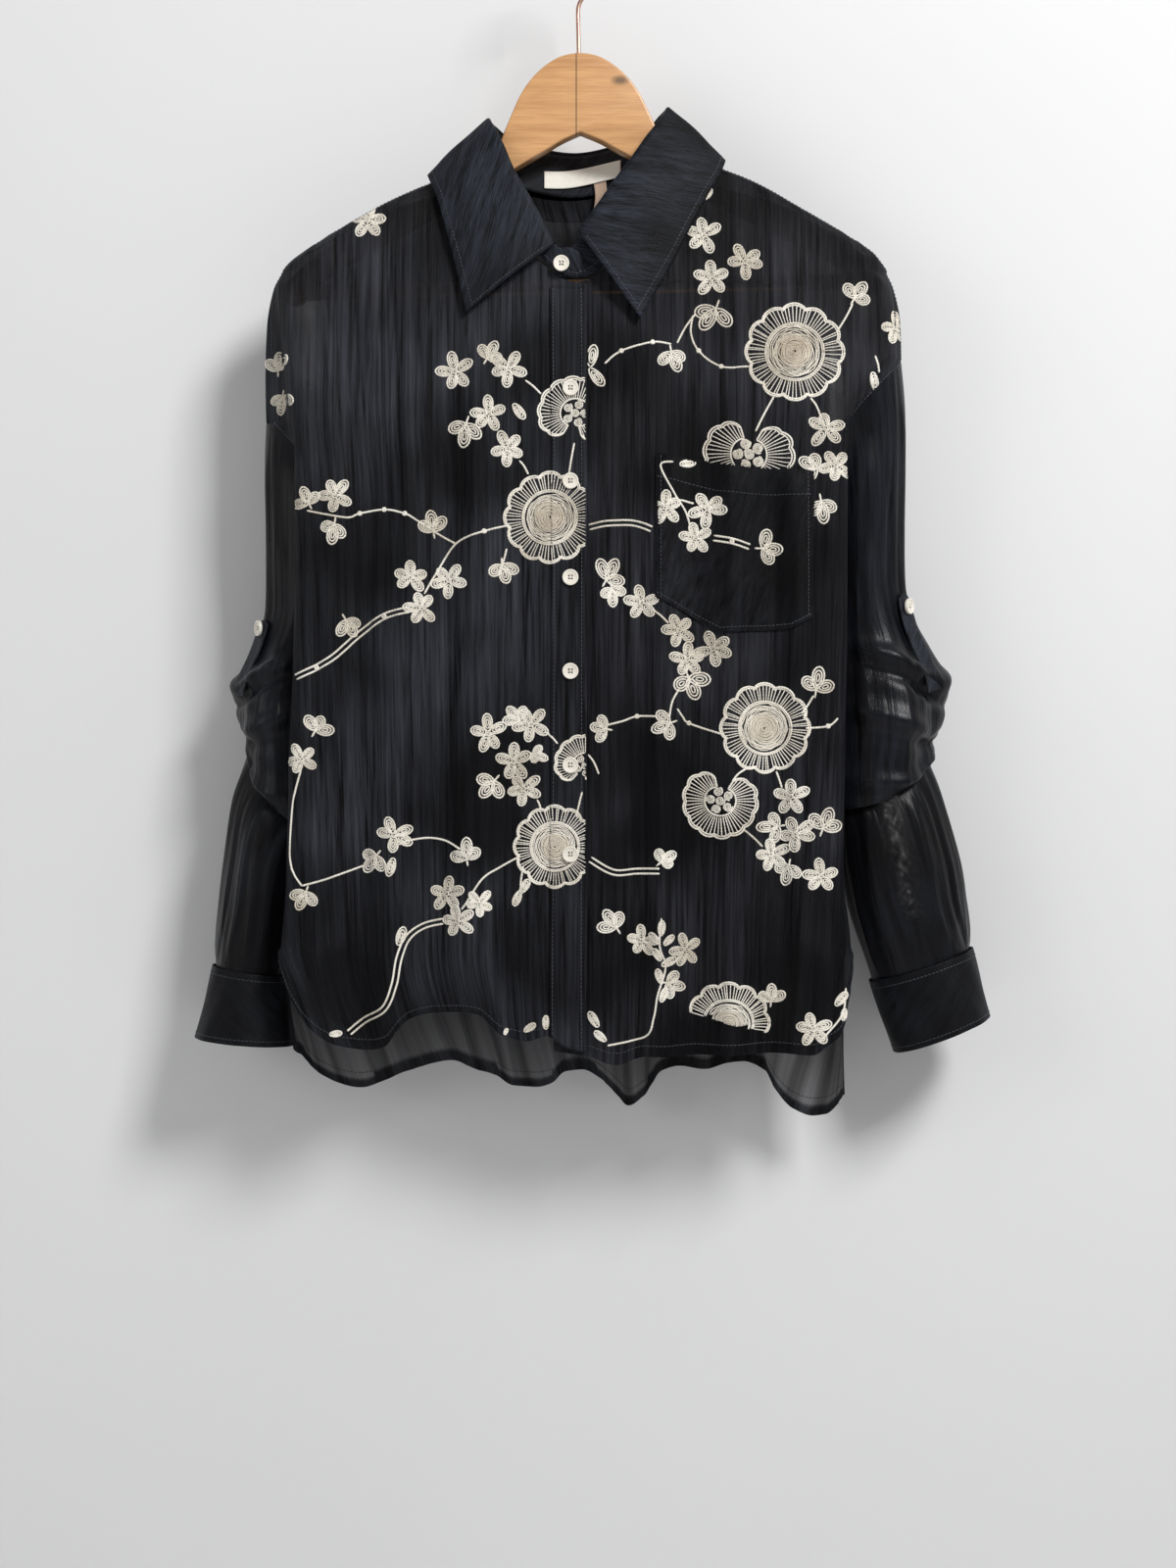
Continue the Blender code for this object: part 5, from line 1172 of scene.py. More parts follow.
    def paired_levels(self) -> tuple[np.ndarray, np.ndarray]:
        """The right and the left side's levels, as many on one as on the other."""
        right, left = [], []
        for a, b, c, d in zip(RIGHT.levels, RIGHT.levels[1:], LEFT.levels, LEFT.levels[1:]):
            share = np.linspace(0.0, 1.0, len(divided((a, b), self.step)))[:-1]
            right.append(a + (b - a) * share)
            left.append(c + (d - c) * share)
        return np.concatenate([*right, RIGHT.levels[-1:]]), np.concatenate([*left, LEFT.levels[-1:]])

    def back_points(self, right: np.ndarray, left: np.ndarray, tail: np.ndarray) -> np.ndarray:
        """The back's points at the two sides' own levels."""
        drop = BACK_TAIL_DROP * tail
        start, end = RIGHT.turn(right - drop, 1), LEFT.turn(left - drop, 1)
        share = np.linspace(0.0, 1.0, self.back_cells)[None, :]
        first, last = -start[:, 0, 0][:, None], end[:, 0, 0][:, None]
        x = first + (last - first) * share
        level = right[:, None] + (left - right)[:, None] * share
        low = level - drop[:, None]
        y = DEPTH_TABLE(low.ravel())[:, 1].reshape(low.shape) * (1.0 - FRONT_ROUND * (x / ROUND_OUT) ** 2)
        y = y + folds_at(BACK_FOLDS, x, low)
        held = eased((np.abs(2.0 * share - 1.0) - BACK_HELD) / (1.0 - BACK_HELD))
        knuckle = np.where(share < 0.5, start[:, 0, 1][:, None], end[:, 0, 1][:, None])
        y = y * (1.0 - held) + knuckle * held
        grid = self.turned(np.stack([x, y, level], axis=2), self.beyond(LEFT, end, left))
        return self.turned(grid[:, ::-1], self.beyond(RIGHT, start, right))[:, ::-1]

    def band(self) -> Sheet:
        """The front band, on the right front's own points, moved out."""
        front = self.fronts[-1]
        columns = int(BAND_SHARE * (self.cells - 1)) + 2
        start = int(np.argmax(front.grid[:, 0, 2] < BAND_TOP * MM))
        grid = front.grid[start:, :columns].copy()
        grid[..., 1] -= BAND_LIFT * MM
        return Sheet(grid, layers=np.full(grid.shape[:2], 2.0), cloth=front.cloth[start:, :columns])

    def pocket(self, rows: int = 70, columns: int = 64) -> Sheet:
        """The pocket, lying on the left front, its mouth hanging a little open."""
        left, right = POCKET_TOP[0][0], POCKET_TOP[1][0]
        x = np.linspace(left, right, columns)
        top, foot = pocket_ends(x)
        share = np.linspace(0.0, 1.0, rows)[:, None]
        z = top + (foot - top) * share
        cloth = np.stack([np.broadcast_to(x * MM, z.shape), z * MM], axis=2)
        depth = [self.fronts[1].from_front(*place)[0].y for place in cloth.reshape(-1, 2)]
        grid = np.stack([cloth[..., 0], np.reshape(depth, z.shape), cloth[..., 1]], axis=2)
        mouth = np.sin(np.pi * (x - left) / (right - left)) * eased((0.3 - share) / 0.3)
        soft = 0.7 * np.sin(x / 6.1 + 0.6 * np.sin(z / 23.0)) * eased(share * 8.0) + 0.5 * np.sin(x / 3.3 + z / 61.0)
        edge = np.minimum(x - left, right - x)
        grid[..., 1] -= (POCKET_LIFT + 2.4 * mouth + soft * eased(edge / 8.0) * eased((1.0 - share) * 9.0)) * MM
        doubled = (z > top - POCKET_TURNING) | (z < foot + self.seam_deep) | (edge < self.seam_deep)
        return Sheet(grid, flip=True, layers=np.where(doubled, 2.0, 1.25), cloth=cloth)


@dataclass
class Sleeve:
    """One sleeve rolled into a pouf, with its cuff and its tab."""

    sign: int
    stations: tuple[tuple[float, ...], ...]
    pouf: tuple[tuple[float, ...], ...]
    cuff: tuple[tuple[float, ...], ...]
    tab: tuple[tuple[float, float], ...]
    tab_turn: float
    rows: int = 236
    columns: int = 97
    mean_radius: float = 33.0

    def points(self, index: np.ndarray, degrees: np.ndarray, lift: float = 0.0) -> np.ndarray:
        """Places on the sleeve.

        Args:
            index: Stations along the cloth, counted from the armhole.
            degrees: Turns round the sleeve, one row of them for each station.
            lift: How far off the cloth the places are.

        Returns:
            The points in millimetres.
        """
        rows = np.array(self.stations, float)
        low = np.clip(index.astype(int), 0, len(rows) - 2)
        station = curve_at(rows, low, (index - low)[:, None])
        z, lift_out, lift_back, out, y, half_out, half_y = (column[:, None] for column in station.T)
        at, turn = index[:, None], np.radians(degrees)
        size = np.ones_like(turn)
        for centre, half, share, first, last in self.pouf:
            strength = eased((at - first + 1.0) / 2.0) * eased((last + 1.0 - at) / 2.0)
            size += share * strength * bell(turned_away(degrees, centre), half)
        wide = out + (half_out * size + lift) * np.cos(turn)
        deep = y + (half_y * size + lift) * np.sin(turn)
        tall = z + lift_out * np.cos(turn) + lift_back * np.sin(turn)
        return np.stack([self.sign * wide, deep, tall], axis=2)

    def sheet(self) -> Sheet:
        """The sleeve's cloth with its creases and rolls."""
        index = np.linspace(0.0, len(self.stations) - 1.0, self.rows)
        degrees = np.linspace(0.0, 360.0, self.columns)[None, :] + np.zeros((self.rows, 1))
        grid = self.points(index, degrees)
        at = index[:, None]
        amount = np.zeros(degrees.shape)
        for number, (top, first, foot, last, half, depth) in enumerate(SLEEVE_CREASES):
            share = (at - first) / (last - first)
            centre = top + (foot - top) * share + 3.0 * np.sin(share * 8.0 + number)
            amount += depth * fade(share, 5.0) * bell(turned_away(degrees, centre), half)
        for station, tall, middle, half, depth, slope in POUF_ROLLS:
            away = turned_away(degrees, middle)
            bend = station + slope * np.sin(np.radians(away * 1.2))
            amount += depth * np.exp(-(((at - bend) / tall) ** 2) - (away / half) ** 2)
        around = np.radians(degrees) * self.mean_radius
        fall = down(grid)[:, None] + 0.0 * around
        amount += 0.8 * crinkle_at(around, fall) * (1.0 - eased((np.abs(degrees - 180.0) - 168.0) / 12.0))
        amount *= eased(fall / 8.0) * eased((fall[-1] - fall) / 8.0)
        cloth = np.stack([around * self.sign, -fall], axis=2) * MM
        layers = np.where((np.abs(turned_away(degrees, SLEEVE_SEAM)) < 5.0) | (fall < 6.0), 2.0, 1.0)
        if self.sign > 0:
            turn, half, first, last = SLEEVE_STRIP
            away = np.abs(np.abs(degrees - 180.0) - 180.0 - turn)
            window = eased(at - first) * eased(last - at) * eased((half - away) / 4.0)
            layers *= 1.0 - 0.85 * window * np.random.default_rng(5).random(layers.shape) ** 0.6
        return Sheet(grid * MM, flip=self.sign > 0, around=True, layers=layers, cloth=cloth).moved(amount * MM)

    def cuff_sheet(self, rows: int = 26, columns: int = 150) -> Sheet:
        """The cuff's strip, wound round the wrist and lapped at the back."""
        rings = rounded(np.array(self.cuff, float), rows)
        share = np.linspace(0.0, 1.0, columns)[None, :]
        turn = CUFF_START + (2.0 * math.pi + CUFF_LAP) * share
        step = CUFF_STEP * eased((share - 0.72) / 0.2)
        z, lift, out, y, half_out, half_y = (column[:, None] for column in rings.T)
        soft = 0.5 * np.sin(turn * 7.0 + z / 9.0) * np.sin(turn * 3.0 + 1.0)
        wide = self.sign * (out + (half_out + step + soft) * np.cos(turn))
        grid = np.stack([wide, y + (half_y + step + soft) * np.sin(turn), z + lift * np.cos(turn)], axis=2)
        cloth = np.stack([turn * 36.0 + 0.0 * z, z + 0.0 * turn], axis=2) * MM
        return Sheet(grid * MM, flip=self.sign > 0, cloth=cloth, layers=np.full(grid.shape[:2], 2.0))

    def tab_sheet(self, rows: int = 60, columns: int = 9) -> Sheet:
        """The roll-up tab, from its pointed end down into the pouf's fold."""
        table = np.array(self.tab, float)
        index = np.linspace(table[0, 0], table[-1, 0], rows)
        half = np.interp(index, table[:, 0], table[:, 1])[:, None] * np.linspace(-1.0, 1.0, columns)[None, :]
        radius = np.interp(index, np.arange(len(self.stations)), [s[5] for s in self.stations])[:, None]
        grid = self.points(index, self.tab_turn + np.degrees(half / radius), TAB_LIFT)
        return Sheet(grid * MM, flip=self.sign > 0, layers=np.full(grid.shape[:2], 2.0))


@dataclass
class Collar:
    """The collar's leaf and stand."""

    along: int = 230
    leaf_across: int = 26
    stand_across: int = 12
    crown: float = 1.5

    def stand(self) -> Sheet:
        """The stand, from its upper front end round the neck to the lower one."""
        rows = rounded(np.array(STAND_ROWS, float), self.along)
        share = np.linspace(0.0, 1.0, self.stand_across)[None, :, None]
        grid = rows[:, None, :3] + (rows[:, None, 3:] - rows[:, None, :3]) * share
        return Sheet(grid * MM, flip=True)

    def leaf(self) -> Sheet:
        """The leaf, rolled over the top of the stand and falling to its points."""
        rows = rounded(np.array(LEAF_ROWS, float), self.along)
        fold, edge = rows[:, None, :3], rows[:, None, 3:]
        middle = np.array([0.0, LEAF_CENTRE_Y, 0.0])
        away = (fold - middle) * np.array([1.0, 1.0, 0.0])
        away = away / np.maximum(np.linalg.norm(away, axis=2, keepdims=True), 1e-6)
        share = np.linspace(0.0, 1.0, self.leaf_across)[None, :, None]
        bulge = LEAF_BULGE * np.sin(np.pi * share) * (1.0 - 0.4 * share)
        fall = fold + (edge - fold) * share + away * bulge * np.array([0.6, 1.0, 0.0])
        top = rounded(np.array(STAND_ROWS, float), 600)[:, :3]
        near = top[np.argmin(np.linalg.norm(fold[:, 0, None] - top[None], axis=2), axis=1)][:, None]
        steps = np.linspace(0.0, 1.0, 7)[None, :-1, None]
        roll = near + (fold - near) * steps + np.array([0.0, 0.0, self.crown]) * np.sin(np.pi * steps)
        grid = np.concatenate([roll, fall], axis=1)
        u, v = np.linspace(0.0, 1.0, self.along)[:, None], np.linspace(0.0, 1.0, grid.shape[1])[None, :]
        soft = 0.55 * np.sin(u * 61.0 + v * 7.0) * np.sin(u * 23.0 - v * 5.0 + 1.0)
        return Sheet(grid * MM, flip=True).moved(soft * eased(v * 4.0) * eased((1.0 - v) * 4.0) * MM)


class Kind(Enum):
    """The kinds of embroidered motif, each with the method of Embroidery that draws it."""

    ROUND = "round_flower"
    FAN = "fan_flower"
    SMALL = "small_flower"
    SPRIG = "sprig"
    LEAF = "single"
    BUD = "bud"


@dataclass(frozen=True)
class Motif:
    """A motif, placed by the picture: its kind, middle, radius in pixels and turn in degrees.

    A motif that a fold of the cloth cuts off shows only above a line through its middle, of this slope.
    """

    kind: Kind
    x: float
    y: float
    radius: float = 17.0
    turn: float = 0.0
    cut: float | None = None


@dataclass(frozen=True)
class Stem:
    """A stem, placed by the picture: its way, how many strands lie side by side, and its knots."""

    way: tuple[tuple[float, float], ...]
    strands: int = 1
    knots: tuple[tuple[float, float], ...] = ()


@dataclass(frozen=True)
class Thread:
    """One line of stitches on the cloth: its way in x and z, its width and height, and how high it starts."""

    way: np.ndarray
    wide: float
    tall: float
    lift: float = 0.0
    tan: float = 0.0


def spun(turn: float) -> np.ndarray:
    """The matrix that turns rows of x and z by this angle."""
    return np.array([[math.cos(turn), math.sin(turn)], [-math.sin(turn), math.cos(turn)]])


def meshed(name: str, points: list[np.ndarray], quads: list[np.ndarray]) -> Object:
    """A piece from lists of points and of quads."""
    mesh = bpy.data.meshes.new(name)
    mesh.from_pydata(np.concatenate(points), [], np.concatenate(quads))
    return placed(name, mesh)


def motifs(places: dict[Kind, Sequence[Sequence[float]]]) -> list[Motif]:
    """Motifs from rows of x, y, radius, turn and cut for each kind."""
    return [Motif(kind, *place) for kind, rows in places.items() for place in rows]


# Embroidery of the right front, which is the viewer's left one: x, y, radius, turn, in pixels of the picture
RIGHT_MOTIFS = motifs({
    Kind.ROUND: ((561, 528, 47), (566, 864, 42)),
    Kind.FAN: ((587, 422, 38, 262), (597, 781, 31, 250)),
    Kind.SMALL: (
        (464, 379, 18, 10), (519, 376, 18, 40), (499, 422, 17, 0), (518, 458, 17, 30), (342, 506, 17, 20),
        (419, 589, 17, 0), (458, 592, 17, 36), (430, 621, 16, 12), (498, 748, 17, 8), (542, 739, 17, 30),
        (524, 777, 18, 0), (534, 805, 16, 25), (402, 852, 17, 15), (456, 912, 17, 0), (489, 922, 13, 30),
        (467, 940, 16, 12), (308, 775, 15, 20), (375, 225, 18, 0), (415, 195, 15, 30),
    ),
    Kind.SPRIG: (
        (500, 361, 15, 60), (473, 439, 18, 250), (512, 583, 16, 270), (441, 536, 16, 100), (340, 541, 16, 260),
        (312, 509, 14, 120), (356, 638, 15, 300), (527, 730, 14, 120), (548, 771, 11, 340), (500, 802, 17, 230),
        (380, 878, 16, 230), (475, 870, 16, 100), (325, 740, 16, 60), (310, 916, 15, 250), (284, 372, 15, 90),
        (288, 410, 14, 260),
    ),
    Kind.LEAF: (
        (529, 419, 14, 300), (540, 1049, 10, 30), (557, 1044, 10, 80), (399, 884, 14, 255), (409, 956, 14, 75),
        (535, 905, 12, 60), (528, 916, 12, 245), (404, 1054, 9, 90), (342, 1055, 9, 10), (516, 1053, 5, 60),
    ),
})
RIGHT_STEMS = [
    Stem(((536, 388), (544, 394), (552, 402))), Stem(((530, 470), (535, 476), (539, 484))),
    Stem(((586, 452), (583, 468), (580, 487))),
    Stem(((520, 536), (494, 542), (465, 555), (444, 587), (433, 606)), knots=((494, 542),)),
    Stem(
        ((465, 555), (447, 545), (427, 532), (413, 524), (392, 520), (367, 524), (352, 528), (313, 521)),
        knots=((413, 524), (392, 520), (367, 524)),
    ),
    Stem(((517, 560), (515, 568), (512, 578))),
    Stem(((418, 622), (392, 629), (367, 647), (342, 669), (323, 681), (302, 691)), 2, ((392, 629), (323, 681))),
    Stem(((557, 747), (563, 752), (569, 759))), Stem(((548, 816), (550, 820), (552, 826))),
    Stem(((594, 808), (591, 820), (588, 834))), Stem(((530, 874), (510, 885), (492, 897), (476, 921), (471, 928))),
    Stem(((470, 867), (455, 858), (437, 855), (416, 858), (407, 862))),
    Stem(((308, 904), (330, 898), (350, 891), (372, 883))), Stem(((307, 786), (299, 820), (296, 868), (298, 888))),
    Stem(((297, 884), (301, 894), (308, 904))), Stem(((534, 884), (532, 895), (531, 905))),
    Stem(((452, 940), (432, 945), (416, 957), (407, 978), (402, 1005), (392, 1029), (372, 1041), (356, 1054)), 2),
]
# Embroidery of the left front, the viewer's right one
LEFT_MOTIFS = motifs({
    Kind.ROUND: ((811, 359, 51), (780, 743, 46), (744, 1046, 43, 0, -0.27)),
    Kind.FAN: ((764, 464, 46, 84), (735, 817, 38, 80)),
    Kind.SMALL: (
        (718, 240, 18, 0), (760, 267, 18, 30), (727, 284, 18, 12), (843, 437, 18, 0), (853, 475, 17, 30),
        (913, 335, 16, 10), (655, 615, 17, 5), (693, 643, 17, 20), (701, 673, 17, 0), (728, 662, 18, 30),
        (807, 813, 17, 0), (812, 851, 18, 30), (787, 872, 16, 12), (838, 894, 17, 0), (655, 960, 15, 0),
        (700, 969, 15, 15), (830, 1050, 17, 0),
    ),
    Kind.SPRIG: (
        (728, 322, 20, 250), (686, 365, 16, 280), (875, 299, 17, 60), (828, 476, 17, 160), (839, 518, 17, 280),
        (622, 586, 17, 60), (625, 606, 14, 280), (705, 699, 20, 290), (834, 697, 18, 80), (789, 844, 15, 190),
        (842, 839, 18, 70), (804, 889, 15, 260), (678, 740, 16, 200), (613, 743, 14, 170), (626, 941, 16, 120),
        (686, 1004, 14, 350), (679, 876, 14, 40), (788, 1016, 14, 80),
    ),
    Kind.LEAF: (
        (604, 364, 17, 75), (608, 384, 17, 305), (892, 388, 13, 280), (858, 1020, 13, 60), (606, 1041, 13, 110),
        (613, 1058, 11, 140), (675, 948, 11, 85), (668, 958, 10, 130), (682, 960, 10, 40), (671, 975, 10, 120),
        (682, 982, 12, 30), (673, 997, 11, 110), (677, 1016, 11, 60), (861, 1036, 9, 80),
    ),
    Kind.BUD: ((722, 198, 6, 60),),
})
LEFT_STEMS = [
    Stem(((617, 371), (634, 358), (666, 349), (685, 351)), knots=((634, 358), (666, 349))),
    Stem(((710, 320), (700, 333), (691, 350))),
    Stem(((707, 322), (705, 340), (713, 358), (736, 374), (764, 374)), knots=((713, 358), (736, 374))),
    Stem(((853, 340), (863, 324), (870, 310))), Stem(((856, 350), (876, 353), (892, 359), (920, 356))),
    Stem(((893, 363), (896, 372), (897, 380))), Stem(((790, 404), (780, 422), (771, 440))),
    Stem(((827, 406), (833, 414), (838, 427))), Stem(((601, 538), (620, 534), (647, 534), (665, 540)), 2),
    Stem(((666, 622), (674, 628), (682, 636))), Stem(((693, 703), (686, 716), (683, 732))),
    Stem(((691, 723), (697, 732), (703, 738), (736, 749)), knots=((703, 738),)),
    Stem(((619, 740), (635, 736), (650, 731), (670, 731)), knots=((650, 731),)),
    Stem(((818, 728), (824, 720), (830, 710))), Stem(((822, 743), (845, 741), (855, 733)), knots=((845, 741),)),
    Stem(((762, 784), (753, 790), (747, 798))), Stem(((792, 787), (795, 795), (798, 804))),
    Stem(((758, 846), (768, 854), (778, 864))), Stem(((602, 877), (626, 890), (650, 889), (673, 889)), 2),
    Stem(((675, 937), (673, 965), (679, 987), (671, 1016), (667, 1039), (658, 1058), (620, 1067))),
    Stem(((863, 1008), (859, 1036), (836, 1064))), Stem(((600, 770), (606, 778), (611, 790))),
]
# Embroidery of the pocket
POCKET_MOTIFS = motifs({
    Kind.SMALL: ((679, 518, 17, 0), (722, 519, 18, 30), (710, 549, 16, 12)),
    Kind.LEAF: ((701, 473, 12, 4),),
    Kind.SPRIG: ((785, 560, 18, 0),),
})
POCKET_STEMS = [
    Stem(((687, 471), (674, 475), (688, 503), (699, 521), (704, 536))), Stem(((694, 510), (701, 512), (708, 514))),
    Stem(((728, 549), (747, 552), (765, 558)), 2, ((747, 552),)),
]


@dataclass
class Embroidery:
    """Chain-stitched flowers, leaves and stems, laid on a panel's own surface as raised thread."""

    name: str
    motifs: list[Motif]
    stems: list[Stem]
    sheets: list[Sheet]
    keep: Callable[[np.ndarray], np.ndarray]
    grain: float = 0.0008
    stitch: float = 0.0021
    thread: float = 0.00145
    bar: float = 0.00095
    pitch: float = 0.0012
    seed: int = 7

    def seen(self, x: float, y: float) -> np.ndarray | None:
        """Where the eye meets the cloth through this pixel, as x and z."""
        aim = Vector((EYE.x + (x - PICTURE[0] / 2) * PIXEL, PLANE_Y, EYE.z - (y - PICTURE[1] / 2) * PIXEL)) - EYE
        hits = [sheet.surface().ray_cast(EYE, aim.normalized())[0] for sheet in self.sheets]
        best = min((hit for hit in hits if hit is not None), key=lambda hit: hit.y, default=None)
        return None if best is None else np.array([best.x, best.z])

    def threads(self) -> list[Thread]:
        """Every line of stitches of the panel."""
        made: list[Thread] = []
        random = np.random.default_rng(self.seed)
        for stem in self.stems:
            made += self.stem(stem)
        for motif in self.motifs:
            middle = self.seen(motif.x, motif.y)
            if middle is None:
                continue
            spin = spun(math.radians(motif.turn))
            for thread in getattr(self, motif.kind.value)(motif.radius * PIXEL, random):
                for way in self.above(thread.way @ spin, motif.cut):
                    made.append(replace(thread, way=way + middle))
        return made

    @staticmethod
    def above(way: np.ndarray, slope: float | None) -> list[np.ndarray]:
        """The stretches of a line that lie above a slope through the middle, or the whole line."""
        if slope is None:
            return [way]
        good = way[:, 1] > slope * way[:, 0]
        ends = np.flatnonzero(np.diff(good.astype(int))) + 1
        return [part for part, kept in zip(np.split(way, ends), np.split(good, ends)) if kept[0] and len(part) > 1]

    @staticmethod
    def ring(radius: float | np.ndarray, turns: float = 1.0, start: float = 0.0, count: int = 90) -> np.ndarray:
        """Points round a circle or a spiral."""
        angle = start + np.linspace(0.0, turns * 2.0 * math.pi, count)
        return np.stack([radius * np.cos(angle), radius * np.sin(angle)], axis=1)

    def round_flower(self, radius: float, random: np.random.Generator) -> list[Thread]:
        """A big flower: scalloped edge, bars, a ring, and a worked disc with a raised heart."""
        inner, lobes = radius * 0.585, 12
        angle = np.linspace(0.0, 2.0 * math.pi, 420)
        edge = self.ring(radius * (0.90 + 0.10 * np.abs(np.cos(angle * lobes / 2.0)) ** 0.6), count=len(angle))
        made = [
            Thread(edge * 0.985, self.thread * 1.15, 0.0009, 0.0002),
            Thread(edge * 0.945, self.thread, 0.0007),
            Thread(self.ring(inner), self.thread, 0.0009, 0.0002),
            Thread(self.ring(inner * 0.94), self.thread * 0.9, 0.0007, 0.0002),
        ]
        bars = lobes * 6
        for i in range(bars):
            turn = 2.0 * math.pi * (i + 0.5 + 0.16 * random.standard_normal()) / bars
            reach = radius * (0.85 + 0.09 * abs(math.cos(turn * lobes / 2.0)) ** 0.6)
            way = np.linspace(inner * 1.01, reach, 12)
            made.append(Thread(np.stack([way * math.cos(turn), way * math.sin(turn)], axis=1), self.bar, 0.0006))
        made += self.disc(inner * 0.9, random, 0.0, 0.08)
        made += self.disc(inner * 0.56, random, 0.0006, 0.42)
        return made

    def disc(self, radius: float, random: np.random.Generator, lift: float, tan: float = 0.0) -> list[Thread]:
        """A disc worked round and round."""
        turns = radius / self.pitch
        count = max(20, int(turns * 26))
        share = np.linspace(0.06, 1.0, count)
        wobble = 1.0 + 0.03 * np.sin(share * 91.0) + 0.02 * random.standard_normal(count)
        way = self.ring(radius * share * wobble, turns, random.uniform(0, 6.28), count)
        return [Thread(way, self.thread * 0.8, 0.0007, lift, tan)]

    def fan_flower(self, radius: float, random: np.random.Generator) -> list[Thread]:
        """A heart-like fan of bars round an open middle with five dots."""
        lobes, sweep, start = 12, math.radians(314.0), math.radians(23.0)
        angle = start + np.linspace(0.0, sweep, 320)
        near = np.minimum(angle - start, start + sweep - angle)
        heart = 0.66 + 0.34 * np.sin(np.minimum(near / 0.85, 1.0) * math.pi / 2.0) ** 0.8
        outer = radius * heart * (0.93 + 0.07 * np.abs(np.sin((angle - start) / sweep * math.pi * lobes)) ** 0.6)
        inner = radius * 0.40 * (0.72 + 0.28 * heart)
        facing = np.stack([np.cos(angle), np.sin(angle)], axis=1)
        edge, hollow = outer[:, None] * facing, inner[:, None] * facing
        made = [
            Thread(np.concatenate([hollow[:1], edge, hollow[-1:]]), self.thread * 1.1, 0.0009, 0.0002),
            Thread(edge * 0.94, self.thread * 0.95, 0.0007),
            Thread(hollow, self.thread, 0.0008, 0.0002),
        ]
        bars = lobes * 4
        for i in range(1, bars):
            at = int(i / bars * (len(angle) - 1))
            way = np.linspace(inner[at] * 1.02, outer[at] * 0.93, 10)
            made.append(Thread(way[:, None] * facing[at], self.bar, 0.0006))
        for i in range(6):
            turn = 2.0 * math.pi * i / 5 + 0.4
            reach = radius * (0.25 if i < 5 else 0.0)
            for thread in self.disc(radius * 0.12, random, 0.0):
                made.append(Thread(thread.way + reach * spun(turn)[0], thread.wide, 0.0010))
        return made

    def petal(self, long: float, wide: float, turn: float, start: float) -> list[Thread]:
        """One full petal: closed loops inside each other, broader towards its tip."""
        angle = np.linspace(0.0, 2.0 * math.pi, 26)
        made = []
        for share, thick in ((1.0, 1.1), (0.62, 1.0), (0.26, 0.9)):
            out = start + long * (0.52 - 0.5 * (0.15 + 0.85 * share) * np.cos(angle))
            bow = np.sign(np.sin(angle)) * np.abs(np.sin(angle)) ** 1.15
            side = wide * 0.5 * share * bow * (1.0 - 0.16 * np.cos(angle))
            way = np.stack([out, side], axis=1) @ spun(turn)
            made.append(Thread(way, self.thread * thick, 0.0006 + 0.0003 * share))
        return made

    def small_flower(self, radius: float, random: np.random.Generator) -> list[Thread]:
        """A small flower of five full petals round a knot."""
        made: list[Thread] = []
        for i in range(5):
            turn = 2.0 * math.pi * i / 5 + 0.14 * random.standard_normal() + math.pi / 2
            long = radius * (0.93 + 0.07 * random.standard_normal())
            made += self.petal(long, radius * 0.54, turn, radius * 0.08)
        return made + self.disc(radius * 0.2, random, 0.0006)

    def sprig(self, radius: float, random: np.random.Generator) -> list[Thread]:
        """Three full leaves from one point."""
        made: list[Thread] = []
        for turn, share in ((0.0, 1.0), (1.05, 0.85), (-1.05, 0.8)):
            long = radius * 1.22 * share * (1.0 + 0.08 * random.standard_normal())
            for thread in self.petal(long, radius * 0.66, turn + 0.14 * random.standard_normal(), 0.0):
                made.append(Thread(thread.way - [radius * 0.36, 0.0], thread.wide, thread.tall))
        stalk = np.array([[-radius * 0.85, 0.0], [-radius * 0.3, 0.0]])
        return [*made, Thread(stalk, self.thread * 1.25, 0.0009)]

    def single(self, radius: float, random: np.random.Generator) -> list[Thread]:
        """One full leaf."""
        return self.petal(radius * 1.35, radius * 0.58, 0.1 * random.standard_normal(), -radius * 0.65)

    def bud(self, radius: float, random: np.random.Generator) -> list[Thread]:
        """A small closed bud."""
        return self.petal(radius * 2.2, radius * 1.1, 0.0, -radius * 1.1)

    def stem(self, stem: Stem) -> list[Thread]:
        """A stem's strands and knots."""
        places = [self.seen(x, y) for x, y in stem.way]
        if any(place is None for place in places):
            return []
        way = rounded(np.array(places), 10 * len(places))
        along = np.gradient(way, axis=0)
        side = unit(np.stack([-along[:, 1], along[:, 0]], axis=1))
        made = []
        for i in range(stem.strands):
            shift = 0.0036 * (i - (stem.strands - 1) / 2.0)
            made.append(Thread(way + side * shift, self.thread * 1.25, 0.0009))
        for x, y in stem.knots:
            place = self.seen(x, y)
            if place is not None:
                made.append(Thread(self.ring(0.0012, 1.6, 0.0, 16) + place, self.thread * 1.3, 0.0011))
        return made

    def build(self, material: Material) -> Object:
        """All the panel's threads as one mesh."""
        points: list[np.ndarray] = []
        quads: list[np.ndarray] = []
        shades: list[np.ndarray] = []
        count = 0
        for thread in self.threads():
            for run in self.runs(thread):
                ring = self.swept(run, thread)
                rows = len(ring)
                base = count + np.arange(rows - 1)[:, None] * 4 + np.arange(3)[None, :]
                quads.append(np.stack([base, base + 4, base + 5, base + 1], axis=2).reshape(-1, 4))
                points.append(ring.reshape(-1, 3))
                shades.append(np.full(rows * 4, thread.tan))
                count += rows * 4
        piece = meshed(self.name, points, quads)
        valued(piece.data, TAN, np.concatenate(shades))
        return finished(piece, self.name, material, "cloth")

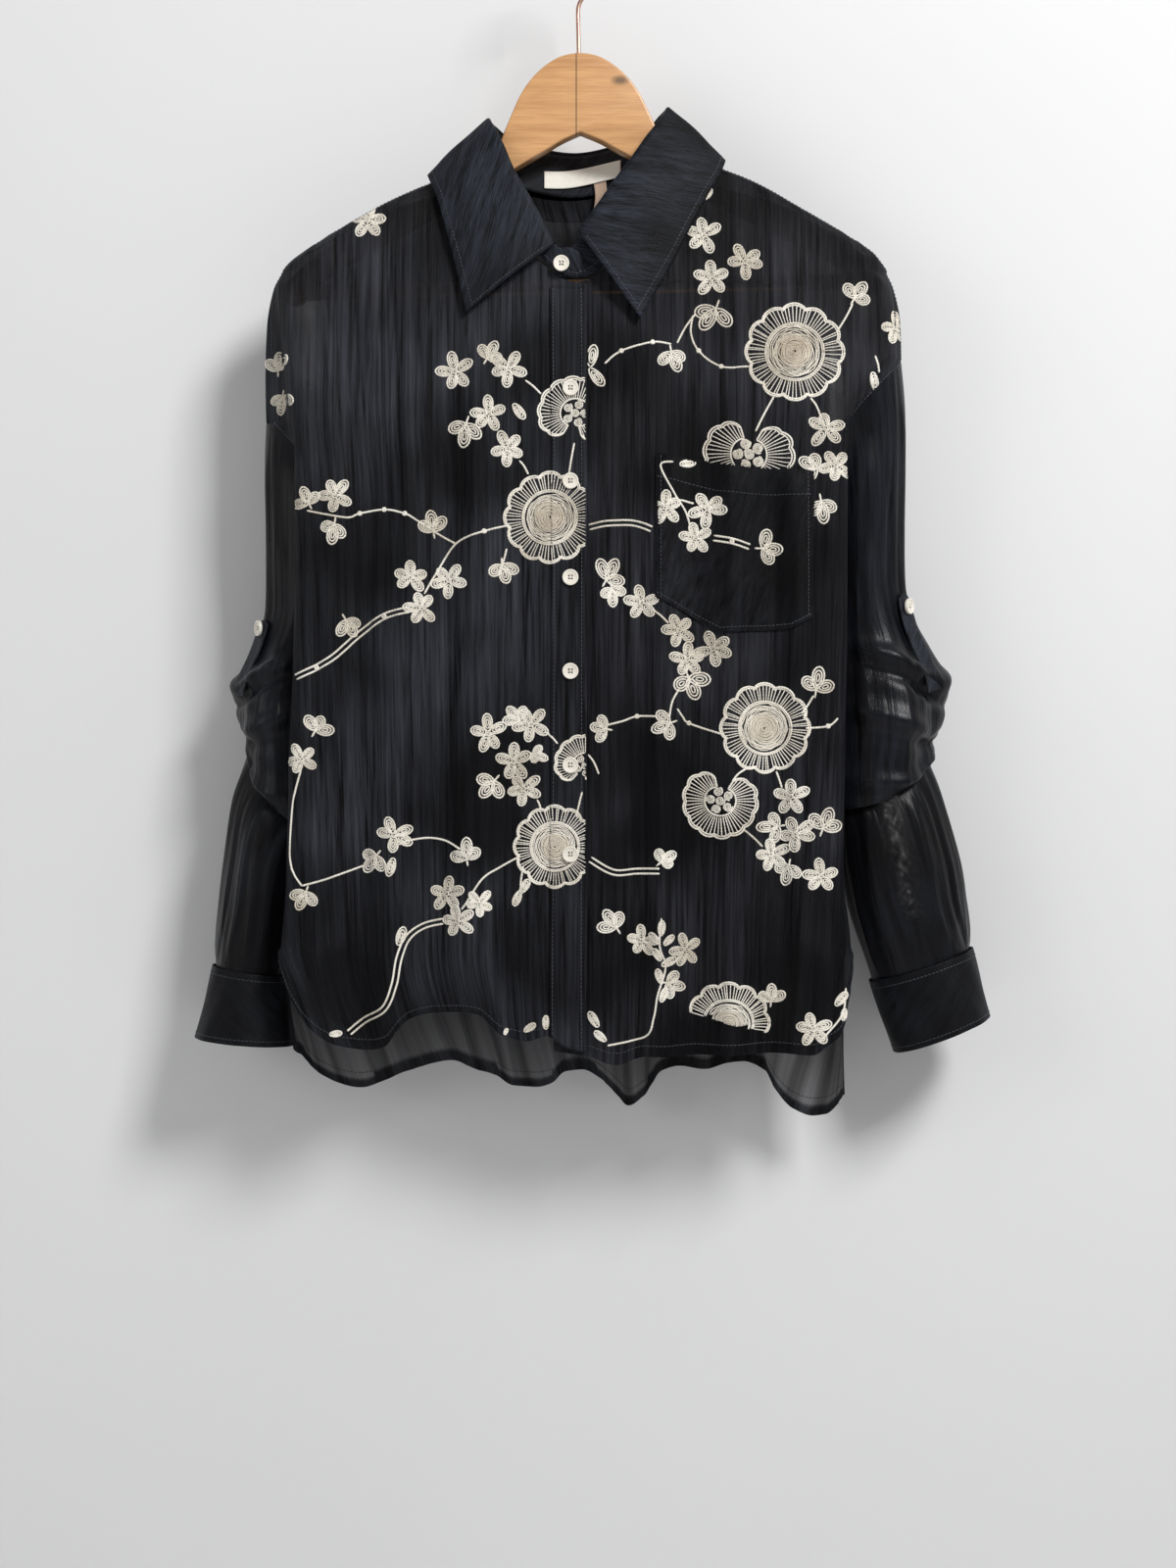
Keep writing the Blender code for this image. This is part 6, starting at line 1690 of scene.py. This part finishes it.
    def runs(self, thread: Thread) -> list[tuple[np.ndarray, np.ndarray]]:
        """The stretches of a thread that lie on the panel, evenly spaced: points and normals."""
        steps = np.linalg.norm(np.diff(thread.way, axis=0), axis=1)
        span = np.concatenate([[0.0], np.cumsum(steps)])
        if span[-1] < self.grain:
            return []
        at = np.linspace(0.0, span[-1], max(3, int(span[-1] / self.grain) + 1))
        way = np.stack([np.interp(at, span, thread.way[:, 0]), np.interp(at, span, thread.way[:, 1])], axis=1)
        made: list[list[tuple[Vector, Vector]]] = [[]]
        for (x, z), good in zip(way, self.keep(way)):
            hit, normal = self.touch(x, z) if good else (None, None)
            if hit is None or abs(normal.y) < 0.3:
                made.append([])
            else:
                made[-1].append((hit, normal if normal.y < 0.0 else -normal))
        return [tuple(np.array(part) for part in zip(*run)) for run in made if len(run) > 2]

    def touch(self, x: float, z: float) -> tuple[Vector | None, Vector | None]:
        """The outermost cloth at this place, and its normal."""
        hits = [sheet.from_front(x, z) for sheet in self.sheets]
        return min((hit for hit in hits if hit[0] is not None), key=lambda hit: hit[0].y, default=(None, None))

    def swept(self, run: tuple[np.ndarray, np.ndarray], thread: Thread) -> np.ndarray:
        """The thread's raised strip, pinched at every stitch."""
        spots, facing = run
        side = unit(np.cross(unit(np.gradient(spots, axis=0)), facing))
        number = np.arange(len(spots))
        pinch = 0.84 + 0.16 * np.cos(2.0 * math.pi * number * self.grain / self.stitch)
        pinch[[0, -1]] = 0.45
        wide = (thread.wide * 0.5 * pinch)[:, None]
        tall = (thread.tall * pinch)[:, None]
        base = spots + facing * (thread.lift - SUNK)
        top = facing * (tall + SUNK)
        inner = side * wide * 0.55
        return np.stack([base - side * wide, base - inner + top, base + inner + top, base + side * wide], axis=1)


@dataclass
class Stitching:
    """Rows of small machine stitches laid along lines on the cloth."""

    name: str
    stitch: float = 0.0021
    gap: float = 0.0009
    wide: float = 0.00055
    tall: float = 0.00035
    lines: list[tuple[np.ndarray, np.ndarray]] = field(default_factory=list)

    def along(self, sheet: Sheet, rows: Sequence[float] | slice, column: float | slice, lift: float = 0.0) -> None:
        """Adds a line along one column or one row of a sheet.

        Args:
            sheet: The cloth.
            rows: A slice of rows, or one row's number.
            column: One column's number, or a slice of columns.
            lift: How far off the sheet's points the cloth's surface is, in metres.
        """
        sign = -1.0 if sheet.flip else 1.0
        normal = sign * normals_of(sheet.grid)
        self.lines.append(((sheet.grid + normal * lift)[rows, column], normal[rows, column]))

    def build(self, material: Material, slot: str = "cloth") -> Object:
        """All the lines' stitches as one mesh."""
        points: list[np.ndarray] = []
        faces: list[np.ndarray] = []
        count = 0
        for way, facing in self.lines:
            span = np.concatenate([[0.0], np.cumsum(np.linalg.norm(np.diff(way, axis=0), axis=1))])
            starts = np.arange(self.gap, span[-1] - self.stitch, self.stitch + self.gap)
            if not len(starts):
                continue
            at = starts[:, None] + np.array([0.0, 0.3, 0.7, 1.0])[None, :] * self.stitch
            spot = np.stack([np.interp(at, span, way[:, i]) for i in range(3)], axis=2)
            out = np.stack([np.interp(at, span, facing[:, i]) for i in range(3)], axis=2)
            forward = spot[:, -1:] - spot[:, :1]
            side = unit(np.cross(forward, out))
            rise = np.array([0.0, 1.0, 1.0, 0.0])[None, :, None] * self.tall
            half = np.array([0.6, 1.0, 1.0, 0.6])[None, :, None] * self.wide / 2.0
            ring = np.stack([spot - side * half, spot + out * (rise + 0.00008), spot + side * half], axis=2)
            number = count + np.arange(len(starts))[:, None, None] * 12
            base = number + (np.arange(3)[:, None] * 3 + np.arange(2)[None, :])[None]
            faces.append(np.stack([base, base + 3, base + 4, base + 1], axis=-1).reshape(-1, 4))
            points.append(ring.reshape(-1, 3))
            count += len(starts) * 12
        return finished(meshed(self.name, points, faces), self.name, material, slot)


@dataclass
class Buttons:
    """Round four-hole buttons, modelled once and copied, each sewn on with a cross of thread."""

    radius: float = 5.75
    thick: float = 2.0
    rim: float = 1.15
    hole: float = 0.75
    spread: float = 1.45

    def model(self, material: Material) -> Object:
        """The button that the others are copied from, facing -Y with its middle at the origin."""
        piece = cylinder(40, self.radius, self.thick, (math.pi / 2, 0, 0))
        bpy.ops.object.transform_apply(location=False, rotation=True, scale=False)
        for part in (*piece.data.vertices, *piece.data.edges, *piece.data.polygons):
            part.select = False
        next(face for face in piece.data.polygons if face.normal.y < -0.9).select = True
        bpy.ops.object.mode_set(mode="EDIT")
        bpy.ops.mesh.select_mode(type="FACE")
        bpy.ops.mesh.inset(thickness=self.rim * MM, depth=0.0)
        bpy.ops.mesh.inset(thickness=0.5 * MM, depth=-0.55 * MM)
        bpy.ops.object.mode_set(mode="OBJECT")
        for i in range(4):
            turn = math.pi / 4 + i * math.pi / 2
            place = (self.spread * math.cos(turn), 0.0, self.spread * math.sin(turn))
            cutter = cylinder(12, self.hole, 8, (math.pi / 2, 0, 0), place)
            applied(piece, "BOOLEAN", object=cutter, operation="DIFFERENCE", solver="EXACT")
            bpy.data.objects.remove(cutter, do_unlink=True)
        applied(piece, "BEVEL", width=0.28 * MM, segments=2, limit_method="ANGLE", angle_limit=math.radians(40))
        piece.data.materials.clear()
        piece.data.materials.append(material)
        return piece

    def sewn(self, model: Object, name: str, place: Matrix, material: Material, node: str) -> Object:
        """A copy of the button in its place."""
        piece = model.copy()
        piece.data = model.data.copy()
        bpy.context.scene.collection.objects.link(piece)
        piece.data.transform(place)
        finished(piece, name, material, "button", node)
        alone(piece)
        bpy.ops.object.shade_smooth_by_angle(angle=math.radians(35))
        return piece

    def cross(self, place: Matrix) -> list[np.ndarray]:
        """The two strands of thread through the holes, as lines of points."""
        lines = []
        for turn in (math.pi / 4, 3 * math.pi / 4):
            share = np.linspace(-1.0, 1.0, 7)
            x = self.spread * share * math.cos(turn)
            z = self.spread * share * math.sin(turn)
            y = -self.thick / 2 + 0.25 - 0.4 * (1.0 - share**2)
            lines.append(np.array([place @ Vector((a * MM, b * MM, c * MM)) for a, b, c in zip(x, y, z)]))
        return lines


@dataclass
class Hanger:
    """The wooden hanger, its bar and its wire hook."""

    outline_steps: int = 6

    @staticmethod
    def turned(x: np.ndarray, z: np.ndarray) -> tuple[np.ndarray, np.ndarray]:
        """Places on the hanger, turned with it about the hook."""
        cos, sin = math.cos(HANGER_TURN), math.sin(HANGER_TURN)
        return x * cos - z * sin, x * sin + z * cos

    def wood(self) -> Object:
        """The arms: one smooth outline made thick, with rounded edges."""
        rows = np.array(WOOD_ROWS)
        mirror = np.concatenate([rows[3:0:-1, :2] * [-1, 1], rows[:, :2]])
        top = rounded(mirror, len(mirror) * self.outline_steps)
        under = rounded(rows[:, [0, 2]], len(rows) * self.outline_steps)
        half = np.concatenate([top[top[:, 0] >= -1e-6], under[::-1]])
        ring = np.concatenate([half, half[half[:, 0] > 0.4][::-1] * [-1, 1]])
        ring = ring[np.linalg.norm(ring - np.roll(ring, 1, axis=0), axis=1) > 0.25]
        alone()
        bpy.ops.mesh.primitive_circle_add(vertices=len(ring), radius=1.0, fill_type="NGON")
        piece = bpy.context.object
        x, z = self.turned(ring[:, 0], ring[:, 1])
        moved_to(piece.data, np.stack([x, np.full(len(x), -WOOD_THICK / 2), z], axis=1) * MM)
        back = {"value": (0, WOOD_THICK * MM, 0)}
        edited(piece, lambda: bpy.ops.mesh.extrude_region_move(TRANSFORM_OT_translate=back))
        edited(piece, lambda: bpy.ops.mesh.normals_make_consistent(inside=False))
        applied(piece, "BEVEL", width=WOOD_BEVEL * MM, segments=5, limit_method="ANGLE", angle_limit=math.radians(60))
        return piece

    def bar(self) -> Object:
        """The round bar between the arms, its ends cut to their slope."""
        piece = cylinder(32, BAR_RADIUS, 2.0 / MM, (0, math.pi / 2, 0))
        bpy.ops.object.transform_apply(location=False, rotation=True, scale=False)
        co = np.empty(len(piece.data.vertices) * 3)
        piece.data.vertices.foreach_get("co", co)
        co = co.reshape(-1, 3)
        z = BAR_Z + co[:, 2] / MM
        out = np.interp(-z, [-v for v in BAR_SLOPE_Z], BAR_ENDS)
        x, z = self.turned(np.sign(co[:, 0]) * out, z)
        moved_to(piece.data, np.stack([x * MM, co[:, 1], z * MM], axis=1))
        return piece

    def hook(self) -> Object:
        """The wire hook: a straight shank, a bend out and a loop."""
        centre = HOOK_INNER + WIRE_RADIUS
        path = [(0.0, WOOD_TOP - 3.0), (0.0, -72.0), (0.0, -58.0), (0.6, -52.0), (3.2, -46.5), (7.8, -41.0)]
        for degrees in range(-52, 209, 13):
            angle = math.radians(degrees)
            path.append((centre * math.cos(angle), -HOOK_INNER + centre * math.sin(angle)))
        points = rounded(np.array(path), 160)
        curve = bpy.data.curves.new("hanger_hook_wire", "CURVE")
        curve.dimensions = "3D"
        curve.bevel_depth = WIRE_RADIUS * MM
        curve.bevel_resolution = 5
        curve.use_fill_caps = True
        line = curve.splines.new("POLY")
        line.points.add(len(points) - 1)
        for spot, (x, z) in zip(line.points, points):
            if z < -45.0:
                x, z = self.turned(x, z)
            spot.co = (x * MM, 0.0, z * MM, 1.0)
        alone(placed("hanger_hook_wire", curve))
        bpy.ops.object.convert(target="MESH")
        return bpy.context.object


@dataclass
class Label:
    """The blank neck label and its blank tail."""

    columns: int = 40

    def strip(self) -> Sheet:
        """The label, standing off the inside of the stand."""
        edge = rounded(np.array(LABEL_ROWS), self.columns)
        drop = np.linspace(0.0, 1.0, 12)[None, :, None]
        fall = np.array([0.0, -LABEL_LEAN, -LABEL_TALL]) * drop
        wave = np.sin(np.linspace(0.0, 5.0, self.columns))[:, None, None] * np.array([0.0, 0.35, 0.0]) * drop
        return Sheet((edge[:, None] + fall + wave) * MM)

    def tail(self) -> Sheet:
        """The narrow folded tail under the label."""
        half = TAIL_WIDE / 2
        at = np.array([TAIL_X - half, TAIL_X + half])
        label_x, label_y, label_z = np.array(LABEL_ROWS).T
        y, z = np.interp(at, label_x, label_y) - LABEL_LEAN, np.interp(at, label_x, label_z) - (LABEL_TALL + TAIL_GAP)
        rows = [np.stack([at, y, z], axis=1)] + [[(x - half, y, z), (x + half, y, z)] for x, y, z in TAIL_ROWS]
        down = rounded(np.array(rows), 30)
        share = np.linspace(0.0, 1.0, 8)[None, :, None]
        grid = down[:, :1] + (down[:, 1:] - down[:, :1]) * share
        grid[..., 1] += 0.5 * np.sin(share[..., 0] * math.pi)
        return Sheet(grid * MM)


class Studio:
    """Camera, lights, wall and floor."""

    def camera(self) -> None:
        """The level camera of the photograph."""
        camera = bpy.data.cameras.new("camera")
        camera.sensor_width = SENSOR
        camera.lens = SENSOR * (PLANE_Y - EYE.y) / (PICTURE[1] * PIXEL)
        eye = placed("camera", camera)
        eye.location = EYE
        eye.rotation_euler = (math.pi / 2, 0.0, 0.0)
        bpy.context.scene.camera = eye

    def lights(self) -> None:
        """A broad key light from the upper right, a weaker one from the left, and soft light all round."""
        for name, place, aim, size, power in (
            ("key", (1.2, -1.8, 1.05), (-0.16, 0.0, -0.55), 0.7, 63.0),
            ("fill", (-1.9, -1.7, -0.1), (0.0, 0.0, -0.6), 1.2, 11.0),
        ):
            light = bpy.data.lights.new(name, "AREA")
            light.size = size
            light.energy = power
            lamp = placed(name, light)
            lamp.location = place
            lamp.rotation_euler = (Vector(aim) - Vector(place)).to_track_quat("-Z", "Y").to_euler()
        world = bpy.data.worlds.new("studio")
        world.use_nodes = True
        sky = {"Color": (0.985, 0.99, 1.0, 1.0), "Strength": 0.26}
        Nodes(world.node_tree).fill(world.node_tree.nodes["Background"], sky)
        bpy.context.scene.world = world
        bpy.context.scene.view_settings.view_transform = "Standard"

    def room(self) -> None:
        """The wall close behind the shirt, and the floor well below it."""
        wall_paint = PaintFinish("wall_paint", (0.71, 0.71, 0.712), (0.76, 0.76, 0.762)).made()
        floor_paint = PaintFinish("floor_paint", (0.66, 0.66, 0.66), (0.72, 0.72, 0.72)).made()
        for name, place, turn, paint in (
            ("wall", (0.0, 0.078, -0.2), (math.pi / 2, 0.0, 0.0), wall_paint),
            ("floor", (0.0, -0.9, -1.42), (0.0, 0.0, 0.0), floor_paint),
        ):
            alone()
            bpy.ops.mesh.primitive_plane_add(size=5.0, location=place, rotation=turn)
            plane = bpy.context.object
            plane.name = name
            plane.data.materials.append(paint)


def clothed(
    sheet: Sheet, name: str, material: Material, slot: str, node: str, flat: tuple[float, float],
    wall: float = 0.0,
) -> None:
    """Builds one sheet's piece and declares its cut.

    Args:
        sheet: The sheet.
        name: The piece's name.
        material: Its material.
        slot: Its slot's name, handed on but not used.
        node: The solid that it stands for.
        flat: The width and length that it is cut to, in metres.
        wall: Its thickness in millimetres, or 0 for a single surface.
    """
    piece = sheet.object()
    if wall:
        applied(piece, "SOLIDIFY", thickness=wall * MM, offset=0.0)
    finished(piece, name, material, slot, node)
    log.info("%s: %.4f square metres laid, cut %.3f x %.3f", name, sheet.area(), *flat)


@dataclass
class Shirt:
    """The whole shirt: it lays the cloth, the embroidery, the buttons and the stitching."""

    # Painted light: the right front and its band get brighter painted highlights than the left front, a lit and a
    # shaded copy of one voile
    painted_lit_front: Material
    painted_shaded_front: Material
    sheerest: Material
    pocket_cloth: Material
    sleeve_cloth: Material
    opaque: Material
    thread: Material
    seam_thread: Material
    shell: Material
    body: Body = field(default_factory=Body)
    collar: Collar = field(default_factory=Collar)

    def build(self) -> None:
        """Every piece of the shirt."""
        right, left = self.body.front(RIGHT), self.body.front(LEFT)
        back, band, pocket = self.body.back(), self.body.band(), self.body.pocket()
        leaf, stand = self.collar.leaf(), self.collar.stand()
        wood = "hanger_wood"
        for sheet, node, material, flat, held, rests_on, wall in (
            (right, "front_right", self.painted_lit_front, (0.30, 0.70), "hung", wood, 0.0),
            (left, "front_left", self.painted_shaded_front, (0.31, 0.70), "hung", wood, 0.0),
            (back, "back", self.sheerest, (0.54, 0.74), "hung", wood, 0.0),
            (band, "placket", self.painted_lit_front, (0.03, 0.56), "laid", "front_right_cloth", 0.3),
            (pocket, "pocket", self.pocket_cloth, (0.118, 0.125), "hung", "front_left_cloth", 0.0),
            (leaf, "collar_leaf", self.opaque, (0.46, 0.09), "folded", "collar_stand_cloth", 1.1),
            (stand, "collar_stand", self.opaque, (0.40, 0.036), "hung", wood, 1.0),
        ):
            clothed(sheet, f"{node}_cloth", material, "cloth", node, flat, wall)
        sleeves = self.sleeves()
        self.embroider(right, left, band, pocket)
        self.stitch(right, left, back, band, pocket)
        self.stitch_collar(leaf, stand, sleeves)
        self.button(band, sleeves)

    def sleeves(self) -> dict[str, tuple[Sleeve, Sheet]]:
        """Both sleeves with their cuffs and tabs."""
        made = {}
        for name, sleeve in (
            ("left", Sleeve(1, SLEEVE_LEFT, POUF_LEFT, CUFF_LEFT, TAB_LEFT, TAB_TURNS[0])),
            ("right", Sleeve(-1, SLEEVE_RIGHT, POUF_RIGHT, CUFF_RIGHT, TAB_RIGHT, TAB_TURNS[1])),
        ):
            tube, cuff, tab = sleeve.sheet(), sleeve.cuff_sheet(), sleeve.tab_sheet()
            for sheet, kind, material, flat, above, wall in (
                (tube, "sleeve", self.sleeve_cloth, (0.25, 0.56), "front", 0.0),
                (cuff, "cuff", self.opaque, (0.25, 0.055), "sleeve", 1.1),
                (tab, "tab", self.opaque, (0.018, 0.075), "sleeve", 0.7),
            ):
                node, rests_on = f"{kind}_{name}", f"{above}_{name}_cloth"
                clothed(sheet, f"{node}_cloth", material, "cloth", node, flat, wall)
            made[name] = (sleeve, cuff)
        return made

    def embroider(self, right: Sheet, left: Sheet, band: Sheet, pocket: Sheet) -> None:
        """The embroidery of the three panels, cut where the band and the pocket cover it."""
        edge = OVERLAP * MM
        for name, motifs_there, stems, sheets, keep, seed in (
            ("right", RIGHT_MOTIFS, RIGHT_STEMS, [right, band], lambda way: way[:, 0] < edge - BAND_MARGIN, 11),
            (
                "left", LEFT_MOTIFS, LEFT_STEMS, [left],
                lambda way: (way[:, 0] > edge + UNDER_MARGIN) & ~inside_pocket(way, ROUND_MARGIN), 23,
            ),
            ("pocket", POCKET_MOTIFS, POCKET_STEMS, [pocket], lambda way: inside_pocket(way, -POCKET_MARGIN), 31),
        ):
            Embroidery(f"embroidery_{name}", motifs_there, stems, sheets, keep, seed=seed).build(self.thread)

    def stitch(self, right: Sheet, left: Sheet, back: Sheet, band: Sheet, pocket: Sheet) -> None:
        """The machine stitching along the body's edges, hems and seams."""
        whole, body = slice(None), Stitching("stitching_body")
        for sheet, rows, columns, lift in (
            (right, -4, whole, ON_SINGLE), (left, -4, whole, ON_SINGLE), (back, -4, whole, ON_SINGLE),
            (band, whole, 2, ON_BAND), (band, whole, -2, ON_BAND),
            (pocket, whole, 2, ON_SINGLE), (pocket, whole, -3, ON_SINGLE),
            (pocket, -3, whole, ON_SINGLE), (pocket, 11, whole, ON_SINGLE),
            (right, whole, -3, ON_SINGLE), (left, whole, -3, ON_SINGLE),
        ):
            body.along(sheet, rows, columns, lift)
        body.build(self.seam_thread)

    def stitch_collar(self, leaf: Sheet, stand: Sheet, sleeves: dict[str, tuple[Sleeve, Sheet]]) -> None:
        """The machine stitching along the collar's and the cuffs' edges."""
        whole, collar = slice(None), Stitching("stitching_collar")
        collar.along(leaf, whole, -3, ON_DOUBLE)
        collar.along(leaf, 2, slice(8, -2), ON_DOUBLE)
        collar.along(leaf, -3, slice(8, -2), ON_DOUBLE)
        collar.along(stand, whole, -3, ON_STAND)
        for _, cuff in sleeves.values():
            collar.along(cuff, 3, whole, ON_DOUBLE)
            collar.along(cuff, -4, whole, ON_DOUBLE)
            collar.along(cuff, slice(3, -3), -4, ON_DOUBLE)
        collar.build(self.seam_thread)

    def button(self, band: Sheet, sleeves: dict[str, tuple[Sleeve, Sheet]]) -> None:
        """Every button and its thread."""
        maker = Buttons()
        model = maker.model(self.shell)
        places = {"button_stand": Matrix.Translation(Vector(STAND_BUTTON) * MM)}
        for number, z in enumerate(BUTTON_HEIGHTS, 1):
            hit = band.from_front(BUTTON_X * MM, z * MM)[0]
            places[f"button_front_{number}"] = Matrix.Translation((BUTTON_X * MM, hit.y - BUTTON_LIFT, z * MM))
        for name, turn, index in zip(("left", "right"), TAB_TURNS, TAB_BUTTONS):
            sleeve = sleeves[name][0]
            spot = sleeve.points(np.array([index]), np.array([[turn]]), TAB_LIFT + 0.6 + 1.2 + 1.0)[0, 0]
            spin = Matrix.Rotation(sleeve.sign * math.radians(90.0 + turn), 4, "Z")
            places[f"button_tab_{name}"] = Matrix.Translation(Vector(spot) * MM) @ spin
        for name, z in zip(("left", "right"), CUFF_BUTTON_Z):
            sleeve = sleeves[name][0]
            _, _, out, y, half_out, half_y = sleeve.cuff[1]
            turn = CUFF_START + CUFF_LAP * 0.5
            reach = CUFF_STEP + 0.8 + 1.2 + 0.5
            spot = (sleeve.sign * (out + (half_out + reach) * math.cos(turn)), y + (half_y + reach) * math.sin(turn), z)
            spin = Matrix.Rotation(math.pi - sleeve.sign * (math.pi / 2 - turn), 4, "Z")
            places[f"button_cuff_{name}"] = Matrix.Translation(Vector(spot) * MM) @ spin
        sewing = Stitching("button_thread", stitch=0.0026, gap=0.0001, wide=0.0007, tall=0.0003)
        for name, place in places.items():
            maker.sewn(model, f"{name}_shell", place, self.shell, name)
            for line in maker.cross(place):
                facing = place.to_3x3() @ Vector((0.0, -1.0, 0.0))
                sewing.lines.append((line, np.tile(facing, (len(line), 1))))
        bpy.data.objects.remove(model, do_unlink=True)
        sewing.build(self.thread, "button")


def main() -> None:
    """Builds the shirt, its hanger and the studio, and reports each piece."""
    logging.basicConfig(level=logging.INFO, format="%(name)s: %(message)s")
    studio = Studio()
    studio.camera()
    wood = WoodFinish("hanger_wood_varnish").made()
    bar_wood = WoodFinish("hanger_bar_varnish", seam=False).made()
    hanger = Hanger()
    finished(hanger.wood(), "hanger_wood_arms", wood, "wood", "hanger_wood")
    finished(hanger.bar(), "hanger_bar_round", bar_wood, "wood", "hanger_bar")
    finished(hanger.hook(), "hanger_hook_wire", WireFinish("hook_wire").made(), "wire", "hanger_hook")
    # Each cloth finish's light colour is its painted highlight; the right front's is a lit copy and the left front's a
    # shaded copy of one voile, as painted light and painted shade
    shirt = Shirt(
        painted_lit_front=ClothFinish(
            "black_voile_right_front_painted_lit", light=(0.062, 0.065, 0.080), cover=0.965, thin=0.92, spec=0.07
        ).made(),
        painted_shaded_front=ClothFinish(
            "black_voile_left_front_painted_shade", light=(0.046, 0.047, 0.057), cover=0.975, thin=0.94, spec=0.06
        ).made(),
        sheerest=ClothFinish("black_voile_back", cover=0.91, thin=0.74, spec=0.08).made(),
        pocket_cloth=ClothFinish(
            "black_voile_pocket", light=(0.020, 0.021, 0.027), cover=0.97, thin=0.93, across=260.0, along=60.0,
            turn=0.35, depth=0.002, spec=0.08,
        ).made(),
        sleeve_cloth=ClothFinish(
            "black_voile_sleeve", light=(0.019, 0.021, 0.029), cover=0.985, thin=0.95, across=300.0, along=20.0,
            depth=0.0010, spec=0.17, rough=0.30,
        ).made(),
        opaque=ClothFinish(
            "black_voile_double", light=(0.042, 0.049, 0.068), cover=1.0, across=820.0, along=70.0, turn=0.9,
            depth=0.0009, spec=0.11,
        ).made(),
        thread=ThreadFinish("cream_thread").made(),
        # Black thread with its lighter tone raised to grey, so the stitched edges show a thin light line: partly the
        # thread's own colour, partly a painted highlight
        seam_thread=ThreadFinish("black_thread", (0.012, 0.013, 0.018), (0.06, 0.064, 0.08)).made(),
        shell=PlasticFinish("button_shell").made(),
    )
    shirt.build()
    label = Label()
    tape = TapeFinish("label_tape", (0.70, 0.66, 0.57), (0.88, 0.85, 0.78)).made()
    tail_tape = TapeFinish("label_tail_tape", (0.30, 0.19, 0.13), (0.50, 0.36, 0.27)).made()
    for sheet, name, material, node, flat in (
        (label.strip(), "neck_label_tape", tape, "neck_label", (0.058, 0.015)),
        (label.tail(), "label_tail_tape", tail_tape, "label_tail", (0.010, 0.025)),
    ):
        clothed(sheet, name, material, "label", node, flat, 0.35)
    studio.lights()
    studio.room()


if __name__ == "__main__":
    main()
